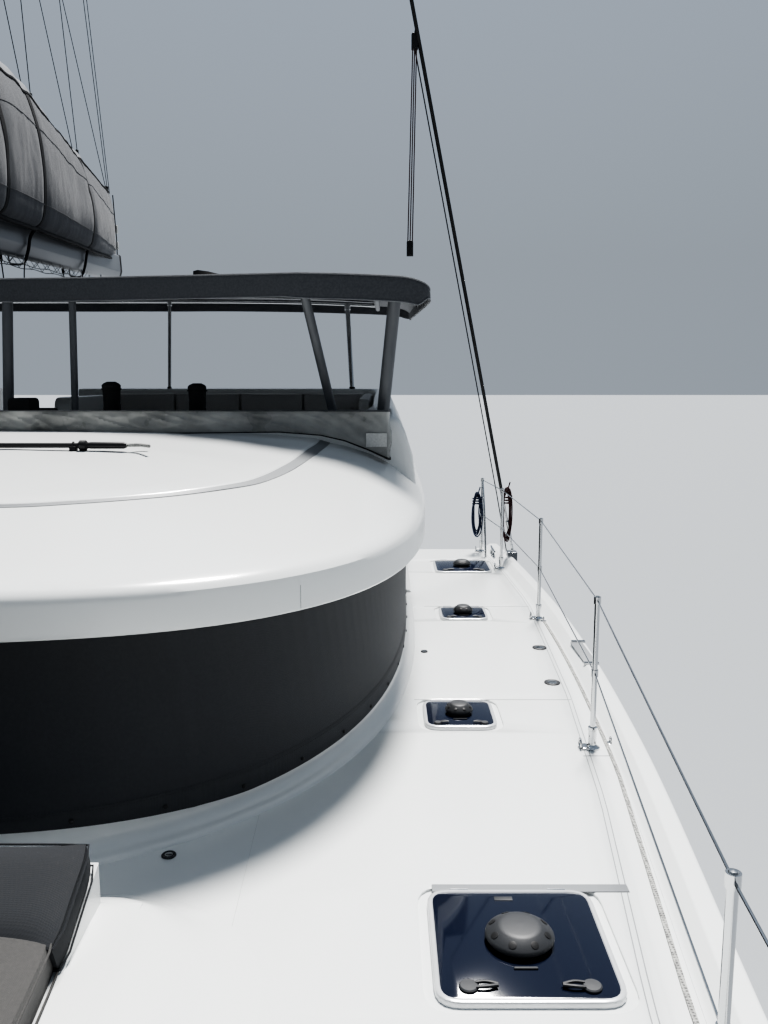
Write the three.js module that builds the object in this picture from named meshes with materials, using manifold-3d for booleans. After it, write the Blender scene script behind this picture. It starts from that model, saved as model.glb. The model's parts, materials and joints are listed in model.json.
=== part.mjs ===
// A sailing catamaran of fourteen metres with a sunken upper cockpit, afloat and moored, its sail in the bag.
// Millimetres. +Z is up, the bows look along -Y, port is +X. The origin is on the centreline, amidships, at the waterline.
import * as THREE from "three";
import { mergeVertices } from "three/addons/utils/BufferGeometryUtils.js";
import Module from "manifold-3d";

const wasm = await Module();
wasm.setup();

// Driving heights above the waterline
const DECK = 1700;
const SOLE = 800;
const TUNNEL_ROOF = 680;
const VISOR = 2520;
const UPPER_FLOOR = 2660;
const SHELF = 3120;
const GAP = 0.3;

// Hull: where the two centrelines lie, and what stands up from the deck's edge
const HULL_CENTRE = 3050;
const RAIL_FOOT = 140;
const RAIL_TOP = 75;
const RAIL_HEIGHT = 50;

// Deckhouse plan: a blunt superellipse forward of DECKHOUSE_Y and straight sides aft of it
const DECKHOUSE_Y = 3300;
const GROOVE = { a: 2920, b: 4050 };
const WALL = { a: 2820, b: 3950 };
const WALL_THICKNESS = 40;
const GLASS_THICKNESS = 10;
const COVER_THICKNESS = 7;
const BULKHEAD_Y = 3600;
const COCKPIT_END = 5300;
const BLUNTNESS = 3;
const OUTLINE_STEPS = 40;

// Bridgedeck between the hulls
const BRIDGE_FRONT = -3300;
const BRIDGE_AFT = 5760;
const FOREDECK_END = -480;

// Rig
const MAST_Y = 1400;
const MAST_FOOT = 3066;
const HOUNDS = 18700;
const MAST_TOP = 20500;
const GOOSENECK = { y: 1560, z: 4330, half: 125 };

const finish = (colour, roughness, metalness) =>
  new THREE.MeshStandardMaterial({ color: colour, roughness, metalness });
const FINISH = {
  gelcoat: finish(0xeeefec, 0.25, 0),
  acrylic: finish(0x1c222e, 0.12, 0),
  cover: finish(0x35363a, 0.9, 0),
  cushion: finish(0x6f6d6a, 0.9, 0),
  canopy: finish(0x55565a, 0.85, 0),
  vinyl: finish(0x8d8f90, 0.4, 0),
  bag: finish(0x5a5b5e, 0.85, 0),
  stainless: finish(0xc9ccd0, 0.2, 1),
  aluminium: finish(0xd5d7d8, 0.35, 0.9),
  grey: finish(0x5c5f63, 0.45, 0.6),
  black: finish(0x17181a, 0.6, 0),
  bronze: finish(0x9a7a45, 0.35, 1),
  net: finish(0xe7e7e2, 0.9, 0),
  wood: finish(0x9c7346, 0.6, 0),
};

const boat = new THREE.Group();

// A closed geometry as a solid that can be joined and cut, its faces turned outwards.
function solid(geometry) {
  const plain = geometry.index ? geometry.toNonIndexed() : geometry.clone();
  plain.deleteAttribute("normal");
  plain.deleteAttribute("uv");
  const merged = mergeVertices(plain, 1e-3);
  const triVerts = new Uint32Array(merged.index.array);
  const vertProperties = merged.attributes.position.array;
  const made = new wasm.Manifold(new wasm.Mesh({ numProp: 3, vertProperties, triVerts }));
  if (made.volume() >= 0) return made;
  for (let i = 0; i < triVerts.length; i += 3) {
    [triVerts[i + 1], triVerts[i + 2]] = [triVerts[i + 2], triVerts[i + 1]];
  }
  return new wasm.Manifold(new wasm.Mesh({ numProp: 3, vertProperties, triVerts }));
}

const join = (...pieces) => pieces.flat().reduce((whole, piece) => whole.add(piece));
const cut = (piece, ...tools) => tools.flat().reduce((rest, tool) => rest.subtract(tool), piece);

// Cuts a piece by its neighbours, moved a little each way, so that a gap stays between them.
function fit(piece, ...neighbours) {
  const shifts = [-GAP, GAP].flatMap((d) => [
    [d, 0, 0],
    [0, d, 0],
    [0, 0, d],
  ]);
  return cut(piece, neighbours.flatMap((n) => shifts.map((shift) => n.translate(shift))));
}

// A piece for port, or its mirror image for starboard.
const onSide = (side, piece) => (side > 0 ? piece : piece.mirror([1, 0, 0]));
const SIDES = [
  { side: 1, label: "port" },
  { side: -1, label: "starboard" },
];

function block(x, y, z) {
  const box = new THREE.BoxGeometry(x[1] - x[0], y[1] - y[0], z[1] - z[0]);
  return solid(box.translate((x[0] + x[1]) / 2, (y[0] + y[1]) / 2, (z[0] + z[1]) / 2));
}

// A round bar between two points, tapered where two radii are given.
function rod(from, to, radius, endRadius = radius, sides = 8) {
  const start = new THREE.Vector3(...from);
  const span = new THREE.Vector3(...to).sub(start);
  const bar = new THREE.CylinderGeometry(endRadius, radius, span.length(), sides);
  const turn = new THREE.Quaternion().setFromUnitVectors(
    new THREE.Vector3(0, 1, 0),
    span.clone().normalize(),
  );
  bar.applyQuaternion(turn);
  const middle = start.addScaledVector(span, 0.5);
  return solid(bar.translate(middle.x, middle.y, middle.z));
}

// Bars from point to point, with a ball at each inner corner.
function bent(points, radius, sides = 8) {
  const bars = points.slice(1).map((p, i) => rod(points[i], p, radius, radius, sides));
  const corners = points
    .slice(1, -1)
    .map((p) => solid(new THREE.SphereGeometry(radius * 1.04, sides, 4).translate(...p)));
  return join(bars, corners);
}

// A plan outline extruded upwards.
function plate(outline, z0, z1) {
  const shape = new THREE.Shape(outline.map(([x, y]) => new THREE.Vector2(x, y)));
  const made = new THREE.ExtrudeGeometry(shape, { depth: z1 - z0, bevelEnabled: false });
  return solid(made.translate(0, 0, z0));
}

// A profile in Y and Z extruded across the boat.
function profile(outline, x0, x1) {
  const shape = new THREE.Shape(outline.map(([y, z]) => new THREE.Vector2(y, z)));
  const made = new THREE.ExtrudeGeometry(shape, { depth: x1 - x0, bevelEnabled: false });
  made.applyMatrix4(new THREE.Matrix4().set(0, 0, 1, x0, 1, 0, 0, 0, 0, 1, 0, 0, 0, 0, 0, 1));
  return solid(made);
}

// A rectangle with round corners, as a plan outline.
function rounded(cx, cy, width, length, radius, steps = 4) {
  const corners = [
    [1, 1, 0],
    [-1, 1, 1],
    [-1, -1, 2],
    [1, -1, 3],
  ];
  return corners.flatMap(([sx, sy, quarter]) =>
    Array.from({ length: steps + 1 }, (_, i) => {
      const angle = ((quarter + i / steps) * Math.PI) / 2;
      return [
        cx + sx * (width / 2 - radius) + radius * Math.cos(angle),
        cy + sy * (length / 2 - radius) + radius * Math.sin(angle),
      ];
    }),
  );
}

// Joins rings of equal length into one closed body; flat is the axis that each end ring is square to.
function loft(rings, flat) {
  const count = rings[0].length;
  const at = (ring, i) => ring * count + (i % count);
  const index = [];
  for (let r = 0; r + 1 < rings.length; r++) {
    for (let i = 0; i < count; i++) {
      index.push(at(r, i), at(r, i + 1), at(r + 1, i + 1));
      index.push(at(r, i), at(r + 1, i + 1), at(r + 1, i));
    }
  }
  const project = { x: [1, 2], y: [0, 2], z: [0, 1] }[flat];
  for (const [ring, front] of [
    [0, true],
    [rings.length - 1, false],
  ]) {
    const outline = rings[ring].map((p) => new THREE.Vector2(p[project[0]], p[project[1]]));
    const faces = THREE.ShapeUtils.triangulateShape(outline, []);
    const next = (a, b) => (a + 1) % count === b;
    const forward = faces.some(([a, b, c]) => next(a, b) || next(b, c) || next(c, a));
    for (const [a, b, c] of faces) {
      const way = forward === front ? [a, c, b] : [a, b, c];
      index.push(...way.map((i) => at(ring, i)));
    }
  }
  const geometry = new THREE.BufferGeometry();
  geometry.setAttribute("position", new THREE.Float32BufferAttribute(rings.flat(2), 3));
  geometry.setIndex(index);
  return solid(geometry);
}

function add(name, made, material, parent = boat) {
  const mesh = made.getMesh();
  const places = new Float32Array(mesh.numVert * 3);
  for (let i = 0; i < mesh.numVert; i++) {
    const start = i * mesh.numProp;
    places.set(mesh.vertProperties.subarray(start, start + 3), 3 * i);
  }
  const geometry = new THREE.BufferGeometry();
  geometry.setAttribute("position", new THREE.BufferAttribute(places, 3));
  geometry.setIndex(new THREE.BufferAttribute(mesh.triVerts, 1));
  geometry.computeVertexNormals();
  const piece = new THREE.Mesh(geometry, material);
  piece.name = name;
  parent.add(piece);
  return made;
}

// Hull sections: y, outer deck edge, inner side, half breadth at the waterline, bottom
const STATIONS = [
  [-6950, 3085, 3015, 15, -250],
  [-6700, 3140, 2950, 60, -400],
  [-6000, 3230, 2830, 190, -480],
  [-5000, 3345, 2640, 360, -530],
  [-3500, 3500, 2400, 530, -580],
  [-1500, 3675, 2240, 640, -610],
  [500, 3882, 2200, 680, -610],
  [2500, 3968, 2200, 680, -580],
  [4500, 3895, 2200, 650, -480],
  [5600, 3790, 2220, 610, -340],
  [6950, 3660, 2260, 560, -60],
];

// The port hull's section at a station; grow moves its faces outwards.
function hullSection([y, out, inn, wl, keel], grow = 0) {
  const width = out - inn;
  const foot = out - Math.min(RAIL_FOOT, 0.4 * width);
  const top = out - Math.min(RAIL_TOP, 0.22 * width);
  const chine = HULL_CENTRE + 1.06 * wl;
  const bottom = [-1, -0.8, -0.4, 0, 0.4, 0.8, 1].map((s) => [
    HULL_CENTRE - s * wl,
    keel * (1 - Math.abs(s) ** 2.4),
  ]);
  return [
    [inn, DECK],
    [foot, DECK],
    [top, DECK + RAIL_HEIGHT],
    [out - 5, DECK + RAIL_HEIGHT],
    [out, DECK + 35],
    [out, DECK - 120],
    [0.15 * chine + 0.85 * out, 900],
    [chine, 250],
    ...bottom,
    [HULL_CENTRE - 1.06 * wl, 250],
    [inn, TUNNEL_ROOF + 70],
  ].map(([x, z]) => [
    x + Math.sign(x - HULL_CENTRE) * grow,
    y + Math.sign(y) * grow,
    z + (z > 0 ? grow : -grow),
  ]);
}

// Transom: the outer wall falls from the deck's aft end to the bathing platform, with four treads inside it
const TRANSOM_WALL = [
  [5250, 1751],
  [6500, 640],
  [7100, 560],
  [7100, 2200],
  [5250, 2200],
];
const TREADS = { y: 5250, going: 350, z: [1400, 1100, 800, 480], x: [2100, 3620] };

// Keel: chord ends and thickness at the root and the tip
const KEEL = [
  { z: -450, front: -900, aft: 1700, half: 125 },
  { z: -1250, front: -650, aft: 1450, half: 85 },
];

function keelRing({ z, front, aft, half }) {
  const shares = [
    [0, 0],
    [0.08, 0.7],
    [0.3, 1],
    [0.65, 0.8],
    [1, 0.08],
  ];
  const port = shares.map(([along, wide]) => [HULL_CENTRE + half * wide, front + (aft - front) * along, z]);
  const inner = shares
    .slice(1)
    .reverse()
    .map(([along, wide]) => [HULL_CENTRE - half * wide, front + (aft - front) * along, z]);
  return [...port, ...inner];
}

// Side deck hatches: name, x, y, size, radius of the vent dome
const HATCHES = [
  ["forward", 3110, -880, 540, 105],
  ["middle", 3080, 950, 360, 70],
  ["after", 3270, 2870, 340, 70],
  ["stern", 3400, 4460, 500, 80],
];
const HATCH = { recess: 12, margin: 30, lid: 20, seat: 40, well: 90, corner: 45 };

function hatchPocket([, x, y, size]) {
  const recess = rounded(x, y, size + 2 * HATCH.margin, size + 2 * HATCH.margin, HATCH.corner + 20);
  const well = size - 2 * HATCH.seat;
  const half = well / 2;
  return join(
    plate(recess, DECK - HATCH.recess, DECK + 100),
    block([x - half, x + half], [y - half, y + half], [DECK - HATCH.recess - HATCH.well, DECK]),
  );
}

function hatchLid([, x, y, size, dome]) {
  const low = DECK - HATCH.recess + GAP;
  const high = low + HATCH.lid;
  const lid = plate(rounded(x, y, size, size, HATCH.corner), low, high);
  const vent = new THREE.LatheGeometry(
    [
      [0, -5],
      [0.86, -5],
      [0.9, 12],
      [1, 18],
      [0.97, 34],
      [0.55, 56],
      [0, 60],
    ].map(([r, z]) => new THREE.Vector2(r * dome, z)),
    14,
  );
  const knuckle = rod([x - size / 3, y + size / 2, high - 5], [x + size / 3, y + size / 2, high - 5], 6);
  return join(lid, knuckle, solid(vent.rotateX(Math.PI / 2).translate(x, y, high)));
}

// Bathing ladder: its middle, half width, the ears that hold it, its hinge line and its top when stowed
const LADDER = { x: 3030, half: 160, ear: 200, y: 6985, z: 500, top: 1180 };
const RUDDER = { y: 5950, top: -430, bottom: -1180, boss: -410, chord: [5760, 6220], half: 30 };
const SHAFT = { y: 4940, z: -870 };
const CHAINPLATE = { x: [3835, 3930], y: [4650, 4762], top: 1790 };

function hull() {
  const steps = TREADS.z.map((z, i) =>
    block(TREADS.x, [TREADS.y + i * TREADS.going, 7100], [z, 2200]),
  );
  const chainplate = block(CHAINPLATE.x, CHAINPLATE.y, [1450, CHAINPLATE.top]);
  const boss = rod([HULL_CENTRE, RUDDER.y, RUDDER.boss], [HULL_CENTRE, RUDDER.y, 0], 70, 110, 12);
  const ears = [-LADDER.ear, LADDER.ear].map((d) =>
    block([LADDER.x + d - 12, LADDER.x + d + 12], [6900, 7012], [440, 530]),
  );
  return join(
    cut(
      loft(STATIONS.map((station) => hullSection(station)), "y"),
      profile(TRANSOM_WALL, 2000, 4000),
      steps,
      HATCHES.map(hatchPocket),
    ),
    loft(KEEL.map(keelRing), "z"),
    boss,
    chainplate,
    ears,
  );
}

const hullBody = hull();
const hulls = SIDES.map(({ side, label }) => add("hull_" + label, onSide(side, hullBody), FINISH.gelcoat));
const room = loft(STATIONS.map((station) => hullSection(station, 2 * GAP)), "y");
const hullRooms = SIDES.map(({ side }) => onSide(side, room));

for (const { side, label } of SIDES) {
  for (const row of HATCHES) {
    add("hatch_" + row[0] + "_" + label, onSide(side, hatchLid(row)), FINISH.acrylic);
  }
}

// Drive legs, propellers and rudders below each hull
function driveLeg() {
  const section = (z, front, aft, half) => [
    [HULL_CENTRE, front, z],
    [HULL_CENTRE + half, front + (aft - front) * 0.35, z],
    [HULL_CENTRE, aft, z],
    [HULL_CENTRE - half, front + (aft - front) * 0.35, z],
  ];
  const leg = loft([section(-300, 4380, 4760, 60), section(SHAFT.z, 4480, 4760, 40)], "z");
  const bulb = rod([HULL_CENTRE, 4440, SHAFT.z], [HULL_CENTRE, 4860, SHAFT.z], 55, 62, 12);
  const nose = rod([HULL_CENTRE, 4340, SHAFT.z], [HULL_CENTRE, 4440, SHAFT.z], 15, 55, 12);
  return fit(join(leg, bulb, nose), hullBody);
}

function propeller() {
  const hub = rod([HULL_CENTRE, 4860.3, SHAFT.z], [HULL_CENTRE, 5010, SHAFT.z], 55, 30, 12);
  const blades = [0, 120, 240].map((degrees) => {
    const blade = new THREE.SphereGeometry(1, 10, 6).scale(62, 9, 115);
    blade.rotateZ(0.5).translate(0, 0, 125);
    blade.rotateY(THREE.MathUtils.degToRad(degrees));
    return solid(blade.translate(HULL_CENTRE, SHAFT.y, SHAFT.z));
  });
  return join(hub, blades);
}

function rudder() {
  const ring = (z, front, aft, half) =>
    [
      [0, 0],
      [0.12, 0.8],
      [0.35, 1],
      [1, 0.1],
    ].flatMap(([along, wide], i, all) =>
      i === 0 ? [[HULL_CENTRE, front, z]] : [[HULL_CENTRE + half * wide, front + (aft - front) * along, z]],
    ).concat(
      [
        [1, 0.1],
        [0.35, 1],
        [0.12, 0.8],
      ].map(([along, wide]) => [HULL_CENTRE - half * wide, front + (aft - front) * along, z]),
    );
  const blade = loft(
    [
      ring(RUDDER.bottom, RUDDER.chord[0] + 60, RUDDER.chord[1] - 40, 0.7 * RUDDER.half),
      ring(RUDDER.top, RUDDER.chord[0], RUDDER.chord[1], RUDDER.half),
    ],
    "z",
  );
  const stock = rod(
    [HULL_CENTRE, RUDDER.y, RUDDER.top - 200],
    [HULL_CENTRE, RUDDER.y, RUDDER.boss - GAP],
    27,
    27,
    12,
  );
  return join(blade, stock);
}

for (const { side, label } of SIDES) {
  add("saildrive_" + label, onSide(side, driveLeg()), FINISH.grey);
  add("propeller_" + label, onSide(side, propeller()), FINISH.bronze);
  add("rudder_" + label, onSide(side, rudder()), FINISH.gelcoat);
}

// The deckhouse's plan: half width, reach forward of DECKHOUSE_Y and aft end
function outline(a, b, aft) {
  const power = 2 / BLUNTNESS;
  const front = Array.from({ length: OUTLINE_STEPS + 1 }, (_, i) => {
    const t = (Math.PI * i) / OUTLINE_STEPS;
    const c = Math.cos(t);
    return [a * Math.sign(c) * Math.abs(c) ** power, DECKHOUSE_Y - b * Math.abs(Math.sin(t)) ** power];
  });
  return [...front, [-a, aft], [a, aft]];
}

// Bridgedeck with the foredeck, the lounge's plinth and slope, the aft beam, and the wells of two lockers
const LOUNGE = {
  seatHalf: 1870,
  backHalf: 1820,
  front: -2200,
  seat: 1780,
  pad: 115,
  backLength: 327,
  slope: [[-1130, 1781], [-800, 1915]],
};
const SHOULDER = { x: [1250, 2620], y: [-500, 400], z: [1640, DECK] };
const LOCKER = { x: 1150, y: -2780, width: 900, length: 560 };

function bridgedeck() {
  const floor = profile(
    [
      [BRIDGE_FRONT + 250, TUNNEL_ROOF],
      [BRIDGE_AFT, TUNNEL_ROOF],
      [BRIDGE_AFT, 1250],
      [COCKPIT_END, 1250],
      [COCKPIT_END, SOLE],
      [FOREDECK_END, SOLE],
      [FOREDECK_END, DECK],
      [BRIDGE_FRONT, DECK],
      [BRIDGE_FRONT, TUNNEL_ROOF + 300],
    ],
    -2620,
    2620,
  );
  const plinth = block([-1950, 1950], [LOUNGE.front - 50, LOUNGE.slope[1][0]], [DECK - 20, LOUNGE.seat]);
  const slope = profile(
    [
      [LOUNGE.slope[0][0], LOUNGE.seat - 20],
      [LOUNGE.slope[1][0], LOUNGE.seat - 20],
      LOUNGE.slope[1],
      LOUNGE.slope[0],
    ],
    -LOUNGE.backHalf,
    LOUNGE.backHalf,
  );
  const inside = outline(WALL.a - WALL_THICKNESS, WALL.b - WALL_THICKNESS, COCKPIT_END);
  const shoulders = SIDES.map(({ side }) =>
    cut(
      onSide(side, block(SHOULDER.x, SHOULDER.y, SHOULDER.z)),
      plate(inside, SHOULDER.z[0] - 20, DECK + 20),
    ),
  );
  const wells = SIDES.flatMap(({ side }) => {
    const x = side * LOCKER.x;
    const wide = LOCKER.width / 2;
    const long = LOCKER.length / 2;
    return [
      block([x - wide - 8, x + wide + 8], [LOCKER.y - long - 8, LOCKER.y + long + 8], [DECK - 12, DECK + 50]),
      block([x - wide + 40, x + wide - 40], [LOCKER.y - long + 40, LOCKER.y + long - 40], [1250, DECK]),
    ];
  });
  return cut(join(floor, plinth, slope, shoulders), wells, hullRooms);
}

const bridge = add("bridgedeck", bridgedeck(), FINISH.gelcoat);

for (const { side, label } of SIDES) {
  const outline = rounded(side * LOCKER.x, LOCKER.y, LOCKER.width, LOCKER.length, 60);
  const grip = block(
    [side * LOCKER.x - 60, side * LOCKER.x + 60],
    [LOCKER.y - LOCKER.length / 2 + 20, LOCKER.y - LOCKER.length / 2 + 50],
    [DECK, DECK + 20],
  );
  const lid = join(plate(outline, DECK - 12 + GAP, DECK + 12), grip);
  add("locker_lid_" + label, lid, FINISH.gelcoat);

  const along = [0, 1].map((i) => LOUNGE.slope[1][i] - LOUNGE.slope[0][i]);
  const length = Math.hypot(...along);
  const way = along.map((v) => v / length);
  const on = (s, up) => [
    LOUNGE.slope[0][0] + s * way[0] - up * way[1],
    LOUNGE.slope[0][1] + s * way[1] + up * way[0],
  ];
  const end = LOUNGE.backLength;
  const back = profile([on(0, GAP), on(end, GAP), on(end, LOUNGE.pad), on(0, LOUNGE.pad)], 8, LOUNGE.backHalf);
  const seat = block(
    [8, LOUNGE.seatHalf],
    [LOUNGE.front, on(0, LOUNGE.pad)[0] - 8],
    [LOUNGE.seat + GAP, LOUNGE.seat + LOUNGE.pad],
  );
  add("lounge_back_" + label, onSide(side, back), FINISH.cushion);
  add("lounge_seat_" + label, onSide(side, seat), FINISH.cushion);
}

// Forward beam, the longeron to it, and the nets between
const BEAM = { y: -6420, z: 1500, radius: 105 };
const LONGERON = { half: 150, z: [1440, 1640] };
const NET_Z = 1560;

const striker = join(
  rod([0, BEAM.y, BEAM.z], [0, BEAM.y, BEAM.z + 620], 45),
  [-1, 1].map((s) => rod([s * 2500, BEAM.y, BEAM.z + 90], [0, BEAM.y, BEAM.z + 600], 14)),
);
const beam = cut(
  join(rod([-3000, BEAM.y, BEAM.z], [3000, BEAM.y, BEAM.z], BEAM.radius, BEAM.radius, 16), striker),
  hullRooms,
);
add("crossbeam", beam, FINISH.aluminium);

const longeronBody = fit(
  block([-LONGERON.half, LONGERON.half], [BEAM.y - 60, BRIDGE_FRONT - GAP], LONGERON.z),
  beam,
);
const longeronParts = longeronBody.decompose().sort((p, q) => q.volume() - p.volume());
const longeron = add("longeron", longeronParts[0], FINISH.gelcoat);

const NET_OUTLINE = [
  [LONGERON.half + GAP, -6333],
  [LONGERON.half + GAP, BRIDGE_FRONT - GAP],
  [2383, BRIDGE_FRONT - GAP],
  [2399, -3500],
  [2639, -5000],
  [2829, -6000],
  [2886, -6333],
];
for (const { side, label } of SIDES) {
  add("trampoline_" + label, onSide(side, plate(NET_OUTLINE, NET_Z, NET_Z + 16)), FINISH.net);
}

// Anchor gear: windlass on the foredeck, chain beside the striker's post, anchor stowed under the beam
const CHAIN_X = 110;
const anchorGear = join(
  rod([0, -3000, DECK + GAP], [0, -3000, DECK + 60], 130, 130, 12),
  rod([0, -3000, DECK + 50], [0, -3000, DECK + 210], 80, 60, 12),
  bent(
    [
      [CHAIN_X, -3020, DECK + 40],
      [CHAIN_X, -6640, LONGERON.z[1] + 60],
      [CHAIN_X, -6740, 1600],
      [CHAIN_X, -6690, 1340],
      [CHAIN_X, -6150, 1330],
    ],
    22,
  ),
  block([CHAIN_X - 220, CHAIN_X + 220], [-6440, -6180], [1295, 1330]),
);
add("anchor_gear", fit(anchorGear, longeron, bridge, beam), FINISH.stainless);

// Lifelines: x and y of each stanchion, port side, then the bow rail's posts
const STANCHIONS = [
  [3210, -3900],
  [3400, -1690],
  [3659, 537],
  [3790, 2730],
  [3740, 4370],
  [3650, 5150],
];
const PULPIT = [
  [3115, -5500],
  [3040, -6350],
];
const LIFELINE = { top: 700, middle: 360, post: 13, wire: 4, socket: 22 };

function rails() {
  const posts = [...STANCHIONS, ...PULPIT].map(([x, y]) => [
    rod([x, y, DECK + GAP], [x, y, DECK + LIFELINE.top + 20], LIFELINE.post),
    rod([x, y, DECK + GAP], [x, y, DECK + 70], LIFELINE.socket),
  ]);
  const line = [...STANCHIONS].reverse().concat(PULPIT);
  const wires = [LIFELINE.top, LIFELINE.middle].map((h) =>
    line.slice(1).map(([x, y], i) => {
      const radius = i + 1 >= STANCHIONS.length ? LIFELINE.post : LIFELINE.wire;
      return rod([line[i][0], line[i][1], DECK + h], [x, y, DECK + h], radius, radius, 6);
    }),
  );
  const bow = bent(
    [
      [...PULPIT[1], DECK + LIFELINE.top],
      [2990, -6640, DECK + LIFELINE.top - 40],
      [2930, -6350, DECK + LIFELINE.top - 60],
      [2930, -6350, DECK + GAP],
    ],
    LIFELINE.post,
  );
  return join(posts.flat(), wires.flat(), bow);
}

for (const { side, label } of SIDES) {
  add("guard_rail_" + label, cut(onSide(side, rails()), hullRooms), FINISH.stainless);
}

// Deckhouse rings
const ring = ([z, a, b, aft]) => outline(a, b, aft).map(([x, y]) => [x, y, z]);
const stack = (rows) => loft(rows.map(ring), "z");

// A wall of the deckhouse's plan, open aft: how far its outer face stands outside WALL, and its thickness
function band(outside, thickness, z, aft) {
  const inner = outside - thickness;
  return cut(
    stack(z.map((height) => [height, WALL.a + outside, WALL.b + outside, COCKPIT_END])),
    stack([z[0] - 10, z[1] + 10].map((h) => [h, WALL.a + inner, WALL.b + inner, COCKPIT_END + 100])),
    block([-4000, 4000], [aft, COCKPIT_END + 200], [z[0] - 20, z[1] + 20]),
  );
}

// Windows round the deckhouse: angle of each pillar's centre on the plan, in degrees from port
const WINDOW = { z: [1900, 2460], pillar: 70, pillars: [20, 40, 62, 90, 118, 140, 160] };
const DOORWAY = { x: [-700, 60], z: [SOLE, 2440] };
const AFT_WINDOW = { x: [180, 2000], z: [1750, 2400] };

function cabinWalls() {
  const outer = stack([
    [DECK + GAP, GROOVE.a, GROOVE.b, COCKPIT_END],
    [DECK + 25, GROOVE.a - 6, GROOVE.b - 6, COCKPIT_END],
    [DECK + 100, GROOVE.a - 60, GROOVE.b - 60, COCKPIT_END],
    [DECK + 140, WALL.a, WALL.b, COCKPIT_END],
    [VISOR - GAP, WALL.a, WALL.b, COCKPIT_END],
  ]);
  const inner = WALL.a - WALL_THICKNESS;
  const room = stack([
    [DECK - 100, inner, WALL.b - WALL_THICKNESS, COCKPIT_END + 100],
    [VISOR + 100, inner, WALL.b - WALL_THICKNESS, COCKPIT_END + 100],
  ]);
  const openSides = block([-4000, 4000], [BULKHEAD_Y + WALL_THICKNESS, COCKPIT_END - 130], [1960, 2700]);
  const slot = band(200, 400, WINDOW.z, BULKHEAD_Y - 200);
  const bars = WINDOW.pillars.map((degrees) => {
    const t = THREE.MathUtils.degToRad(degrees);
    const x = 4000 * Math.cos(t);
    const y = -5000 * Math.sin(t);
    const bar = new THREE.BoxGeometry(WINDOW.pillar, 2 * Math.hypot(x, y), 900);
    bar.rotateZ(Math.atan2(y, x) - Math.PI / 2);
    return solid(bar.translate(0, 0, 2200)).translate([0, DECKHOUSE_Y, 0]);
  });
  const windows = cut(cut(slot, bars), block([-4000, 4000], [BULKHEAD_Y - 180, 9000], [0, 4000]));
  const bulkhead = block([-2790, 2790], [BULKHEAD_Y, BULKHEAD_Y + WALL_THICKNESS], [SOLE + GAP, VISOR - GAP]);
  const doorway = block(DOORWAY.x, [BULKHEAD_Y - 50, BULKHEAD_Y + 100], [SOLE - 50, DOORWAY.z[1]]);
  const aftWindows = [1, -1].map((s) =>
    block(
      s > 0 ? AFT_WINDOW.x : [-2000, -880],
      [BULKHEAD_Y - 50, BULKHEAD_Y + 100],
      AFT_WINDOW.z,
    ),
  );
  const walls = cut(outer, room, openSides, windows);
  return fit(cut(join(walls, bulkhead), doorway, aftWindows, hullRooms), bridge);
}

add("cabin_walls", cabinWalls(), FINISH.gelcoat);
add(
  "cabin_glass",
  band(GLASS_THICKNESS + GAP, GLASS_THICKNESS, [1860, 2490], BULKHEAD_Y - 60),
  FINISH.acrylic,
);
add(
  "window_cover",
  band(GLASS_THICKNESS + 2 * GAP + COVER_THICKNESS, COVER_THICKNESS, [DECK + 145, VISOR - 4], 3250),
  FINISH.cover,
);

// Roof: height, half width, reach forward and aft end of each ring, outside and inside
const ROOF = [
  [2520, 2960, 4100, 5480],
  [2540, 2985, 4130, 5510],
  [2640, 2985, 4130, 5510],
  [2680, 2945, 4070, 5480],
  [2780, 2870, 3600, 5430],
  [2880, 2785, 2980, 5370],
  [2980, 2620, 2350, 5320],
  [3040, 2350, 1800, 5280],
  [3065, 1950, 1450, 5200],
];
const CEILING = [
  [2500, 2780, 3910, 5400],
  [2620, 2780, 3880, 5400],
  [2710, 2770, 3520, 5360],
  [2810, 2700, 2900, 5300],
  [2910, 2540, 2280, 5250],
  [2970, 2280, 1740, 5210],
  [2995, 1880, 1400, 5130],
];
const TUB = { x: 2600, y: [2300, 5000], wall: 40 };
const GATE = { x: [-950, -150] };

// Coaming: height, half width and aft end of its outer wall, then the slope of its rim
const COAMING = [
  [2760, 2895, 5330],
  [2920, 2875, 5320],
  [3060, 2830, 5300],
  [3150, 2785, 5290],
  [3300, 2725, 5270],
];
const COAMING_FRONT = 1980;
const COAMING_CORNER = 500;
const RIM = [
  [1900, 3130],
  [2200, 3200],
  [3400, 3250],
  [5400, 3277],
];

function coamingRing([z, half, aft]) {
  const corner = (side) =>
    [0, 1, 2, 3, 4, 5].map((i) => {
      const angle = ((side > 0 ? i : 5 - i) * Math.PI) / 10;
      const x = half - COAMING_CORNER * (1 - Math.cos(angle));
      return [side * x, aft - COAMING_CORNER * (1 - Math.sin(angle)), z];
    });
  return [[-half, COAMING_FRONT, z], [half, COAMING_FRONT, z], ...corner(1), ...corner(-1)];
}

function roof() {
  const body = loft(COAMING.map(coamingRing), "z");
  const above = profile([...RIM, [5400, 3500], [1900, 3500]], -3000, 3000);
  const shelf = block([-TUB.x, TUB.x], [COAMING_FRONT - 100, TUB.y[0] + 10], [SHELF, 3500]);
  const coaming = cut(body, above, shelf);
  const tub = block([-TUB.x, TUB.x], TUB.y, [UPPER_FLOOR, 3600]);
  const tubShell = block(
    [-TUB.x - TUB.wall, TUB.x + TUB.wall],
    [TUB.y[0] - TUB.wall, TUB.y[1] + TUB.wall],
    [UPPER_FLOOR - TUB.wall, 3600],
  );
  const gate = block(GATE.x, [TUB.y[1] - 10, 5600], [2900, 3600]);
  const ceiling = cut(stack(CEILING), tubShell);
  return cut(join(stack(ROOF), coaming), tub, gate, ceiling);
}

const roofBody = add("cabin_roof", roof(), FINISH.gelcoat);

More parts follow.
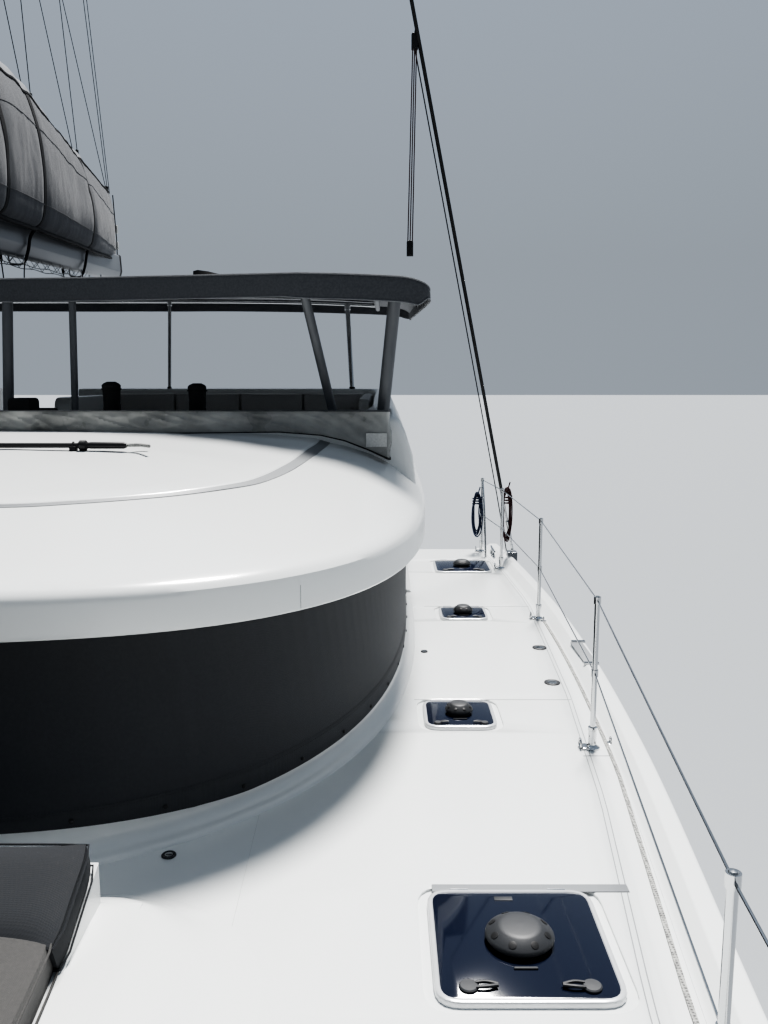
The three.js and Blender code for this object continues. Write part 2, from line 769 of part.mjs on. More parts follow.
// Windscreen band across the roof in front of the upper cockpit, its ends turned aft
const SCREEN = { y: 1850, x: 2735, top: 3200, thickness: 10, corner: 40, end: 1975 };
const screenPlan = [
  [SCREEN.x, SCREEN.end],
  [SCREEN.x, SCREEN.y + SCREEN.corner],
  [SCREEN.x - SCREEN.corner, SCREEN.y],
  [-SCREEN.x + SCREEN.corner, SCREEN.y],
  [-SCREEN.x, SCREEN.y + SCREEN.corner],
  [-SCREEN.x, SCREEN.end],
];
const screenInner = screenPlan
  .map(([x, y]) => [x * (1 - SCREEN.thickness / SCREEN.x), y + (y < SCREEN.end ? SCREEN.thickness : 0)])
  .reverse();
const screenParts = fit(plate([...screenPlan, ...screenInner], 2800, SCREEN.top), roofBody)
  .decompose()
  .sort((p, q) => q.volume() - p.volume());
add("windscreen", screenParts[0], FINISH.vinyl);

// Boat hook that lies on the roof in front of the windscreen
const HOOK = { y: 1225, z: 3042, radius: 15, feet: [-400, 1100] };
const hook = join(
  rod([-600, HOOK.y, HOOK.z], [1400, HOOK.y, HOOK.z], HOOK.radius),
  bent([[1380, HOOK.y, HOOK.z], [1480, HOOK.y - 20, HOOK.z], [1510, HOOK.y - 80, HOOK.z]], 11),
  HOOK.feet.map((x) => block([x - 25, x + 25], [HOOK.y - 18, HOOK.y + 18], [2960, HOOK.z])),
);
add("boat_hook", cut(hook, roofBody.translate([0, 0, GAP])), FINISH.black);

// Winches on the shelf, both under covers
for (const [label, x, height] of [
  ["inner", 1030, 240],
  ["outer", 1555, 230],
]) {
  const body = rod([x, 2140, SHELF + GAP], [x, 2140, SHELF + height], 72, 56, 14);
  add("winch_" + label, body, FINISH.black);
}

// Upper cockpit: helm console, wheel, helm seat, aft bench and its cushions
const HELM = { x: -1200, y: 2720, z: 3150, radius: 340 };
add(
  "helm_console",
  join(
    profile(
      [
        [2301, UPPER_FLOOR + GAP],
        [2620, UPPER_FLOOR + GAP],
        [2620, 3150],
        [2520, 3330],
        [2301, 3330],
      ],
      HELM.x - 380,
      HELM.x + 380,
    ),
    rod([HELM.x, 2600, HELM.z], [HELM.x, HELM.y - 30 - GAP, HELM.z], 45, 45, 12),
  ),
  FINISH.gelcoat,
);

const rim = new THREE.TorusGeometry(HELM.radius, 15, 8, 28).rotateX(Math.PI / 2);
const wheel = join(
  solid(rim.translate(HELM.x, HELM.y, HELM.z)),
  rod([HELM.x, HELM.y - 30, HELM.z], [HELM.x, HELM.y + 30, HELM.z], 50, 50, 12),
  [0, 72, 144, 216, 288].map((degrees) => {
    const t = THREE.MathUtils.degToRad(degrees);
    const reach = [HELM.x + HELM.radius * Math.cos(t), HELM.y, HELM.z + HELM.radius * Math.sin(t)];
    return rod([HELM.x, HELM.y, HELM.z], reach, 8, 8, 6);
  }),
);
add("steering_wheel", wheel, FINISH.stainless);

const seat = join(
  block([HELM.x - 400, HELM.x + 400], [3300, 3700], [UPPER_FLOOR + GAP, 2960]),
  block([HELM.x - 430, HELM.x + 430], [3270, 3720], [2950, 3040]),
  profile([[3640, 3030], [3720, 3030], [3790, 3330], [3730, 3340]], HELM.x - 430, HELM.x + 430),
);
add("helm_seat", seat, FINISH.cushion);

// Bench round the aft and port sides of the upper cockpit, and the arm that ends it beside the gate
const BENCH = { x: [20, 2590], y: [3100, 4998], deep: 640, top: 2880, arm: 130 };
const around = (x0, x1, deep, y0, y1, z) =>
  join(block([x0, x1], [y1 - deep, y1], z), block([x1 - deep, x1], [y0, y1], z));
const bench = around(BENCH.x[0], BENCH.x[1], BENCH.deep, ...BENCH.y, [UPPER_FLOOR + GAP, BENCH.top]);
const arm = block([BENCH.x[0], BENCH.x[0] + BENCH.arm], [3900, BENCH.y[1]], [UPPER_FLOOR + GAP, 3220]);
add("upper_bench", join(bench, arm), FINISH.gelcoat);
const PAD = { start: BENCH.x[0] + BENCH.arm + 5, back: 75, seat: [BENCH.top + GAP, 2985], top: 3235 };
add(
  "upper_bench_cushion",
  around(PAD.start, BENCH.x[1], BENCH.deep, BENCH.y[0], BENCH.y[1], PAD.seat),
  FINISH.cushion,
);
add(
  "upper_back_cushion",
  around(PAD.start, BENCH.x[1], PAD.back, BENCH.y[0], BENCH.y[1], [PAD.seat[1] + GAP, PAD.top]),
  FINISH.cushion,
);

// Stair from the aft beam to the gate in the coaming
const STAIR = { x: -550, half: 250, foot: 5755, head: 5555, z: [1250, 2900], treads: 5, tread: 60 };
const stair = join(
  [-1, 1].map((s) =>
    profile(
      [
        [STAIR.foot - 35, STAIR.z[0] + GAP],
        [STAIR.foot + 35, STAIR.z[0] + GAP],
        [STAIR.head + 35, STAIR.z[1]],
        [STAIR.head - 35, STAIR.z[1]],
      ],
      STAIR.x + s * STAIR.half - 15,
      STAIR.x + s * STAIR.half + 15,
    ),
  ),
  Array.from({ length: STAIR.treads }, (_, i) => {
    const share = (i + 1) / (STAIR.treads + 0.5);
    const y = STAIR.foot + (STAIR.head - STAIR.foot) * share;
    const z = STAIR.z[0] + (STAIR.z[1] - STAIR.z[0]) * share;
    const wide = [STAIR.x - STAIR.half, STAIR.x + STAIR.half];
    return block(wide, [y - STAIR.tread, y + STAIR.tread], [z - 15, z + 15]);
  }),
);
add("upper_stair", fit(stair, roofBody, bridge), FINISH.stainless);

// Bimini: station along the boat, height of its side edge, rise of the crown; its posts stand on the coaming
const BIMINI = [
  [1870, 3955, 40],
  [2300, 3965, 55],
  [3300, 4000, 75],
  [4400, 4040, 75],
  [5400, 4075, 65],
  [5800, 4080, 50],
];
const BIMINI_HALF = 2960;
const BIMINI_THICKNESS = 22;
const BIMINI_SHARES = [-1, -0.985, -0.94, -0.75, -0.4, 0, 0.4, 0.75, 0.94, 0.985, 1];

// The canopy's front edge is hollow: how far aft of its station a point of the canopy lies.
const HOLLOW = { depth: 450, half: 2200, end: 3300 };
function hollow(y, x) {
  const fade = Math.max(0, (HOLLOW.end - y) / (HOLLOW.end - BIMINI[0][0]));
  return HOLLOW.depth * fade * Math.max(0, 1 - (x / HOLLOW.half) ** 2);
}

const crownAt = (edge, crown, share) => edge + crown * (1 - share ** 4);

function biminiSection([y, edge, crown]) {
  const lip = (s) => (Math.abs(s) > 0.99 ? -150 : Math.abs(s) > 0.98 ? -20 : 0);
  const surface = BIMINI_SHARES.map((s) => {
    const x = s * BIMINI_HALF;
    return [x, y + hollow(y, x), crownAt(edge, crown, s) + lip(s)];
  });
  const under = surface.map(([x, along, z]) => [
    x * (1 - BIMINI_THICKNESS / BIMINI_HALF),
    along,
    Math.abs(x) > 2900 ? z - 2 : z - BIMINI_THICKNESS,
  ]);
  return [...surface, ...under.reverse()];
}

add("bimini_canopy", loft(BIMINI.map(biminiSection), "y"), FINISH.canopy);

// Tubes of the frame: two ends and radius, the first list for both sides, the second as it stands
const TUBES = [
  [[2690, 2100, 3140], [2770, 1948, 3915], 38],
  [[2394, 2250, 3110], [2223, 1940, 3925], 28],
  [[355, 2220, 3110], [345, 2350, 3950], 32],
  [[765, 2240, 3110], [765, 2303, 3950], 22],
  [[2640, 1930, 3918], [2640, 5600, 4043], 22],
];
const AFT_TUBES = [
  [[2400, 5080, 3250], [2350, 5300, 4070], 22],
  [[-2400, 5080, 3250], [-2350, 5300, 4070], 22],
  [[680, 5080, 3250], [660, 5300, 4110], 16],
  [[-1250, 5080, 3250], [-1250, 5300, 4100], 16],
];
const BOWS = { y: [1960, 3300, 4400, 5300], radius: 20, drop: 4 };

// Height of the canopy's underside at a share of its half width.
function underCanopy(y, share) {
  const after = BIMINI.findIndex((row) => row[0] >= y);
  const [[y0, edge0, crown0], [y1, edge1, crown1]] = [BIMINI[after - 1], BIMINI[after]];
  const t = (y - y0) / (y1 - y0);
  const edge = edge0 + (edge1 - edge0) * t;
  return crownAt(edge, crown0 + (crown1 - crown0) * t, share) - BIMINI_THICKNESS;
}

const tubes = (rows) => rows.map(([from, to, radius]) => rod(from, to, radius, radius, 6));
const frameParts = tubes(TUBES);
const bows = BOWS.y.flatMap((y) => {
  const points = BIMINI_SHARES.slice(2, -2).map((share) => [
    share * BIMINI_HALF,
    y + hollow(y, share * BIMINI_HALF),
    underCanopy(y, share) - BOWS.radius - BOWS.drop,
  ]);
  return points.slice(1).map((to, i) => rod(points[i], to, BOWS.radius, BOWS.radius, 6));
});
const frameBody = cut(
  join(frameParts, frameParts.map((tube) => onSide(-1, tube)), tubes(AFT_TUBES), bows),
  roofBody.translate([0, 0, GAP]),
);
add("bimini_frame", frameBody.decompose().sort((p, q) => q.volume() - p.volume())[0], FINISH.grey);

// Mast with two pairs of spreaders and the diamond stays
const MAST = { wide: 85, long: 130 };
const SPREADERS = [
  { z: 8600, reach: 980 },
  { z: 13600, reach: 820 },
];

function mast() {
  const section = Array.from({ length: 14 }, (_, i) => {
    const t = (2 * Math.PI * i) / 14;
    return [MAST.wide * Math.cos(t), MAST_Y + MAST.long * Math.sin(t)];
  });
  const spar = plate(section, MAST_FOOT, MAST_TOP);
  const step = rod([0, MAST_Y, 3040], [0, MAST_Y, 3100], 145, 140, 14);
  const arms = SPREADERS.map(({ z, reach }) =>
    [-1, 1].map((s) => rod([0, MAST_Y, z], [s * reach, MAST_Y - 180, z + 40], 30, 18, 8)),
  );
  const diamonds = [-1, 1].map((s) =>
    bent(
      [
        [s * 60, MAST_Y - 40, 4700],
        [s * SPREADERS[0].reach, MAST_Y - 180, SPREADERS[0].z + 40],
        [s * SPREADERS[1].reach, MAST_Y - 180, SPREADERS[1].z + 40],
        [s * 60, MAST_Y - 40, HOUNDS - 300],
      ],
      7,
      6,
    ),
  );
  const head = block([-60, 60], [MAST_Y - 260, MAST_Y + 260], [MAST_TOP - 60, MAST_TOP]);
  const gooseneck = [
    block([-45, 45], [MAST_Y + 60, GOOSENECK.y - 45], [GOOSENECK.z - 150, GOOSENECK.z + 150]),
    ...[-1, 1].map((s) => {
      const inner = GOOSENECK.z + s * (GOOSENECK.half + GAP);
      const lug = [inner, inner + s * 22].sort((p, q) => p - q);
      return block([-30, 30], [GOOSENECK.y - 50, GOOSENECK.y + 35], lug);
    }),
  ];
  const hounds = block([-110, 110], [MAST_Y - 190, MAST_Y + 60], [HOUNDS - 60, HOUNDS + 60]);
  return fit(join(spar, step, arms.flat(), diamonds, head, gooseneck, hounds), roofBody);
}

const mastBody = add("mast", mast(), FINISH.aluminium);

// Boom and the bag on it, both in a frame that starts at the gooseneck: distance aft, half width, bag's height
const BOOM = { wide: 95, tall: 270, start: 60, end: 5500, bottom: -136, rise: 0.0506, swing: 4 };
const BAG = [
  [140, 120, 950],
  [700, 235, 1100],
  [1340, 260, 1165],
  [2050, 255, 1154],
  [2720, 240, 1071],
  [3540, 215, 952],
  [4100, 185, 895],
  [4980, 130, 768],
  [5400, 60, 742],
];
const BAG_FOOT = 210;
const BAG_SHAPE = [
  [0.72, 0],
  [1, 0.18],
  [1, 0.42],
  [0.8, 0.7],
  [0.38, 0.94],
  [0.08, 1],
];

// Turns a piece made straight aft of the gooseneck to where the boom hangs.
const swung = (piece) => piece.rotate([0, 0, BOOM.swing]).translate([0, GOOSENECK.y, GOOSENECK.z]);
const boomBottom = (along) => BOOM.bottom + along * BOOM.rise;

function boom() {
  const spar = profile(
    [
      [BOOM.start, boomBottom(BOOM.start)],
      [BOOM.end, boomBottom(BOOM.end)],
      [BOOM.end, boomBottom(BOOM.end) + BOOM.tall],
      [BOOM.start, boomBottom(BOOM.start) + BOOM.tall],
    ],
    -BOOM.wide,
    BOOM.wide,
  );
  const eye = rod([0, 0, -GOOSENECK.half], [0, 0, GOOSENECK.half], 32, 32, 12);
  const fork = block([-20, 20], [0, BOOM.start + 20], [-80, 80]);
  return swung(join(spar, eye, fork));
}

const boomBody = boom();
add("boom", boomBody, FINISH.aluminium);

function sailBag() {
  const rings = BAG.map(([along, half, tall]) => {
    const at = (share) => boomBottom(along) + BAG_FOOT + tall * share;
    const port = BAG_SHAPE.map(([wide, share]) => [wide * half, along, at(share)]);
    const starboard = BAG_SHAPE.map(([wide, share]) => [-wide * half, along, at(share)]).reverse();
    return [...port, ...starboard];
  });
  return fit(swung(loft(rings, "y")), boomBody, mastBody);
}

add("sail_bag", sailBag(), FINISH.bag);

// Cap shrouds from the chainplates, and the furled headsail on the forestay
for (const { side, label } of SIDES) {
  const top = [side * 110, MAST_Y - 20, HOUNDS];
  const foot = [side * 3890, 4706, CHAINPLATE.top];
  const sleeve = foot.map((v, i) => v + (top[i] - v) * 0.0225);
  const shroud = join(rod(foot, top, 15, 15, 8), rod(foot, sleeve, 20, 20, 8));
  const above = cut(shroud, hulls.map((body) => body.translate([0, 0, GAP])));
  add("shroud_" + label, fit(above, mastBody), FINISH.black);
}

const STAY = { foot: [0, BEAM.y - 20, BEAM.z + 640], head: [0, MAST_Y - 190, HOUNDS] };
const onStay = (share) => STAY.foot.map((v, i) => v + (STAY.head[i] - v) * share);
const headsail = join(
  rod(STAY.foot, onStay(1), 12, 12, 8),
  rod(onStay(0.006), onStay(0.018), 110, 110, 14),
  rod(onStay(0.03), onStay(0.5), 100, 80, 12),
  rod(onStay(0.5), onStay(0.95), 80, 30, 12),
);
add("headsail", fit(headsail, beam, mastBody), FINISH.bag);

// Saloon door on the aft face of the bulkhead, furniture inside, cockpit furniture outside
add(
  "saloon_door",
  join(
    block([-740, 100], [BULKHEAD_Y + WALL_THICKNESS + 6, BULKHEAD_Y + WALL_THICKNESS + 36], [SOLE + GAP, 2470]),
    block([-700, -680], [BULKHEAD_Y + WALL_THICKNESS + 30, BULKHEAD_Y + WALL_THICKNESS + 70], [1650, 1850]),
  ),
  FINISH.acrylic,
);

add(
  "saloon_furniture",
  join(
    block([-1900, 1900], [200, 800], [SOLE + GAP, 1230]),
    block([1300, 1900], [200, 2600], [SOLE + GAP, 1230]),
    block([-2100, -1500], [200, 3000], [SOLE + GAP, 1700]),
  ),
  FINISH.wood,
);

add("cockpit_bench", block([300, 2190], [4500, 5298], [SOLE + GAP, 1150]), FINISH.gelcoat);
add("cockpit_cushion", plate(rounded(1240, 4880, 1860, 740, 60), 1150 + GAP, 1250), FINISH.cushion);
add(
  "cockpit_table",
  join(
    block([500, 1900], [3950, 4430], [1480, 1520]),
    rod([1200, 4190, SOLE + GAP], [1200, 4190, 1490], 60, 60, 12),
    rod([1200, 4190, SOLE + GAP], [1200, 4190, SOLE + 20], 180, 180, 12),
  ),
  FINISH.wood,
);

// Bathing ladder on the starboard platform, stowed upright between its two ears
const rungs = [LADDER.z, 740, 960, 1170].map((z, i) => {
  const reach = i ? LADDER.half : LADDER.ear - 12 - GAP;
  return rod([LADDER.x - reach, LADDER.y, z], [LADDER.x + reach, LADDER.y, z], 14);
});
const stiles = [-1, 1].map((s) => {
  const x = LADDER.x + s * LADDER.half;
  return rod([x, LADDER.y, LADDER.z], [x, LADDER.y, LADDER.top], 14);
});
add("swim_ladder", onSide(-1, join(stiles, rungs)), FINISH.stainless);

export default boat;
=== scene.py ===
"""A cruising sailing catamaran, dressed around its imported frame.

Every length is in metres, +Z is up, the bows look along -Y and port is +X. The origin is at the waterline.
"""

from __future__ import annotations

import json
import logging
import math
from collections.abc import Callable, Sequence
from dataclasses import dataclass, field
from enum import Enum

import bmesh
import bpy
from mathutils import Matrix, Vector, noise

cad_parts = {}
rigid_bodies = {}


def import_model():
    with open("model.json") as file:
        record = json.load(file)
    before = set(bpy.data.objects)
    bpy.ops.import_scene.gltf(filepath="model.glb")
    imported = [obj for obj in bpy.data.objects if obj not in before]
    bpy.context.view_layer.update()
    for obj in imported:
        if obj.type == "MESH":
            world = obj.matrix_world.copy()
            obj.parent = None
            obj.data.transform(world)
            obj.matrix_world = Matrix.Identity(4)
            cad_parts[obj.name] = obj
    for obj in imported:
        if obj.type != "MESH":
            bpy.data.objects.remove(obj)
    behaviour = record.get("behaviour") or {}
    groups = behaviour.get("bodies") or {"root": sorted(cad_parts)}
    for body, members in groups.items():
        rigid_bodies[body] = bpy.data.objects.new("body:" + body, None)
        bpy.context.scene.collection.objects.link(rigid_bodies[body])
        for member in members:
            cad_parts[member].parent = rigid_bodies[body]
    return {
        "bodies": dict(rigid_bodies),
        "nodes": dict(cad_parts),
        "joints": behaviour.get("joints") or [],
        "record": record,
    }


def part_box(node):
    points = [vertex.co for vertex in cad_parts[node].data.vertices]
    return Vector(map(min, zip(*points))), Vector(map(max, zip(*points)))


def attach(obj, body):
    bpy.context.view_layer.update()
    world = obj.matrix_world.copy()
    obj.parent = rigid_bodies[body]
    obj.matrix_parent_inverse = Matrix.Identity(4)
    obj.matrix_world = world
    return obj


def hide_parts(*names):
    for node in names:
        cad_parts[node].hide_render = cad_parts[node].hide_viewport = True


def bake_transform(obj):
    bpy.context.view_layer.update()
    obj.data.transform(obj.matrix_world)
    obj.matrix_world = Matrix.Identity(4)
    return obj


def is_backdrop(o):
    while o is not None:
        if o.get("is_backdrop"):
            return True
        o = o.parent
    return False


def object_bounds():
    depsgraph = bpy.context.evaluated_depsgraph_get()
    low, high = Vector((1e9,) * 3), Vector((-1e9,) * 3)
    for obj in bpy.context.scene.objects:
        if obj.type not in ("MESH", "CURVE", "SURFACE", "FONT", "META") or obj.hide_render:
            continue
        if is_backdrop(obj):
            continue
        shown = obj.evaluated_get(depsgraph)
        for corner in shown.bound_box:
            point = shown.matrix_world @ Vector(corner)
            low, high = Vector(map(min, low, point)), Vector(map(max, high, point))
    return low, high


LOG = logging.getLogger("catamaran")
Point = Sequence[float]

DECK = 1.70
SIDES = {"port": 1.0, "starboard": -1.0}
BOAT = "boat"
SMOOTH_ANGLE = math.radians(32)


# Shared shapes


def lerp(a: float, b: float, t: float) -> float:
    """Returns the value a share t of the way from a to b."""
    return a + (b - a) * t


def spline(rows: Sequence[Point], t: float) -> list[float]:
    """Evaluates a smooth curve through rows.

    Args:
        rows: Knots, each a list of numbers, evenly spaced in t.
        t: Place along the rows, from 0 to 1.

    Returns:
        The interpolated numbers.
    """
    last = len(rows) - 1
    place = min(max(t, 0.0), 1.0) * last
    i = min(int(place), last - 1)
    u = place - i
    before, start, end, after = rows[max(i - 1, 0)], rows[i], rows[i + 1], rows[min(i + 2, last)]
    return [
        0.5 * (2 * q + (r - p) * u + (2 * p - 5 * q + 4 * r - s) * u * u + (3 * q - p - 3 * r + s) * u**3)
        for p, q, r, s in zip(before, start, end, after)
    ]


def station(rows: Sequence[Point], place: float) -> list[float]:
    """Evaluates rows sorted by their first number at a value of that number.

    Args:
        rows: Knots whose first number grows.
        place: Value of the first number.

    Returns:
        The other numbers there, on a smooth monotone-sided curve.
    """
    place = min(max(place, rows[0][0]), rows[-1][0])
    i = max(k for k in range(len(rows) - 1) if rows[k][0] <= place)
    span = rows[i + 1][0] - rows[i][0]
    u = (place - rows[i][0]) / span

    def slope(k: int, column: int) -> float:
        """Returns the slope of a column at a knot."""
        low, high = rows[max(k - 1, 0)], rows[min(k + 1, len(rows) - 1)]
        return (high[column] - low[column]) / (high[0] - low[0])

    made = []
    for c in range(1, len(rows[0])):
        p, q = rows[i][c], rows[i + 1][c]
        m, n = slope(i, c) * span, slope(i + 1, c) * span
        made.append(
            (2 * u**3 - 3 * u**2 + 1) * p + (u**3 - 2 * u**2 + u) * m + (3 * u**2 - 2 * u**3) * q
            + (u**3 - u**2) * n
        )
    return made


def table(rows: Sequence[Point], place: float) -> float:
    """Returns the second number of rows sorted by their first, along straight lines between them.

    Args:
        rows: Pairs of numbers, sorted by their first.
        place: Value of the first number.

    Returns:
        The second number there.
    """
    for low, high in zip(rows, rows[1:]):
        if place <= high[0]:
            return lerp(low[1], high[1], min(max((place - low[0]) / (high[0] - low[0]), 0.0), 1.0))
    return rows[-1][1]


def circle(centre: Point, radius: float, steps: int, across: Point, up: Point) -> list[Vector]:
    """Returns points round a circle that two unit directions span.

    Args:
        centre: Middle of the circle.
        radius: Its radius.
        steps: Number of points.
        across: Unit direction of the first point.
        up: Unit direction a quarter turn on.

    Returns:
        The points, in turning order.
    """
    made = []
    for k in range(steps):
        turn = 2 * math.pi * k / steps
        made.append(Vector(centre) + (Vector(across) * math.cos(turn) + Vector(up) * math.sin(turn)) * radius)
    return made


def fillet(points: Sequence[Point], radii: Sequence[float], steps: int = 4,
           closed: bool = True) -> list[Vector]:
    """Rounds the corners of a polyline with the same number of points at each corner.

    Args:
        points: Corners, in two dimensions.
        radii: Radius at each corner; 0 keeps it sharp as a single point.
        steps: Points on each rounded corner, less one.
        closed: Whether the last corner joins the first.

    Returns:
        The rounded outline.
    """
    corners = [Vector(p) for p in points]
    made: list[Vector] = []
    for i, corner in enumerate(corners):
        ends = not closed and i in (0, len(corners) - 1)
        if radii[i] <= 0 or ends:
            made.append(corner)
            continue
        back = corners[i - 1] - corner
        ahead = corners[(i + 1) % len(corners)] - corner
        half = max(back.angle(ahead, math.pi) / 2, 0.05)
        reach = min(radii[i] / math.tan(half), 0.45 * back.length, 0.45 * ahead.length)
        start = corner + back.normalized() * reach
        end = corner + ahead.normalized() * reach
        for k in range(steps + 1):
            t = k / steps
            made.append(start * (1 - t) ** 2 + corner * 2 * t * (1 - t) + end * t * t)
    return made


def rounded_rectangle(width: float, length: float, radius: float, steps: int = 5) -> list[Vector]:
    """Returns the outline of a rectangle about the origin with round corners."""
    w, h = width / 2, length / 2
    return fillet([(w, -h), (w, h), (-w, h), (-w, -h)], [radius] * 4, steps)


def arc_points(points: Sequence[Point], per_span: int = 8) -> list[Vector]:
    """Returns a smooth path through a few chosen points."""
    count = (len(points) - 1) * per_span
    return [Vector(spline(points, k / count)) for k in range(count + 1)]


@dataclass
class Form:
    """Gathers shapes into one mesh object.

    Attributes:
        name: Name of the finished object.
        verts: Points so far.
        faces: Faces so far, by point.
        skins: Material of each face.
    """

    name: str
    verts: list[Vector] = field(default_factory=list)
    faces: list[tuple[int, ...]] = field(default_factory=list)
    skins: list[bpy.types.Material] = field(default_factory=list)

    def add(self, verts: Sequence[Point], faces: Sequence[Sequence[int]], skin: bpy.types.Material) -> Form:
        """Adds points and faces that count from the first of those points.

        Args:
            verts: Points.
            faces: Point numbers of each face.
            skin: Material of the faces.

        Returns:
            The form itself.
        """
        first = len(self.verts)
        self.verts.extend(Vector(v) for v in verts)
        self.faces.extend(tuple(first + i for i in face) for face in faces)
        self.skins.extend([skin] * len(faces))
        return self

    def loft(
        self,
        rings: Sequence[Sequence[Point]],
        skin: bpy.types.Material,
        caps: bool = True,
        closed: bool = True,
        looped: bool = False,
    ) -> Form:
        """Joins rings of equal length.

        Args:
            rings: Rings of points.
            skin: Material.
            caps: Whether the two end rings are filled.
            closed: Whether each ring closes on itself.
            looped: Whether the last ring joins the first.

        Returns:
            The form itself.
        """
        count = len(rings[0])
        verts = [p for ring in rings for p in ring]
        faces: list[tuple[int, ...]] = []
        around = count if closed else count - 1
        for r in range(len(rings) if looped else len(rings) - 1):
            here, there = r * count, ((r + 1) % len(rings)) * count
            for i in range(around):
                j = (i + 1) % count
                faces.append((here + i, here + j, there + j, there + i))
        if caps and closed and not looped:
            faces.append(tuple(reversed(range(count))))
            faces.append(tuple(range(len(verts) - count, len(verts))))
        return self.add(verts, faces, skin)

    def tube(
        self,
        path: Sequence[Point],
        radius: float | Sequence[float],
        skin: bpy.types.Material,
        sides: int = 10,
        closed: bool = False,
    ) -> Form:
        """Sweeps a round section along a path without twist.

        Args:
            path: Points along the middle.
            radius: One radius, or one for each point.
            skin: Material of the faces.
            sides: Number of sides.
            closed: Whether the path is a loop.

        Returns:
            The form itself.
        """
        points = [Vector(p) for p in path]
        count = len(points)
        radii = [radius] * count if isinstance(radius, (int, float)) else list(radius)
        rings = []
        normal: Vector | None = None
        for i, point in enumerate(points):
            ahead = points[(i + 1) % count] if closed or i + 1 < count else point
            behind = points[i - 1] if closed or i else point
            tangent = (ahead - behind).normalized()
            if normal is None:
                normal = tangent.orthogonal().normalized()
            normal = (normal - tangent * normal.dot(tangent)).normalized()
            side = tangent.cross(normal)
            ring = []
            for k in range(sides):
                turn = 2 * math.pi * k / sides
                ring.append(point + (normal * math.cos(turn) + side * math.sin(turn)) * radii[i])
            rings.append(ring)
        return self.loft(rings, skin, looped=closed)

    def lathe(
        self,
        profile: Sequence[Point],
        centre: Point,
        skin: bpy.types.Material,
        axis: Point = (0, 0, 1),
        steps: int = 24,
    ) -> Form:
        """Turns a profile of radius and height about an axis through centre.

        Args:
            profile: Pairs of radius and height.
            centre: Foot of the axis.
            skin: Material of the faces.
            axis: Direction of the axis.
            steps: Number of steps round it.

        Returns:
            The form itself.
        """
        turn = Vector((0, 0, 1)).rotation_difference(Vector(axis))
        rings = []
        for r, h in profile:
            ring = []
            for k in range(steps):
                angle = 2 * math.pi * k / steps
                place = Vector((max(r, 1e-4) * math.cos(angle), max(r, 1e-4) * math.sin(angle), h))
                ring.append(Vector(centre) + turn @ place)
            rings.append(ring)
        return self.loft(rings, skin)

    def slab(
        self,
        outline: Sequence[Point],
        low: float,
        high: float,
        skin: bpy.types.Material,
        edge: float = 0.0,
        place: Callable[[float, float, float], Point] | None = None,
    ) -> Form:
        """Makes a plate with an eased upper edge.

        Args:
            outline: Plan of the plate.
            low: Height of its foot.
            high: Height of its top.
            skin: Material.
            edge: How far the upper edge is eased.
            place: Turns plan coordinates and a height into a point; upright when left out.

        Returns:
            The form itself.
        """
        put = place or (lambda x, y, z: (x, y, z))
        middle = sum((Vector(p).to_2d() for p in outline), Vector((0, 0))) / len(outline)

        def ring(inset: float, z: float) -> list[Point]:
            """Returns the outline drawn in by an inset, at a height."""
            made = []
            for p in outline:
                out = Vector(p).to_2d() - middle
                kept = max(out.length - inset, 0.0) / max(out.length, 1e-6)
                made.append(put(middle.x + out.x * kept, middle.y + out.y * kept, z))
            return made

        rows = [(0.0, low), (0.0, high - edge)]
        if edge:
            rows += [(0.3 * edge, high - 0.3 * edge), (edge, high)]
        return self.loft([ring(*row) for row in rows], skin)

    def box(self, low: Point, high: Point, skin: bpy.types.Material, edge: float = 0.004) -> Form:
        """Makes a block between two corners, its upright and upper edges eased.

        Args:
            low: Lowest corner.
            high: Highest corner.
            skin: Material of the faces.
            edge: Radius of the eased edges.

        Returns:
            The form itself.
        """
        width, length = high[0] - low[0], high[1] - low[1]
        cx, cy = (high[0] + low[0]) / 2, (high[1] + low[1]) / 2
        outline = [(cx + p.x, cy + p.y) for p in rounded_rectangle(width, length, max(edge, 0.001), 2)]
        return self.slab(outline, low[2], high[2], skin, edge)

    def done(self, smooth: float = SMOOTH_ANGLE, recalc: bool = True) -> bpy.types.Object:
        """Returns the mesh object, linked to the scene.

        Args:
            smooth: Angle above which an edge stays sharp.
            recalc: Whether faces are turned outwards.

        Returns:
            The object.
        """
        mesh = bpy.data.meshes.new(self.name)
        skins = list(dict.fromkeys(self.skins))
        mesh.from_pydata([tuple(v) for v in self.verts], [], self.faces)
        for skin in skins:
            mesh.materials.append(skin)
        mesh.polygons.foreach_set("material_index", [skins.index(s) for s in self.skins])
        work = bmesh.new()
        work.from_mesh(mesh)
        bmesh.ops.remove_doubles(work, verts=work.verts, dist=2e-5)
        bmesh.ops.dissolve_degenerate(work, edges=work.edges, dist=1e-6)
        if recalc:
            bmesh.ops.recalc_face_normals(work, faces=work.faces)
        work.to_mesh(mesh)
        work.free()
        mesh.shade_smooth()
        mesh.set_sharp_from_angle(angle=smooth)
        made = bpy.data.objects.new(self.name, mesh)
        bpy.context.scene.collection.objects.link(made)
        return made


def ride(obj: bpy.types.Object, body: str, slot: str, *replaced: str) -> bpy.types.Object:
    """Sets an object on a body and hides the solids it stands for.

    Args:
        obj: The finished piece.
        body: Body that it moves with.
        slot: Name of its material slot; not used.
        replaced: Names of the solids that it stands for.

    Returns:
        The piece itself.
    """
    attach(obj, body)
    if replaced:
        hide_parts(*replaced)
    LOG.info("%s rides on %s", obj.name, body)
    return obj


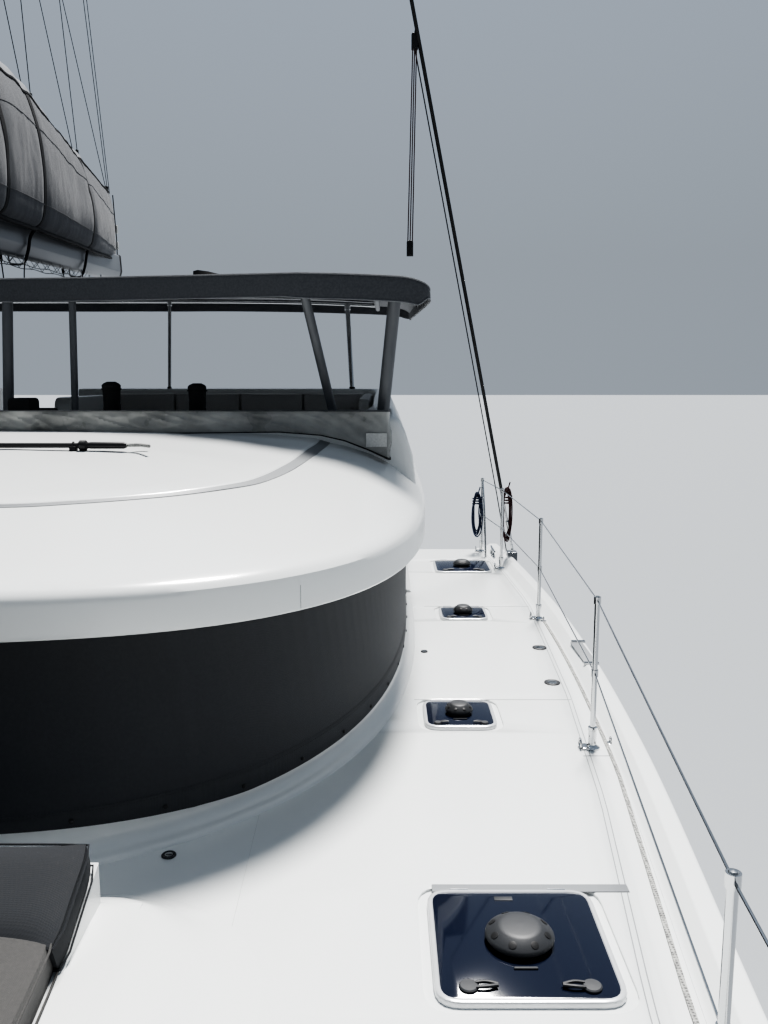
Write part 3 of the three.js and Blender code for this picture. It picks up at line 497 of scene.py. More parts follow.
def apply_modifiers(obj: bpy.types.Object) -> bpy.types.Object:
    """Replaces an object's mesh by its evaluated one and removes its modifiers.

    Args:
        obj: Object with modifiers.

    Returns:
        The object itself.
    """
    graph = bpy.context.evaluated_depsgraph_get()
    mesh = bpy.data.meshes.new_from_object(obj.evaluated_get(graph), depsgraph=graph)
    obj.modifiers.clear()
    obj.data = mesh
    return obj


def carve(obj: bpy.types.Object, tools: Sequence[bpy.types.Object], join: bool = False) -> bpy.types.Object:
    """Cuts tools out of an object, or joins them to it, and removes the tools.

    Args:
        obj: Object that is cut.
        tools: Objects that cut it; they are removed.
        join: Whether the tools are joined on instead of cut out.

    Returns:
        The object itself.
    """
    for tool in tools:
        cutter = obj.modifiers.new("carve", "BOOLEAN")
        cutter.operation = "UNION" if join else "DIFFERENCE"
        cutter.solver = "EXACT"
        cutter.object = tool
    apply_modifiers(obj)
    for tool in tools:
        bpy.data.objects.remove(tool)
    obj.data.shade_smooth()
    obj.data.set_sharp_from_angle(angle=SMOOTH_ANGLE)
    return obj


def mirrored(obj: bpy.types.Object, name: str) -> bpy.types.Object:
    """Returns a copy of an object on the other side of the centreline, its faces turned back outwards.

    Args:
        obj: Object of one side.
        name: Name of the copy.

    Returns:
        The copy.
    """
    mesh = obj.data.copy()
    mesh.transform(Matrix.Diagonal((-1, 1, 1, 1)))
    mesh.flip_normals()
    made = bpy.data.objects.new(name, mesh)
    bpy.context.scene.collection.objects.link(made)
    return made


# Shader node groups and finishes


class Group:
    """Builds one shader node group with named inputs and outputs."""

    def __init__(self, name: str, inputs: dict[str, float], outputs: dict[str, str]) -> None:
        """Makes the group's sockets; inputs are numbers, and outputs give their socket types.

        Args:
            name: Name of the group.
            inputs: Inputs and their default numbers.
            outputs: Outputs and their socket types.
        """
        self.tree = bpy.data.node_groups.new(name, "ShaderNodeTree")
        for label, value in inputs.items():
            socket = self.tree.interface.new_socket(label, in_out="INPUT", socket_type="NodeSocketFloat")
            socket.default_value = value
        for label, kind in outputs.items():
            self.tree.interface.new_socket(label, in_out="OUTPUT", socket_type=kind)
        self.source = self.tree.nodes.new("NodeGroupInput")
        self.sink = self.tree.nodes.new("NodeGroupOutput")

    def node(self, kind: str, links: dict[str | int, object] | None = None,
             **settings: object) -> bpy.types.Node:
        """Adds a node; links gives each input a socket or a value.

        Args:
            kind: Type of the node.
            links: Sockets or values by input.
            settings: Properties of the node.

        Returns:
            The node.
        """
        made = self.tree.nodes.new(kind)
        for key, value in settings.items():
            setattr(made, key, value)
        for key, value in (links or {}).items():
            if isinstance(value, bpy.types.NodeSocket):
                self.tree.links.new(value, made.inputs[key])
            else:
                made.inputs[key].default_value = value
        return made

    def math(self, operation: str, a: object, b: object = 0.0) -> bpy.types.NodeSocket:
        """Adds a Math node and returns its result."""
        return self.node("ShaderNodeMath", {0: a, 1: b}, operation=operation).outputs[0]

    def out(self, label: str, socket: bpy.types.NodeSocket) -> None:
        """Links a socket to a named output."""
        self.tree.links.new(socket, self.sink.inputs[label])


def weave_group() -> bpy.types.NodeTree:
    """Returns a group that puts out the height and the thread shade of a plain woven cloth.

    Returns:
        The shader node group.
    """
    g = Group("weave", {"Thread": 0.0012, "Slub": 0.3},
              {"Height": "NodeSocketFloat", "Shade": "NodeSocketFloat"})
    place = g.node("ShaderNodeTexCoord").outputs["Object"]
    parts = g.node("ShaderNodeSeparateXYZ", {0: place})
    step = g.math("DIVIDE", 3.14159, g.source.outputs["Thread"])
    waves = [g.math("SINE", g.math("MULTIPLY", parts.outputs[axis], step)) for axis in range(3)]
    crossed = g.math("ADD", g.math("MULTIPLY", waves[0], waves[1]), g.math("MULTIPLY", waves[2], waves[0]))
    crossed = g.math("ADD", crossed, g.math("MULTIPLY", waves[1], waves[2]))
    slub = g.node("ShaderNodeTexNoise", {"Vector": place, "Scale": 90.0, "Detail": 3.0}).outputs["Fac"]
    rough = g.math("MULTIPLY", slub, g.source.outputs["Slub"])
    g.out("Height", g.math("ADD", g.math("MULTIPLY", crossed, 0.3), rough))
    g.out("Shade", g.math("ADD", g.math("MULTIPLY", crossed, 0.12), slub))
    return g.tree


def grain_group() -> bpy.types.NodeTree:
    """Returns a group that puts out a fine moulded grain and slow stains.

    Returns:
        The shader node group.
    """
    g = Group(
        "grain",
        {"Scale": 60.0, "Stain": 0.8},
        {"Height": "NodeSocketFloat", "Stain": "NodeSocketFloat"},
    )
    place = g.node("ShaderNodeTexCoord").outputs["Object"]
    fine = g.node("ShaderNodeTexNoise", {"Vector": place, "Scale": g.source.outputs["Scale"], "Detail": 4.0})
    slow = g.node("ShaderNodeTexNoise", {"Vector": place, "Scale": g.source.outputs["Stain"], "Detail": 6.0})
    g.out("Height", fine.outputs["Fac"])
    g.out("Stain", slow.outputs["Fac"])
    return g.tree


def streak_group() -> bpy.types.NodeTree:
    """Returns a group that puts out stretched streaks, for rain marks, brushed metal and folds.

    Returns:
        The shader node group.
    """
    g = Group(
        "streaks",
        {"Scale": 3.0, "Along X": 1.0, "Along Y": 1.0, "Along Z": 0.1},
        {"Streak": "NodeSocketFloat"},
    )
    place = g.node("ShaderNodeTexCoord").outputs["Object"]
    stretch = g.node(
        "ShaderNodeCombineXYZ",
        {0: g.source.outputs["Along X"], 1: g.source.outputs["Along Y"], 2: g.source.outputs["Along Z"]},
    )
    scaled = g.node("ShaderNodeVectorMath", {0: place, 1: stretch.outputs[0]}, operation="MULTIPLY")
    marks = g.node(
        "ShaderNodeTexNoise",
        {"Vector": scaled.outputs[0], "Scale": g.source.outputs["Scale"], "Detail": 5.0},
    )
    g.out("Streak", marks.outputs["Fac"])
    return g.tree


class Pattern(Enum):
    """What breaks up a finish's surface."""

    WEAVE = "weave"
    GRAIN = "grain"
    STREAKS = "streaks"


@dataclass(frozen=True)
class Finish:
    """One finish of the boat.

    Attributes:
        name: Name of the material.
        colour: Main colour, linear.
        second: Colour that the pattern turns to.
        roughness: Lowest and highest roughness.
        pattern: What breaks the surface up.
        scale: Size input of the pattern.
        bump: Height of the pattern, in metres.
        metallic: How metallic it is.
        coat: Weight of a clear coat.
        sheen: Weight of the cloth sheen.
        transmission: How far light passes through.
        alpha: How far it hides what is behind.
        stain: Scale of the slow stains.
    """

    name: str
    colour: tuple[float, float, float]
    second: tuple[float, float, float]
    roughness: tuple[float, float]
    pattern: Pattern = Pattern.GRAIN
    scale: float = 60.0
    bump: float = 0.0003
    metallic: float = 0.0
    coat: float = 0.0
    sheen: float = 0.0
    transmission: float = 0.0
    alpha: float = 1.0
    stain: float = 0.8

    def build(self, groups: dict[Pattern, bpy.types.NodeTree]) -> bpy.types.Material:
        """Returns the material, made from the shared groups.

        Args:
            groups: Shared node groups by pattern.

        Returns:
            The material.
        """
        skin = bpy.data.materials.new(self.name)
        skin.use_nodes = True
        nodes, links = skin.node_tree.nodes, skin.node_tree.links
        shader = nodes["Principled BSDF"]
        shader.inputs["Metallic"].default_value = self.metallic
        shader.inputs["Coat Weight"].default_value = self.coat
        shader.inputs["Coat Roughness"].default_value = 0.06
        shader.inputs["Sheen Weight"].default_value = self.sheen
        shader.inputs["Transmission Weight"].default_value = self.transmission
        shader.inputs["Alpha"].default_value = self.alpha
        source = nodes.new("ShaderNodeGroup")
        source.node_tree = groups[self.pattern]
        names = {Pattern.WEAVE: ("Thread", "Height", "Shade"), Pattern.GRAIN: ("Scale", "Height", "Stain")}
        size, height, shade = names.get(self.pattern, ("Scale", "Streak", "Streak"))
        source.inputs[size].default_value = self.scale
        if self.pattern is Pattern.GRAIN:
            source.inputs["Stain"].default_value = self.stain
        mix = nodes.new("ShaderNodeMix")
        mix.data_type = "RGBA"
        mix.inputs["A"].default_value = (*self.colour, 1)
        mix.inputs["B"].default_value = (*self.second, 1)
        ramp = nodes.new("ShaderNodeMapRange")
        ramp.inputs["From Min"].default_value = 0.3
        ramp.inputs["From Max"].default_value = 0.75
        links.new(source.outputs[shade], ramp.inputs["Value"])
        links.new(ramp.outputs["Result"], mix.inputs["Factor"])
        links.new(mix.outputs["Result"], shader.inputs["Base Color"])
        rough = nodes.new("ShaderNodeMapRange")
        rough.inputs["To Min"].default_value = self.roughness[0]
        rough.inputs["To Max"].default_value = self.roughness[1]
        links.new(source.outputs[shade], rough.inputs["Value"])
        links.new(rough.outputs["Result"], shader.inputs["Roughness"])
        bump = nodes.new("ShaderNodeBump")
        bump.inputs["Distance"].default_value = self.bump
        bump.inputs["Strength"].default_value = 0.6
        links.new(source.outputs[height], bump.inputs["Height"])
        links.new(bump.outputs["Normal"], shader.inputs["Normal"])
        return skin


FINISHES = (
    Finish("gelcoat", (0.80, 0.815, 0.81), (0.76, 0.775, 0.765), (0.16, 0.3), scale=8.0, bump=0.0004,
           coat=0.25),
    Finish("deck", (0.79, 0.79, 0.765), (0.73, 0.73, 0.70), (0.42, 0.6), scale=420.0, bump=0.0009, stain=1.6),
    # Grey for joints and seams; where it marks the deck's grooves the same grey is painted shade.
    Finish("seam", (0.30, 0.31, 0.32), (0.22, 0.23, 0.24), (0.5, 0.7), scale=120.0),
    Finish("antifouling", (0.022, 0.028, 0.045), (0.035, 0.04, 0.055), (0.6, 0.8), scale=50.0, bump=0.0012),
    Finish("acrylic", (0.006, 0.009, 0.022), (0.012, 0.016, 0.034), (0.05, 0.16), scale=5.0, bump=0.0002,
           coat=0.3),
    Finish("vent", (0.032, 0.034, 0.038), (0.046, 0.048, 0.052), (0.42, 0.6), scale=260.0, bump=0.0004),
    # Grey for trim lines and the mould seam, and painted shade on the roof panel's step face.
    Finish("grey_trim_and_step_shade", (0.24, 0.25, 0.26), (0.20, 0.21, 0.22), (0.4, 0.6), scale=90.0),
    Finish("rim", (0.72, 0.73, 0.74), (0.62, 0.63, 0.64), (0.18, 0.3), Pattern.STREAKS, 18.0, 0.0001,
           metallic=0.35, coat=0.3),
    Finish("cover", (0.036, 0.038, 0.043), (0.046, 0.048, 0.054), (0.75, 0.9), Pattern.WEAVE, 0.0016, 0.0006,
           sheen=0.15),
    Finish("cushion", (0.042, 0.041, 0.040), (0.064, 0.062, 0.060), (0.65, 0.85), Pattern.WEAVE, 0.0018,
           0.0007, sheen=0.06),
    # Backrest cloth, much darker than the seat cloth: painted shade of the deckhouse's shadow on the lounge
    # backrests.
    Finish("rest", (0.014, 0.016, 0.020), (0.022, 0.025, 0.030), (0.7, 0.9), Pattern.WEAVE, 0.0018, 0.0007),
    Finish("pad", (0.70, 0.70, 0.69), (0.62, 0.62, 0.61), (0.6, 0.8), Pattern.WEAVE, 0.0018, 0.0007),
    Finish("canopy", (0.050, 0.054, 0.063), (0.080, 0.084, 0.094), (0.75, 0.9), Pattern.WEAVE, 0.0016, 0.0006,
           sheen=0.2),
    Finish("bag_flap", (0.15, 0.155, 0.165), (0.20, 0.205, 0.215), (0.6, 0.8), Pattern.WEAVE, 0.002, 0.0006,
           sheen=0.2),
    Finish("boom_paint", (0.20, 0.21, 0.225), (0.25, 0.26, 0.275), (0.3, 0.42), scale=12.0, bump=0.0002,
           metallic=0.3),
    Finish("bag", (0.048, 0.052, 0.060), (0.076, 0.080, 0.090), (0.7, 0.9), Pattern.WEAVE, 0.002, 0.0008,
           sheen=0.18),
    Finish("piping", (0.62, 0.62, 0.60), (0.5, 0.5, 0.48), (0.5, 0.7), Pattern.WEAVE, 0.0012, 0.0004),
    Finish("strap", (0.008, 0.008, 0.009), (0.02, 0.02, 0.022), (0.6, 0.8), Pattern.WEAVE, 0.0015, 0.0005),
    Finish("vinyl", (0.15, 0.155, 0.15), (0.48, 0.485, 0.47), (0.18, 0.4), scale=11.0, bump=0.006, alpha=0.95,
           stain=3.2),
    Finish("sailcloth", (0.66, 0.66, 0.63), (0.58, 0.58, 0.55), (0.5, 0.7), Pattern.WEAVE, 0.0014, 0.0004),
    Finish("stainless", (0.62, 0.63, 0.64), (0.55, 0.56, 0.57), (0.10, 0.24), Pattern.STREAKS, 30.0, 0.0001,
           metallic=1.0),
    Finish("aluminium", (0.56, 0.57, 0.58), (0.48, 0.49, 0.5), (0.28, 0.42), Pattern.STREAKS, 18.0, 0.0002,
           metallic=0.95),
    Finish("grey_tube", (0.105, 0.112, 0.122), (0.15, 0.156, 0.166), (0.35, 0.5), Pattern.STREAKS, 14.0,
           0.0002, metallic=0.2),
    Finish("black", (0.010, 0.010, 0.011), (0.024, 0.024, 0.025), (0.4, 0.65), scale=200.0, bump=0.0004),
    Finish("bronze", (0.36, 0.24, 0.10), (0.20, 0.16, 0.09), (0.25, 0.5), scale=40.0, bump=0.0005,
           metallic=1.0),
    Finish("net", (0.66, 0.66, 0.63), (0.52, 0.52, 0.5), (0.7, 0.9), Pattern.WEAVE, 0.0014, 0.0006),
    Finish("teak", (0.30, 0.165, 0.07), (0.18, 0.09, 0.035), (0.4, 0.6), Pattern.STREAKS, 9.0, 0.0006),
    Finish("rope_dark", (0.03, 0.012, 0.014), (0.07, 0.02, 0.022), (0.7, 0.9), Pattern.WEAVE, 0.004, 0.0015),
    Finish("rope_blue", (0.012, 0.022, 0.06), (0.03, 0.045, 0.1), (0.7, 0.9), Pattern.WEAVE, 0.004, 0.0015),
    Finish("rope_light", (0.42, 0.42, 0.40), (0.10, 0.10, 0.10), (0.7, 0.9), Pattern.WEAVE, 0.006, 0.0015),
)


class Palette:
    """Every material of the boat, by name."""

    def __init__(self) -> None:
        """Builds the shared groups, the finishes and the hull's two-coloured skin."""
        groups = {
            Pattern.WEAVE: weave_group(),
            Pattern.GRAIN: grain_group(),
            Pattern.STREAKS: streak_group(),
        }
        self.skins = {finish.name: finish.build(groups) for finish in FINISHES}
        self.skins["hull"] = self.hull_skin(groups)

    def __getitem__(self, name: str) -> bpy.types.Material:
        """Returns a material by name."""
        return self.skins[name]

    def hull_skin(self, groups: dict[Pattern, bpy.types.NodeTree]) -> bpy.types.Material:
        """Returns white gelcoat over dark antifouling paint, parted at the boot line.

        Args:
            groups: Shared node groups by pattern.

        Returns:
            The material.
        """
        skin = Finish(
            "hull", (0.80, 0.815, 0.81), (0.75, 0.765, 0.755), (0.14, 0.3), scale=5.0, bump=0.0004, coat=0.3
        ).build(groups)
        nodes, links = skin.node_tree.nodes, skin.node_tree.links
        shader = nodes["Principled BSDF"]
        white = shader.inputs["Base Color"].links[0].from_socket
        place = nodes.new("ShaderNodeTexCoord")
        parts = nodes.new("ShaderNodeSeparateXYZ")
        links.new(place.outputs["Object"], parts.inputs[0])
        band = nodes.new("ShaderNodeMapRange")
        band.inputs["From Min"].default_value = 0.102
        band.inputs["From Max"].default_value = 0.098
        links.new(parts.outputs["Z"], band.inputs["Value"])
        mix = nodes.new("ShaderNodeMix")
        mix.data_type = "RGBA"
        links.new(band.outputs["Result"], mix.inputs["Factor"])
        links.new(white, mix.inputs["A"])
        mix.inputs["B"].default_value = (0.022, 0.028, 0.045, 1)
        links.new(mix.outputs["Result"], shader.inputs["Base Color"])
        return skin


# Hulls and side decks


@dataclass
class Hulls:
    """Both hulls with their toe rails, treads and mini keels.

    Attributes:
        stations: y, outer deck edge, inner side, half breadth at the waterline, bottom.
        centre: Distance of a hull's centreplane from the boat's.
        rail_foot: Where the toe rail's slope starts, inboard of the deck edge.
        rail_top: Where that slope ends.
        rail_height: Height of the toe rail.
        tunnel: Height of the bridgedeck's underside.
    """

    skins: Palette
    centre: float = 3.05
    rail_foot: float = 0.14
    rail_top: float = 0.075
    rail_height: float = 0.05
    tunnel: float = 0.68
    stations: tuple[Point, ...] = (
        (-6.95, 3.085, 3.015, 0.015, -0.25),
        (-6.70, 3.140, 2.950, 0.060, -0.40),
        (-6.00, 3.230, 2.830, 0.190, -0.48),
        (-5.00, 3.345, 2.640, 0.360, -0.53),
        (-3.50, 3.500, 2.400, 0.530, -0.58),
        (-1.50, 3.675, 2.240, 0.640, -0.61),
        (0.50, 3.882, 2.200, 0.680, -0.61),
        (2.50, 3.968, 2.200, 0.680, -0.58),
        (4.50, 3.895, 2.200, 0.650, -0.48),
        (5.60, 3.790, 2.220, 0.610, -0.34),
        (6.95, 3.660, 2.260, 0.560, -0.06),
    )
    groove: tuple[Point, ...] = (
        (-4.60, 3.085),
        (-3.50, 3.200),
        (-1.13, 3.430),
        (0.03, 3.585),
        (0.87, 3.660),
        (1.20, 3.690),
        (2.20, 3.740),
        (3.04, 3.777),
        (3.35, 3.776),
        (4.25, 3.740),
        (5.20, 3.650),
    )
    jackline: tuple[Point, ...] = ((-4.60, 3.19), (-3.50, 3.31), (-1.13, 3.536), (0.03, 3.683), (0.59, 3.750),
                                   (2.66, 3.850))
    treads: tuple[float, ...] = (1.40, 1.10, 0.80, 0.48)
    tread_start: float = 5.25
    tread_going: float = 0.35

    def edge(self, y: float) -> float:
        """Returns the deck's outer edge at a place along the boat."""
        return station(self.stations, y)[0]

    def section(self, y: float) -> list[tuple[float, float, float]]:
        """Returns the port hull's ring at a place along the boat.

        Args:
            y: Place along the boat.

        Returns:
            The ring's points.
        """
        out, _, wl, keel = station(self.stations, y)
        inn = table([(row[0], row[2]) for row in self.stations], y)
        width = out - inn
        foot = out - min(self.rail_foot, 0.4 * width)
        top = out - min(self.rail_top, 0.22 * width)
        chine = self.centre + 1.06 * wl
        upper = fillet(
            [
                (inn, DECK),
                (foot, DECK),
                (top, DECK + self.rail_height),
                (out, DECK + self.rail_height),
                (out - 0.003, DECK - 0.12),
                (0.15 * chine + 0.85 * out, 0.9),
                (chine, 0.25),
                (self.centre + wl, 0.0),
            ],
            [0, 0.05, 0.02, 0.016, 0, 1.4, 0.3, 0],
            closed=False,
        )
        bottom = [
            Vector((self.centre + s * wl, keel * (1 - abs(s) ** 2.4)))
            for s in [math.cos(math.pi * k / 18) for k in range(1, 18)]
        ]
        inner = fillet(
            [
                (self.centre - wl, 0.0),
                (self.centre - 1.06 * wl, 0.25),
                (inn, self.tunnel + 0.07),
                (inn, DECK - 0.4),
            ],
            [0, 0.2, 0.12, 0],
            closed=False,
        )
        return [(p.x, y, p.y) for p in [*upper, *bottom, *inner]]

    def keel_rings(self) -> list[list[Point]]:
        """Returns the mini keel's rings from the hull's bottom to its foot.

        Returns:
            The rings, from the top down.
        """
        rows = ((-0.45, -0.90, 1.70, 0.125), (-0.9, -0.78, 1.58, 0.11), (-1.2, -0.68, 1.48, 0.09),
                (-1.25, -0.62, 1.40, 0.06))
        rings = []
        for z, front, aft, half in rows:
            ring = []
            for k in range(28):
                turn = 2 * math.pi * k / 28
                along = 0.5 - 0.5 * math.cos(turn)
                wide = half * math.sin(turn) * (1 - along) ** 0.35 * 1.25
                ring.append((self.centre + wide, lerp(front, aft, along), z))
            rings.append(ring)
        return rings

    def tread_tools(self) -> list[bpy.types.Object]:
        """Returns what is cut away at the stern: the falling outer wall and each tread.

        Returns:
            The cutting objects.
        """
        wall = [(5.25, 1.751), (5.9, 1.19), (6.5, 0.64), (7.1, 0.56), (7.1, 2.2), (5.25, 2.2)]
        profile = fillet(wall, [0.3, 0, 0.3, 0, 0, 0], 5)
        tools = []
        slope = Form("tool")
        slope.loft([[(x, p.x, p.y) for p in profile] for x in (2.0, 4.0)], self.skins["gelcoat"])
        tools.append(slope.done())
        for i, z in enumerate(self.treads):
            start = self.tread_start + i * self.tread_going
            corner = fillet([(start, 2.3), (start, z), (7.2, z), (7.2, 2.3)], [0, 0.03, 0, 0], 4)
            tread = Form("tool")
            tread.loft([[(x, p.x, p.y) for p in corner] for x in (2.1, 3.62)], self.skins["gelcoat"])
            tools.append(tread.done())
        return tools

    def build(self, pockets: Sequence[Callable[[], bpy.types.Object]]) -> None:
        """Makes the port hull, cuts its treads and hatch pockets, and mirrors it.

        Args:
            pockets: Makers of what is cut out of the deck for each hatch.
        """
        hull = Form("hull_shell_port")
        places = [-6.95, -6.93, -6.88, -6.8]
        places += [lerp(-6.7, 6.95, k / 72) for k in range(73)]
        hull.loft([self.section(y) for y in places], self.skins["hull"])
        shell = hull.done()
        carve(shell, [*self.tread_tools(), *(make() for make in pockets)])
        extra = Form("keel_parts")
        extra.loft(self.keel_rings(), self.skins["antifouling"])
        extra.lathe([(0.0, -0.41), (0.07, -0.41), (0.11, 0.0), (0.0, 0.0)], (self.centre, 5.95, 0),
                    self.skins["hull"])
        extra.box((3.835, 4.65, 1.45), (3.93, 4.762, 1.79), self.skins["stainless"], 0.012)
        for offset in (-0.2, 0.2):
            low = (self.centre - 0.02 + offset - 0.012, 6.90, 0.44)
            extra.box(low, (low[0] + 0.024, 7.012, 0.53), self.skins["stainless"], 0.006)
        parts = extra.done()
        for side in SIDES:
            port = side == "port"
            ride(shell if port else mirrored(shell, "hull_shell_starboard"), BOAT, "gelcoat", "hull_" + side)
            piece = parts if port else mirrored(parts, "keel_parts_starboard")
            ride(piece, BOAT, "antifouling")
        self.deck_lines()

    def strip(
        self, form: Form, rows: Sequence[Point], span: Sequence[float], width: float, skin: str,
        rise: float = 0.0009
    ) -> None:
        """Adds a strip that runs along the deck.

        Args:
            form: Form that takes the strip.
            rows: Its distance from the centreline, by place along the boat.
            span: Where it starts and ends.
            width: Its width.
            skin: Material name.
            rise: Height of its top over the deck.
        """
        made = []
        for k in range(61):
            y = lerp(span[0], span[1], k / 60)
            x = min(table(rows, y), self.edge(y) - self.rail_foot - 0.004 - width / 2)
            low, high = DECK - 0.001, DECK + rise
            made.append([(x - width / 2, y, low), (x + width / 2, y, low), (x + width / 2, y, high),
                         (x - width / 2, y, high)])
        form.loft(made, self.skins[skin])

    def seams(self, lines: Form) -> None:
        """Adds the grooves in grey painted shade, the panel seams, jackline and joint of the port side deck.

        Args:
            lines: Form that takes the faces.
        """
        # The grooves are raised grey strips: painted shade standing in for the dark inside of cut channels.
        for shift in (-0.010, 0.010):
            self.strip(lines, [(y, x + shift) for y, x in self.groove], (-4.6, 5.15), 0.0035, "seam")
        self.strip(lines, self.jackline, (-4.6, 2.66), 0.016, "rope_light", 0.006)
        self.strip(lines, [(-4.6, 9.0), (5.24, 9.0)], (-4.6, 5.2), 0.0045, "seam")
        for y, start, end in ((1.15, 2.86, 3.69), (3.06, 3.00, 3.777), (0.45, 3.60, 3.73)):
            lines.box((start, y - 0.0025, DECK - 0.001), (end, y + 0.0025, DECK + 0.0009), self.skins["seam"],
                      0.0005)
        lines.box((2.86, -0.6165, DECK), (3.518, -0.5735, DECK + 0.003), self.skins["grey_trim_and_step_shade"], 0.002)

    def fittings(self, form: Form) -> None:
        """Adds the fillers, pad eyes, cleats and the fairlead in the port toe rail.

        Args:
            form: Form that takes the faces.
        """
        steel = self.skins["stainless"]
        for x, y, radius in ((3.64, 1.41, 0.045), (3.68, 2.05, 0.045), (2.95, 1.97, 0.022),
                             (1.93, -0.39, 0.026)):
            profile = [(0, 0.001), (radius, 0.001), (radius, 0.005), (0.88 * radius, 0.008),
                       (0.66 * radius, 0.004)]
            form.lathe([(r, h + DECK) for r, h in [*profile, (0, 0.004)]], (x, y, 0), self.skins["vent"],
                       steps=32)
            form.lathe([(0, 0.003), (0.6 * radius, 0.003), (0.55 * radius, 0.006), (0, 0.0065)], (x, y, DECK),
                       steel, steps=24)
            form.box((x - 0.4 * radius, y - 0.002, DECK), (x + 0.4 * radius, y + 0.002, DECK + 0.0075),
                     self.skins["vent"], 0.001)
        for x, y in ((3.757, 0.585), (3.815, 2.66)):
            form.lathe([(0, 0), (0.022, 0), (0.022, 0.004), (0.012, 0.008), (0, 0.008)], (x, y, DECK), steel,
                       steps=24)
            form.tube(circle((x, y, DECK + 0.018), 0.014, 20, (0, 1, 0), (0, 0, 1)), 0.0035, steel, 8,
                      closed=True)
        for x, y in ((3.74, 4.96), (3.04, -5.60)):
            for shift in (-0.05, 0.05):
                form.lathe([(0, 0), (0.026, 0), (0.022, 0.01), (0.013, 0.03), (0.012, 0.05), (0, 0.05)],
                           (x, y + shift, DECK), steel, steps=20)
            horn = [(x, y - 0.15, DECK + 0.062), (x, y - 0.09, DECK + 0.052), (x, y, DECK + 0.05),
                    (x, y + 0.09, DECK + 0.052)]
            path = arc_points([*horn, (x, y + 0.15, DECK + 0.062)], 5)
            form.tube(path, [0.007 + 0.006 * math.sin(math.pi * k / (len(path) - 1))
                             for k in range(len(path))], steel, 12)
        edge = [self.edge(y) for y in (1.58, 2.02)]
        top = DECK + self.rail_height
        form.box((edge[0] - 0.092, 1.58, top - 0.002), (edge[0] - 0.004, 1.60, top + 0.012), steel, 0.004)
        form.box((edge[1] - 0.092, 2.00, top - 0.002), (edge[1] - 0.004, 2.02, top + 0.012), steel, 0.004)
        form.box((edge[0] - 0.084, 1.60, top - 0.002), (edge[0] - 0.010, 2.00, top + 0.003),
                 self.skins["grey_trim_and_step_shade"], 0.002)

    def deck_lines(self) -> None:
        """Dresses both side decks."""
        lines = Form("deck_lines_port")
        self.seams(lines)
        self.fittings(lines)
        made = lines.done()
        ride(made, BOAT, "gelcoat")
        ride(mirrored(made, "deck_lines_starboard"), BOAT, "gelcoat")


@dataclass(frozen=True)
class HatchSize:
    """Place and size of one side deck hatch, port side."""

    label: str
    x: float
    y: float
    size: float
    dome: float


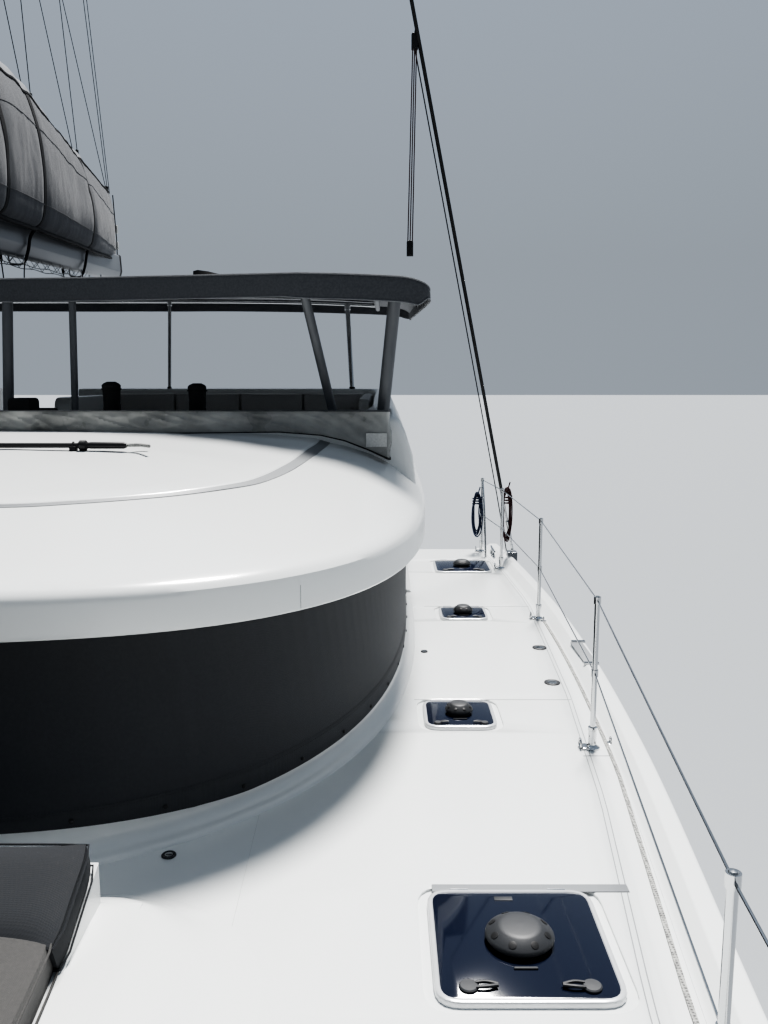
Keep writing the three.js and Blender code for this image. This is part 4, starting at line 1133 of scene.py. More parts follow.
@dataclass
class Hatches:
    """The side deck hatches: moulded pockets, frames, tinted lids, vents and handles."""

    skins: Palette
    rows: tuple[HatchSize, ...] = (
        HatchSize("forward", 3.110, -0.880, 0.540, 0.105),
        HatchSize("middle", 3.080, 0.950, 0.360, 0.070),
        HatchSize("after", 3.270, 2.870, 0.340, 0.070),
        HatchSize("stern", 3.400, 4.460, 0.500, 0.080),
    )
    recess: float = 0.012
    margin: float = 0.03
    lid: float = 0.020
    well: float = 0.09
    corner: float = 0.075

    def pocket(self, row: HatchSize) -> Callable[[], bpy.types.Object]:
        """Returns a maker of the pocket that is cut out of the deck.

        Args:
            row: Place and size of the hatch.

        Returns:
            A function that makes the cutting object.
        """

        def make() -> bpy.types.Object:
            """Returns the cutting object."""
            tool = Form("tool")
            wide = row.size + 2 * self.margin
            outline = [(row.x + p.x, row.y + p.y) for p in rounded_rectangle(wide, wide, self.corner + 0.02)]
            flare = [(row.x + (x - row.x) * 1.03, row.y + (y - row.y) * 1.03) for x, y in outline]
            tool.loft(
                [
                    [(x, y, DECK - self.recess) for x, y in outline],
                    [(x, y, DECK - 0.003) for x, y in outline],
                    [(x, y, DECK + 0.001) for x, y in flare],
                    [(x, y, DECK + 0.05) for x, y in flare],
                ],
                self.skins["gelcoat"],
            )
            return tool.done()

        return make

    def lid_form(self, row: HatchSize) -> Form:
        """Returns one lid: aluminium rim, tinted pane, vent, handles and hinge.

        Args:
            row: Place and size of the hatch.

        Returns:
            The lid's form.
        """
        form = Form("lid_" + row.label)
        low = DECK - self.recess + 0.0003
        high = low + self.lid
        rim, width = row.size, 0.015
        rings = []
        for inset, z in (
            (0, low), (0, high - 0.006), (0.002, high - 0.002), (0.006, high),
            (width, high), (width + 0.003, high - 0.003), (width + 0.003, low),
        ):
            outline = rounded_rectangle(rim - 2 * inset, rim - 2 * inset, max(self.corner - inset, 0.02))
            rings.append([(row.x + p.x, row.y + p.y, z) for p in outline])
        form.loft(rings, self.skins["rim"], looped=True)
        pane = rounded_rectangle(rim - 2 * width - 0.005, rim - 2 * width - 0.005, self.corner * 0.7)
        form.slab([(row.x + p.x, row.y + p.y) for p in pane], low + 0.004, high - 0.001,
                  self.skins["acrylic"], 0.002)
        self.vent(form, row, high)
        self.handles(form, row, high)
        for offset in (-0.3, 0.3):
            x, y = row.x + offset * rim, row.y + rim / 2
            form.tube([(x - 0.03, y, high - 0.005), (x + 0.03, y, high - 0.005)], 0.006,
                      self.skins["stainless"])
        label = (row.x - 0.05, row.y + rim / 2 - width - 0.05, high - 0.001)
        form.box(label, (label[0] + 0.06, label[1] + 0.022, high + 0.0004), self.skins["vent"], 0.001)
        return form

    def vent(self, form: Form, row: HatchSize, z: float) -> None:
        """Adds the mushroom vent: a sloped collar with eight holes of black painted shade under a smooth
        crown.

        Args:
            form: Form that takes the faces.
            row: Place and size of the hatch.
            z: Height of the lid's top.
        """
        r = row.dome
        profile = [(0, -0.005), (0.80 * r, -0.005), (0.82 * r, 0.010), (0.97 * r, 0.012), (r, 0.017),
                   (0.99 * r, 0.023)]
        profile += [(0.95 * r, 0.029), (0.66 * r, 0.049), (0.60 * r, 0.052), (0.50 * r, 0.0535),
                    (0.3 * r, 0.055), (0, 0.056)]
        form.lathe(profile, (row.x, row.y, z), self.skins["vent"], steps=48)
        # The holes are raised black discs: painted shade standing in for the dark inside of real openings.
        for k in range(8):
            turn = 2 * math.pi * (k + 0.5) / 8
            out = Vector((math.cos(turn), math.sin(turn), 0))
            centre = Vector((row.x, row.y, z + 0.038)) + out * 0.82 * r
            hole = [(0, -0.002), (0.115 * r, -0.002), (0.115 * r, 0.0012), (0.09 * r, 0.0018), (0, 0.0018)]
            form.lathe(hole, centre, self.skins["black"], axis=(out.x * 0.57, out.y * 0.57, 0.82), steps=14)
        form.box((row.x - 0.035, row.y - 1.28 * r, z - 0.001), (row.x + 0.035, row.y - 1.2 * r, z + 0.004),
                 self.skins["vent"], 0.002)

    def handles(self, form: Form, row: HatchSize, z: float) -> None:
        """Adds the two flat catches near the forward edge: a disc outboard and a forked arm inboard.

        Args:
            form: Form that takes the faces.
            row: Place and size of the hatch.
            z: Height of the lid's top.
        """
        scale = row.size / 0.54
        skin = self.skins["vent"]
        for sign in (-1, 1):
            x, y = row.x + sign * 0.32 * row.size, row.y - 0.385 * row.size
            disc = [(0, 0), (0.028, 0), (0.028, 0.005), (0.024, 0.008), (0, 0.009)]
            form.lathe([(scale * r, h) for r, h in disc], (x, y, z), skin, steps=28)
            for bend in (-0.010, 0.010):
                arm = [(x - sign * 0.02 * scale, y + bend * scale, z + 0.007),
                       (x - sign * 0.05 * scale, y + bend * scale, z + 0.010),
                       (x - sign * 0.082 * scale, y + 0.2 * bend, z + 0.008)]
                form.tube(arc_points(arm, 5), 0.0052 * scale, skin, 8)

    def build(self) -> None:
        """Makes every lid on both sides."""
        for row in self.rows:
            port = self.lid_form(row).done()
            for side in SIDES:
                name = f"hatch_{row.label}_{side}"
                made = port if side == "port" else mirrored(port, "lid_" + row.label + "_starboard")
                ride(made, name, "acrylic", name)


# Deckhouse and roof


BEAM_Y = 3.3
WALL_A = 2.84
WALL_B = 3.90
WALL_POWER = 3.3
WALL_END = 5.3


def resampled(points: Sequence[Vector], count: int) -> list[Vector]:
    """Returns count points evenly spaced along a polyline.

    Args:
        points: Points of the polyline.
        count: Number of points wanted.

    Returns:
        The new points, ends included.
    """
    marks = [0.0]
    for a, b in zip(points, points[1:]):
        marks.append(marks[-1] + (b - a).length)
    made = []
    i = 0
    for k in range(count):
        want = marks[-1] * k / (count - 1)
        while i < len(marks) - 2 and marks[i + 1] < want:
            i += 1
        u = (want - marks[i]) / max(marks[i + 1] - marks[i], 1e-9)
        made.append(points[i].lerp(points[i + 1], u))
    return made


def nose(a: float, b: float, power: float, count: int = 141) -> list[Vector]:
    """Returns the blunt curve round the deckhouse's front, from port to starboard.

    Args:
        a: Half width at its widest.
        b: Reach forward of the widest place.
        power: Squareness of the curve; 2 is an ellipse.
        count: Points on the curve.

    Returns:
        Points in plan, evenly spaced.
    """
    fine = []
    for k in range(901):
        t = math.pi * k / 900
        c, s = math.cos(t), math.sin(t)
        fine.append(Vector((math.copysign(abs(c) ** (2 / power), c) * a, BEAM_Y - b * abs(s) ** (2 / power))))
    return resampled(fine, count)


def plan(a: float, b: float, aft: float, power: float = WALL_POWER, sides: int = 10) -> list[Vector]:
    """Returns the open plan line of the deckhouse: port side, front and starboard side.

    Args:
        a: Half width of the walls.
        b: Reach forward of the widest place.
        aft: Where the sides end.
        power: Squareness of the curve; 2 is an ellipse.
        sides: Points along each side.

    Returns:
        The line's points, port end first.
    """
    run = [Vector((a, lerp(aft, BEAM_Y, k / sides))) for k in range(sides)]
    back = [Vector((-p.x, p.y)) for p in reversed(run)]
    return [*run, *nose(a, b, power), *back]


def outward(line: Sequence[Vector], i: int) -> Vector:
    """Returns the outward direction of a plan line at one of its points."""
    along = (line[min(i + 1, len(line) - 1)] - line[max(i - 1, 0)]).normalized()
    return Vector((-along.y, along.x))


@dataclass
class Deckhouse:
    """Walls, windows, glass, the cover over the front windows and the fairing at the deck."""

    skins: Palette
    window: tuple[float, float] = (1.90, 2.46)
    pillars: tuple[float, ...] = (20, 40, 62, 90, 118, 140, 160)
    pillar: float = 0.07
    thickness: float = 0.04
    bulkhead: float = 3.6
    visor: float = 2.52
    rake: float = 0.36

    def lean(self, out: Vector, z: float) -> float:
        """Returns how far the raked front stands in from its foot's line at a height."""
        return self.rake * max(0.0, -out.y) * max(0.0, z - 1.88)

    def strip(
        self, form: Form, rows: Sequence[tuple[float, float]], skin: str, start: int = 0,
        end: int | None = None
    ) -> None:
        """Adds a closed strip round the deckhouse.

        Args:
            form: Form that takes the strip.
            rows: Section of the strip, as offset outwards of the wall and height.
            skin: Material name.
            start: First point of the plan line.
            end: Last point, or the end of the line.
        """
        line = plan(WALL_A, WALL_B, WALL_END)
        rings = []
        for i in range(len(line))[start:end]:
            out = outward(line, i)
            rings.append([(*(line[i] + out * (offset - self.lean(out, z))), z) for offset, z in rows])
        form.loft(rings, self.skins[skin])

    def window_spans(self) -> list[tuple[int, int]]:
        """Returns the plan line's point numbers where each pillar stands.

        Returns:
            Start and end of each pillar's run of point numbers.
        """
        line = plan(WALL_A, WALL_B, WALL_END)
        spans = []
        for degrees in self.pillars:
            t = math.radians(degrees)
            way = Vector((4 * math.cos(t), -5 * math.sin(t))).normalized()
            near = []
            for i, p in enumerate(line):
                rel = p - Vector((0, BEAM_Y))
                if abs(rel.cross(way)) < self.pillar and rel.dot(way) > 0:
                    near.append(i)
            spans.append((near[0] - 1, near[-1] + 2))
        return spans

    def walls(self) -> None:
        """Makes the fairing, the walls below and above the windows, the pillars and the aft bulkhead."""
        form = Form("deckhouse_walls")
        inner = -self.thickness
        low, high = self.window
        cove = [(0.075, DECK), (0.073, DECK + 0.006), (0.068, DECK + 0.012)]
        for k in range(7):
            turn = math.pi / 2 * k / 6
            cove.append((0.058 * (1 - math.sin(turn)), DECK + 0.018 + 0.060 * (1 - math.cos(turn))))
        cove[-1] = (0.0, DECK + 0.078)
        self.strip(form, [*cove, (0, low), (-0.006, low + 0.004), (inner, low + 0.004), (inner, DECK)],
                   "gelcoat", 12, -12)
        self.strip(form, [(0, high), (0, self.visor + 0.02), (inner, self.visor + 0.02), (inner, high)],
                   "gelcoat")
        for start, end in self.window_spans():
            self.strip(form, [(0, low - 0.01), (0, high + 0.01), (inner, high + 0.01), (inner, low - 0.01)],
                       "gelcoat", start, end)
        line = plan(WALL_A, WALL_B, WALL_END)
        aft = [i for i, p in enumerate(line) if p.y > self.bulkhead - 0.18]
        port = [i for i in aft if line[i].x > 0]
        starboard = [i for i in aft if line[i].x < 0]
        for run in (port, starboard):
            rows = [*cove, (0, 1.94), (-0.008, 1.955), (inner + 0.008, 1.955), (inner, 1.94), (inner, DECK)]
            self.strip(form, rows, "gelcoat", run[0], run[-1] + 1)
        for sign in (1, -1):
            x0, x1 = sorted((sign * (WALL_A - self.thickness), sign * WALL_A))
            form.box((x0, 5.17, 1.9), (x1, 5.3, self.visor), self.skins["gelcoat"], 0.012)
            form.box((x0, 3.42, 1.9), (x1, 3.64, self.visor), self.skins["gelcoat"], 0.004)
            form.box((x0 + 0.012, 3.30, 1.93), (x1 + sign * 0.012, 3.36, 2.44), self.skins["black"], 0.006)
        walls = form.done()
        ride(walls, BOAT, "gelcoat", "cabin_walls")
        panel = Form("saloon_bulkhead")
        panel.box((-2.79, self.bulkhead, 0.8), (2.79, self.bulkhead + 0.04, self.visor),
                  self.skins["gelcoat"], 0.002)
        cutters = []
        for x0, x1, z0, z1 in ((-0.70, 0.06, 0.7, 2.44), (0.18, 2.0, 1.75, 2.40), (-2.0, -0.88, 1.75, 2.40)):
            tool = Form("tool")
            corners = fillet([(x1, z0), (x1, z1), (x0, z1), (x0, z0)], [0.05] * 4)
            tool.loft([[(p.x, y, p.y) for p in corners] for y in (3.5, 3.7)], self.skins["gelcoat"])
            cutters.append(tool.done())
        ride(carve(panel.done(), cutters), BOAT, "gelcoat")
        self.bulkhead_trim()

    def bulkhead_trim(self) -> None:
        """Makes the panes and frames of the bulkhead's windows and the door's track."""
        form = Form("bulkhead_trim")
        y = self.bulkhead
        for x0, x1, z0, z1 in ((0.18, 2.0, 1.75, 2.40), (-2.0, -0.88, 1.75, 2.40)):
            outer = fillet([(x1, z0), (x1, z1), (x0, z1), (x0, z0)], [0.05] * 4)
            middle = Vector(((x0 + x1) / 2, (z0 + z1) / 2))
            inset = [p + (middle - p).normalized() * 0.035 for p in outer]
            rings = [[(p.x, y + 0.012, p.y) for p in outer], [(p.x, y + 0.047, p.y) for p in outer]]
            rings += [[(p.x, y + 0.047, p.y) for p in inset], [(p.x, y + 0.012, p.y) for p in inset]]
            form.loft(rings, self.skins["aluminium"], looped=True)
            form.loft([[(p.x, y + d, p.y) for p in inset] for d in (0.02, 0.028)], self.skins["acrylic"])
        form.box((-1.55, y - 0.02, 2.441), (0.16, y + 0.08, 2.475), self.skins["aluminium"], 0.004)
        ride(form.done(), BOAT, "aluminium")

    def glass(self) -> None:
        """Makes the dark pane band outside the pillars."""
        form = Form("deckhouse_glass")
        line = plan(WALL_A, WALL_B, WALL_END)
        run = [i for i, p in enumerate(line) if p.y < 3.54]
        rows = [(0.001, 1.862), (0.009, 1.862), (0.0105, 1.866), (0.0105, 2.486), (0.009, 2.490),
                (0.001, 2.490)]
        self.strip(form, rows, "acrylic", run[0], run[-1] + 1)
        ride(form.done(), BOAT, "acrylic", "cabin_glass")

    def cover(self) -> None:
        """Makes the cloth over the front windows, with its hem, seams, track and studs."""
        form = Form("window_cover_cloth")
        fine = [Vector(p) for p in plan(WALL_A, WALL_B, WALL_END)]
        run = [p for p in fine if p.y < 3.25]
        line = resampled(run, 420)
        heights = [1.846, 1.850, 1.862, 1.874, 1.886, 1.896, 1.899, 1.902, 1.91]
        heights += [lerp(1.93, 2.516, k / 22) for k in range(23)]
        rings = []
        for i, p in enumerate(line):
            out = outward(line, i)
            share = i / (len(line) - 1)
            ring = []
            drop = 0.066 * min(max((abs(p.x) - 1.35) / 0.8, 0.0), 1.0)
            for level in heights:
                z = level - drop * min(max((1.93 - level) / 0.084, 0.0), 1.0)
                lift = 0.0118 + 0.003 * (0.5 - 0.5 * math.cos(2 * math.pi * (z - 1.846) / 0.67))
                lift += 0.0014 * noise.noise(Vector((share * 12, z * 1.6, 1.3)))
                if level < 1.897:
                    lift += 0.0032
                seam = min(abs(share - s) for s in (0.12, 0.32, 0.5, 0.68, 0.88)) * 7.6
                lift += 0.0028 * max(0.0, 1 - seam / 0.018)
                ring.append((*(p + out * (lift - self.lean(out, z))), z))
            inner = (*(p + out * (0.0108 - self.lean(out, heights[-1]))), heights[-1])
            rings.append([*ring, inner, (*(p + out * 0.0108), heights[0] - drop)])
        form.loft(rings, self.skins["cover"])
        for z, low, high in ((2.510, 0.012, 0.026),):
            rows = [(low, z - 0.006), (high, z - 0.006), (high, z + 0.006), (low, z + 0.006)]
            start = next(i for i, p in enumerate(fine) if p.y < 3.25)
            self.strip(form, rows, "aluminium", start, len(fine) - start)
        for i in range(6, len(line), 12):
            out = outward(line, i)
            centre = line[i] + out * 0.018
            profile = [(0, 0), (0.009, 0), (0.009, 0.003), (0.006, 0.005), (0, 0.0055)]
            drop = 0.066 * min(max((abs(line[i].x) - 1.35) / 0.8, 0.0), 1.0)
            form.lathe(profile, (*centre, 1.872 - drop), self.skins["black"], (*out, 0), 10)
        ride(form.done(), BOAT, "cover", "window_cover")

    def build(self) -> None:
        """Makes the whole deckhouse below the roof."""
        self.walls()
        self.glass()
        self.cover()


ROOF_ROWS = (
    (2.5200, 2.9200, 3.805, 5.470, 4.20),
    (2.5200, 2.9400, 3.827, 5.488, 4.20),
    (2.5225, 2.9490, 3.838, 5.500, 4.20),
    (2.5290, 2.9540, 3.844, 5.508, 4.20),
    (2.5400, 2.9550, 3.845, 5.510, 4.20),
    (2.6400, 2.9550, 3.845, 5.510, 4.20),
    (2.6600, 2.9540, 3.842, 5.509, 4.20),
    (2.6780, 2.9500, 3.832, 5.503, 4.15),
    (2.6930, 2.9440, 3.810, 5.495, 4.10),
    (2.7060, 2.9360, 3.772, 5.485, 4.05),
    (2.7180, 2.9270, 3.722, 5.474, 4.00),
    (2.7350, 2.9140, 3.645, 5.462, 3.90),
    (2.7500, 2.9010, 3.572, 5.452, 3.80),
    (2.7850, 2.8700, 3.400, 5.430, 3.65),
    (2.8300, 2.8300, 3.180, 5.400, 3.50),
    (2.8800, 2.7800, 2.915, 5.370, 3.40),
    (2.9300, 2.7100, 2.640, 5.345, 3.30),
    (2.9800, 2.6100, 2.325, 5.320, 3.20),
    (3.0150, 2.4900, 2.040, 5.300, 3.10),
    (3.0400, 2.3400, 1.770, 5.280, 3.00),
    (3.0560, 2.1500, 1.590, 5.240, 3.00),
    (3.0650, 1.9500, 1.450, 5.200, 3.00),
)
CEILING_ROWS = (
    (3.000, 1.880, 1.400, 5.130, 3.0),
    (2.970, 2.280, 1.740, 5.210, 3.0),
    (2.910, 2.540, 2.280, 5.250, 3.0),
    (2.810, 2.700, 2.880, 5.300, 3.0),
    (2.710, 2.770, 3.380, 5.360, 3.0),
    (2.620, 2.780, 3.600, 5.400, 3.0),
    (2.520, 2.790, 3.650, 5.400, 3.0),
)


def roof_height(x: float, y: float) -> float:
    """Returns the height of the roof's outer surface over a place in plan.

    Args:
        x: Distance from the centreline.
        y: Place along the boat.

    Returns:
        The height.
    """
    rows = ROOF_ROWS[9:]
    last = rows[0][0]
    previous = 2.0
    for z, a, b, _, power in rows:
        reach = abs(x / a) ** power + (abs((BEAM_Y - y) / b) ** power if y < BEAM_Y else 0.0)
        if reach > 1:
            share = (1 - previous) / max(reach - previous, 1e-6)
            return lerp(last, z, min(max(share, 0.0), 1.0))
        last, previous = z, reach
    return rows[-1][0]


def rectangle_loop(
    x: float, front: float, aft: float, radius: float, fore: float | None = None, corner: int = 8,
    straight: int = 18
) -> list[Vector]:
    """Returns a rectangle with round corners and even points, symmetric about the centreline.

    Args:
        x: Half width.
        front: Place of the forward side.
        aft: Place of the after side.
        radius: Radius of the after corners.
        fore: Radius of the forward corners; the same when left out.
        corner: Steps round each corner.
        straight: Steps along each side.

    Returns:
        The closed outline.
    """
    ahead = radius if fore is None else fore
    sides = (
        ((x, front), (x, aft), ahead, radius),
        ((x, aft), (-x, aft), radius, radius),
        ((-x, aft), (-x, front), radius, ahead),
        ((-x, front), (x, front), ahead, ahead),
    )
    made = []
    for start, end, near, far in sides:
        a, b = Vector(start), Vector(end)
        way = (b - a).normalized()
        for k in range(straight + 1):
            made.append((a + way * near).lerp(b - way * far, k / straight))
        side = Vector((-way.y, way.x))
        centre = b - way * far + side * far
        for k in range(1, corner):
            angle = math.pi / 2 * k / corner
            made.append(centre + (way * math.sin(angle) - side * math.cos(angle)) * far)
    return made


@dataclass
class Roof:
    """The saloon's roof with its visor, the raised panel, the well of the upper cockpit and its coaming."""

    skins: Palette
    well_x: float = 2.62
    well_y: tuple[float, float] = (2.30, 5.00)
    floor: float = 2.66
    front: float = 1.98
    shelf: float = 3.12
    walls: tuple[Point, ...] = ((2.70, 2.900), (2.76, 2.895), (2.92, 2.875), (3.06, 2.830), (3.15, 2.785),
                                (3.30, 2.725))
    heights: tuple[Point, ...] = ((1.90, 3.13), (2.20, 3.20), (3.40, 3.25), (5.40, 3.277))
    gate: tuple[Point, Point] = ((-0.95, 4.90, 2.90), (-0.15, 5.45, 3.60))

    def rim(self, x: float, y: float) -> float:
        """Returns the coaming's height at a place in plan.

        Args:
            x: Distance from the centreline.
            y: Place along the boat.

        Returns:
            The height.
        """
        side = table(self.heights, y)
        if y > 2.35:
            return side
        return lerp(self.shelf, side, min(max((abs(x) - 2.50) / 0.12, 0.0), 1.0))

    def shell(self) -> bpy.types.Object:
        """Returns the moulded roof with the well cut through it.

        Returns:
            The finished object.
        """
        rings = []
        for z, a, b, aft, power in (*ROOF_ROWS, *CEILING_ROWS):
            line = plan(a, b, aft, power)
            across = [Vector((lerp(-a, a, k / 24), aft)) for k in range(1, 24)]
            rings.append([(p.x, p.y, z) for p in [*line, *across]])
        form = Form("roof_shell")
        middle = len(ROOF_ROWS)
        skin = self.skins["gelcoat"]
        form.loft(rings[:middle], skin, caps=False)
        form.loft(rings[middle:], skin, caps=False)
        form.loft([rings[-1], rings[0]], skin, caps=False)
        count = len(rings[0])
        form.add(rings[middle - 1], [tuple(range(count))], skin)
        form.add(rings[middle], [tuple(reversed(range(count)))], skin)
        shell = form.done()
        well = Form("tool")
        loop = rectangle_loop(self.well_x + 0.03, self.well_y[0] - 0.03, self.well_y[1] + 0.03, 0.12)
        well.loft([[(p.x, p.y, z) for p in loop] for z in (2.62, 3.4)], skin)
        return carve(shell, [well.done()])

    def coaming(self) -> bpy.types.Object:
        """Returns the coaming round the upper cockpit with its liner and gate.

        Returns:
            The finished object.
        """
        form = Form("roof_coaming")
        rings = []
        for z in (2.70, 2.80, 2.92, 3.00, 3.06):
            loop = rectangle_loop(2.8, self.front, 5.30, 0.5, 0.06)
            rings.append([(p.x * table(self.walls, z) / 2.8, p.y, z) for p in loop])
        lip = ((0.0, -0.045), (0.004, -0.022), (0.014, -0.008), (0.030, 0.0))
        for inset, fall in lip:
            ring = []
            for p in rectangle_loop(2.8 - inset, self.front + inset, 5.29 - inset, 0.5 - inset, 0.06):
                z = self.rim(p.x, p.y) + fall
                ring.append((p.x * table(self.walls, z) / 2.8, p.y, z))
            rings.append(ring)
        for inset, fall in reversed(lip):
            out = inset * 0.8
            loop = rectangle_loop(self.well_x + out, self.well_y[0] - out, self.well_y[1] + out, 0.13, 0.10)
            rings.append([(p.x, p.y, self.rim(p.x, p.y) + fall) for p in loop])
        loop = rectangle_loop(self.well_x, *self.well_y, 0.13, 0.10)
        rings.append([(p.x, p.y, self.floor - 0.02) for p in loop])
        form.loft(rings, self.skins["gelcoat"], looped=True)
        gate = Form("tool")
        gate.box(*self.gate, self.skins["gelcoat"], 0.03)
        return carve(form.done(), [gate.done()])

    def panel(self, form: Form) -> None:
        """Adds the raised panel forward of the windscreen, with its step face greyed as painted shade.

        Args:
            form: Form that takes the faces.
        """
        rows = [(0, 0.270), (0.55, 0.276), (1.10, 0.312), (1.36, 0.375), (1.61, 0.474), (1.80, 0.583),
                (1.996, 0.764)]
        half = arc_points([*rows, (2.093, 0.909), (2.185, 1.165), (2.245, 1.456), (2.30, 1.78), (2.32, 1.99)],
                          6)
        edge = [Vector((p.x, p.y)) for p in half]
        outline = [*[Vector((-p.x, p.y)) for p in reversed(edge[1:])], *edge]
        back = [Vector((lerp(2.32, -2.32, k / 20), 1.99)) for k in range(1, 20)]
        loop = [*outline, *back]
        heart = Vector((0, 1.75))
        rings = []
        for share, rise in ((1.0, -0.012), (0.9995, 0.007), (0.9965, 0.012), (0.99, 0.014), (0.93, 0.014),
                            (0.8, 0.014),
                            (0.6, 0.014), (0.4, 0.014), (0.2, 0.014), (0.02, 0.014)):
            ring = []
            for p in loop:
                q = heart.lerp(p, share)
                ring.append((q.x, q.y, roof_height(q.x, q.y) + rise))
            rings.append(ring)
        form.loft(rings, self.skins["gelcoat"])
        # The step's face takes the grey finish as painted shade, widening toward the windscreen into the
        # shaded wedge.
        rows = []
        for p in outline:
            for_out = (p - heart).normalized()
            wide = 0.022 + 0.036 * min(max((abs(p.x) - 1.75) / 0.5, 0.0), 1.0)
            a, b = p + for_out * 0.001, p + for_out * wide
            edge = p.lerp(p + for_out * wide, 0.5)
            places = ((a, 0.011), (edge, 0.007), (b, 0.0045), (b, -0.01))
            rows.append([(q.x, q.y, roof_height(q.x, q.y) + rise) for q, rise in places])
        form.loft(rows, self.skins["grey_trim_and_step_shade"], caps=False, closed=False)

    def build(self) -> None:
        """Makes the roof and its parts."""
        ride(self.shell(), BOAT, "gelcoat", "cabin_roof")
        ride(self.coaming(), BOAT, "gelcoat")
        form = Form("roof_parts")
        self.panel(form)
        loop = rectangle_loop(self.well_x + 0.02, self.well_y[0] - 0.02, self.well_y[1] + 0.02, 0.1)
        form.slab(loop, self.floor - 0.03, self.floor, self.skins["deck"], 0.0)
        line = plan(2.955, 3.845, 5.51, 4.2)
        for x in (-2.415, 2.415):
            near = min(range(len(line)), key=lambda i: abs(line[i].x - x) + max(line[i].y - 1, 0) * 9)
            out = outward(line, near)
            p = line[near]
            along = Vector((-out.y, out.x)) * 0.0011
            rows = [[(*(p + out * 0.0006 - along), z), (*(p + out * 0.0006 + along), z)]
                    for z in (2.531, 2.6, 2.622)]
            form.loft(rows, self.skins["grey_trim_and_step_shade"], caps=False, closed=False)
        ride(form.done(), BOAT, "gelcoat")


# Upper cockpit and bimini


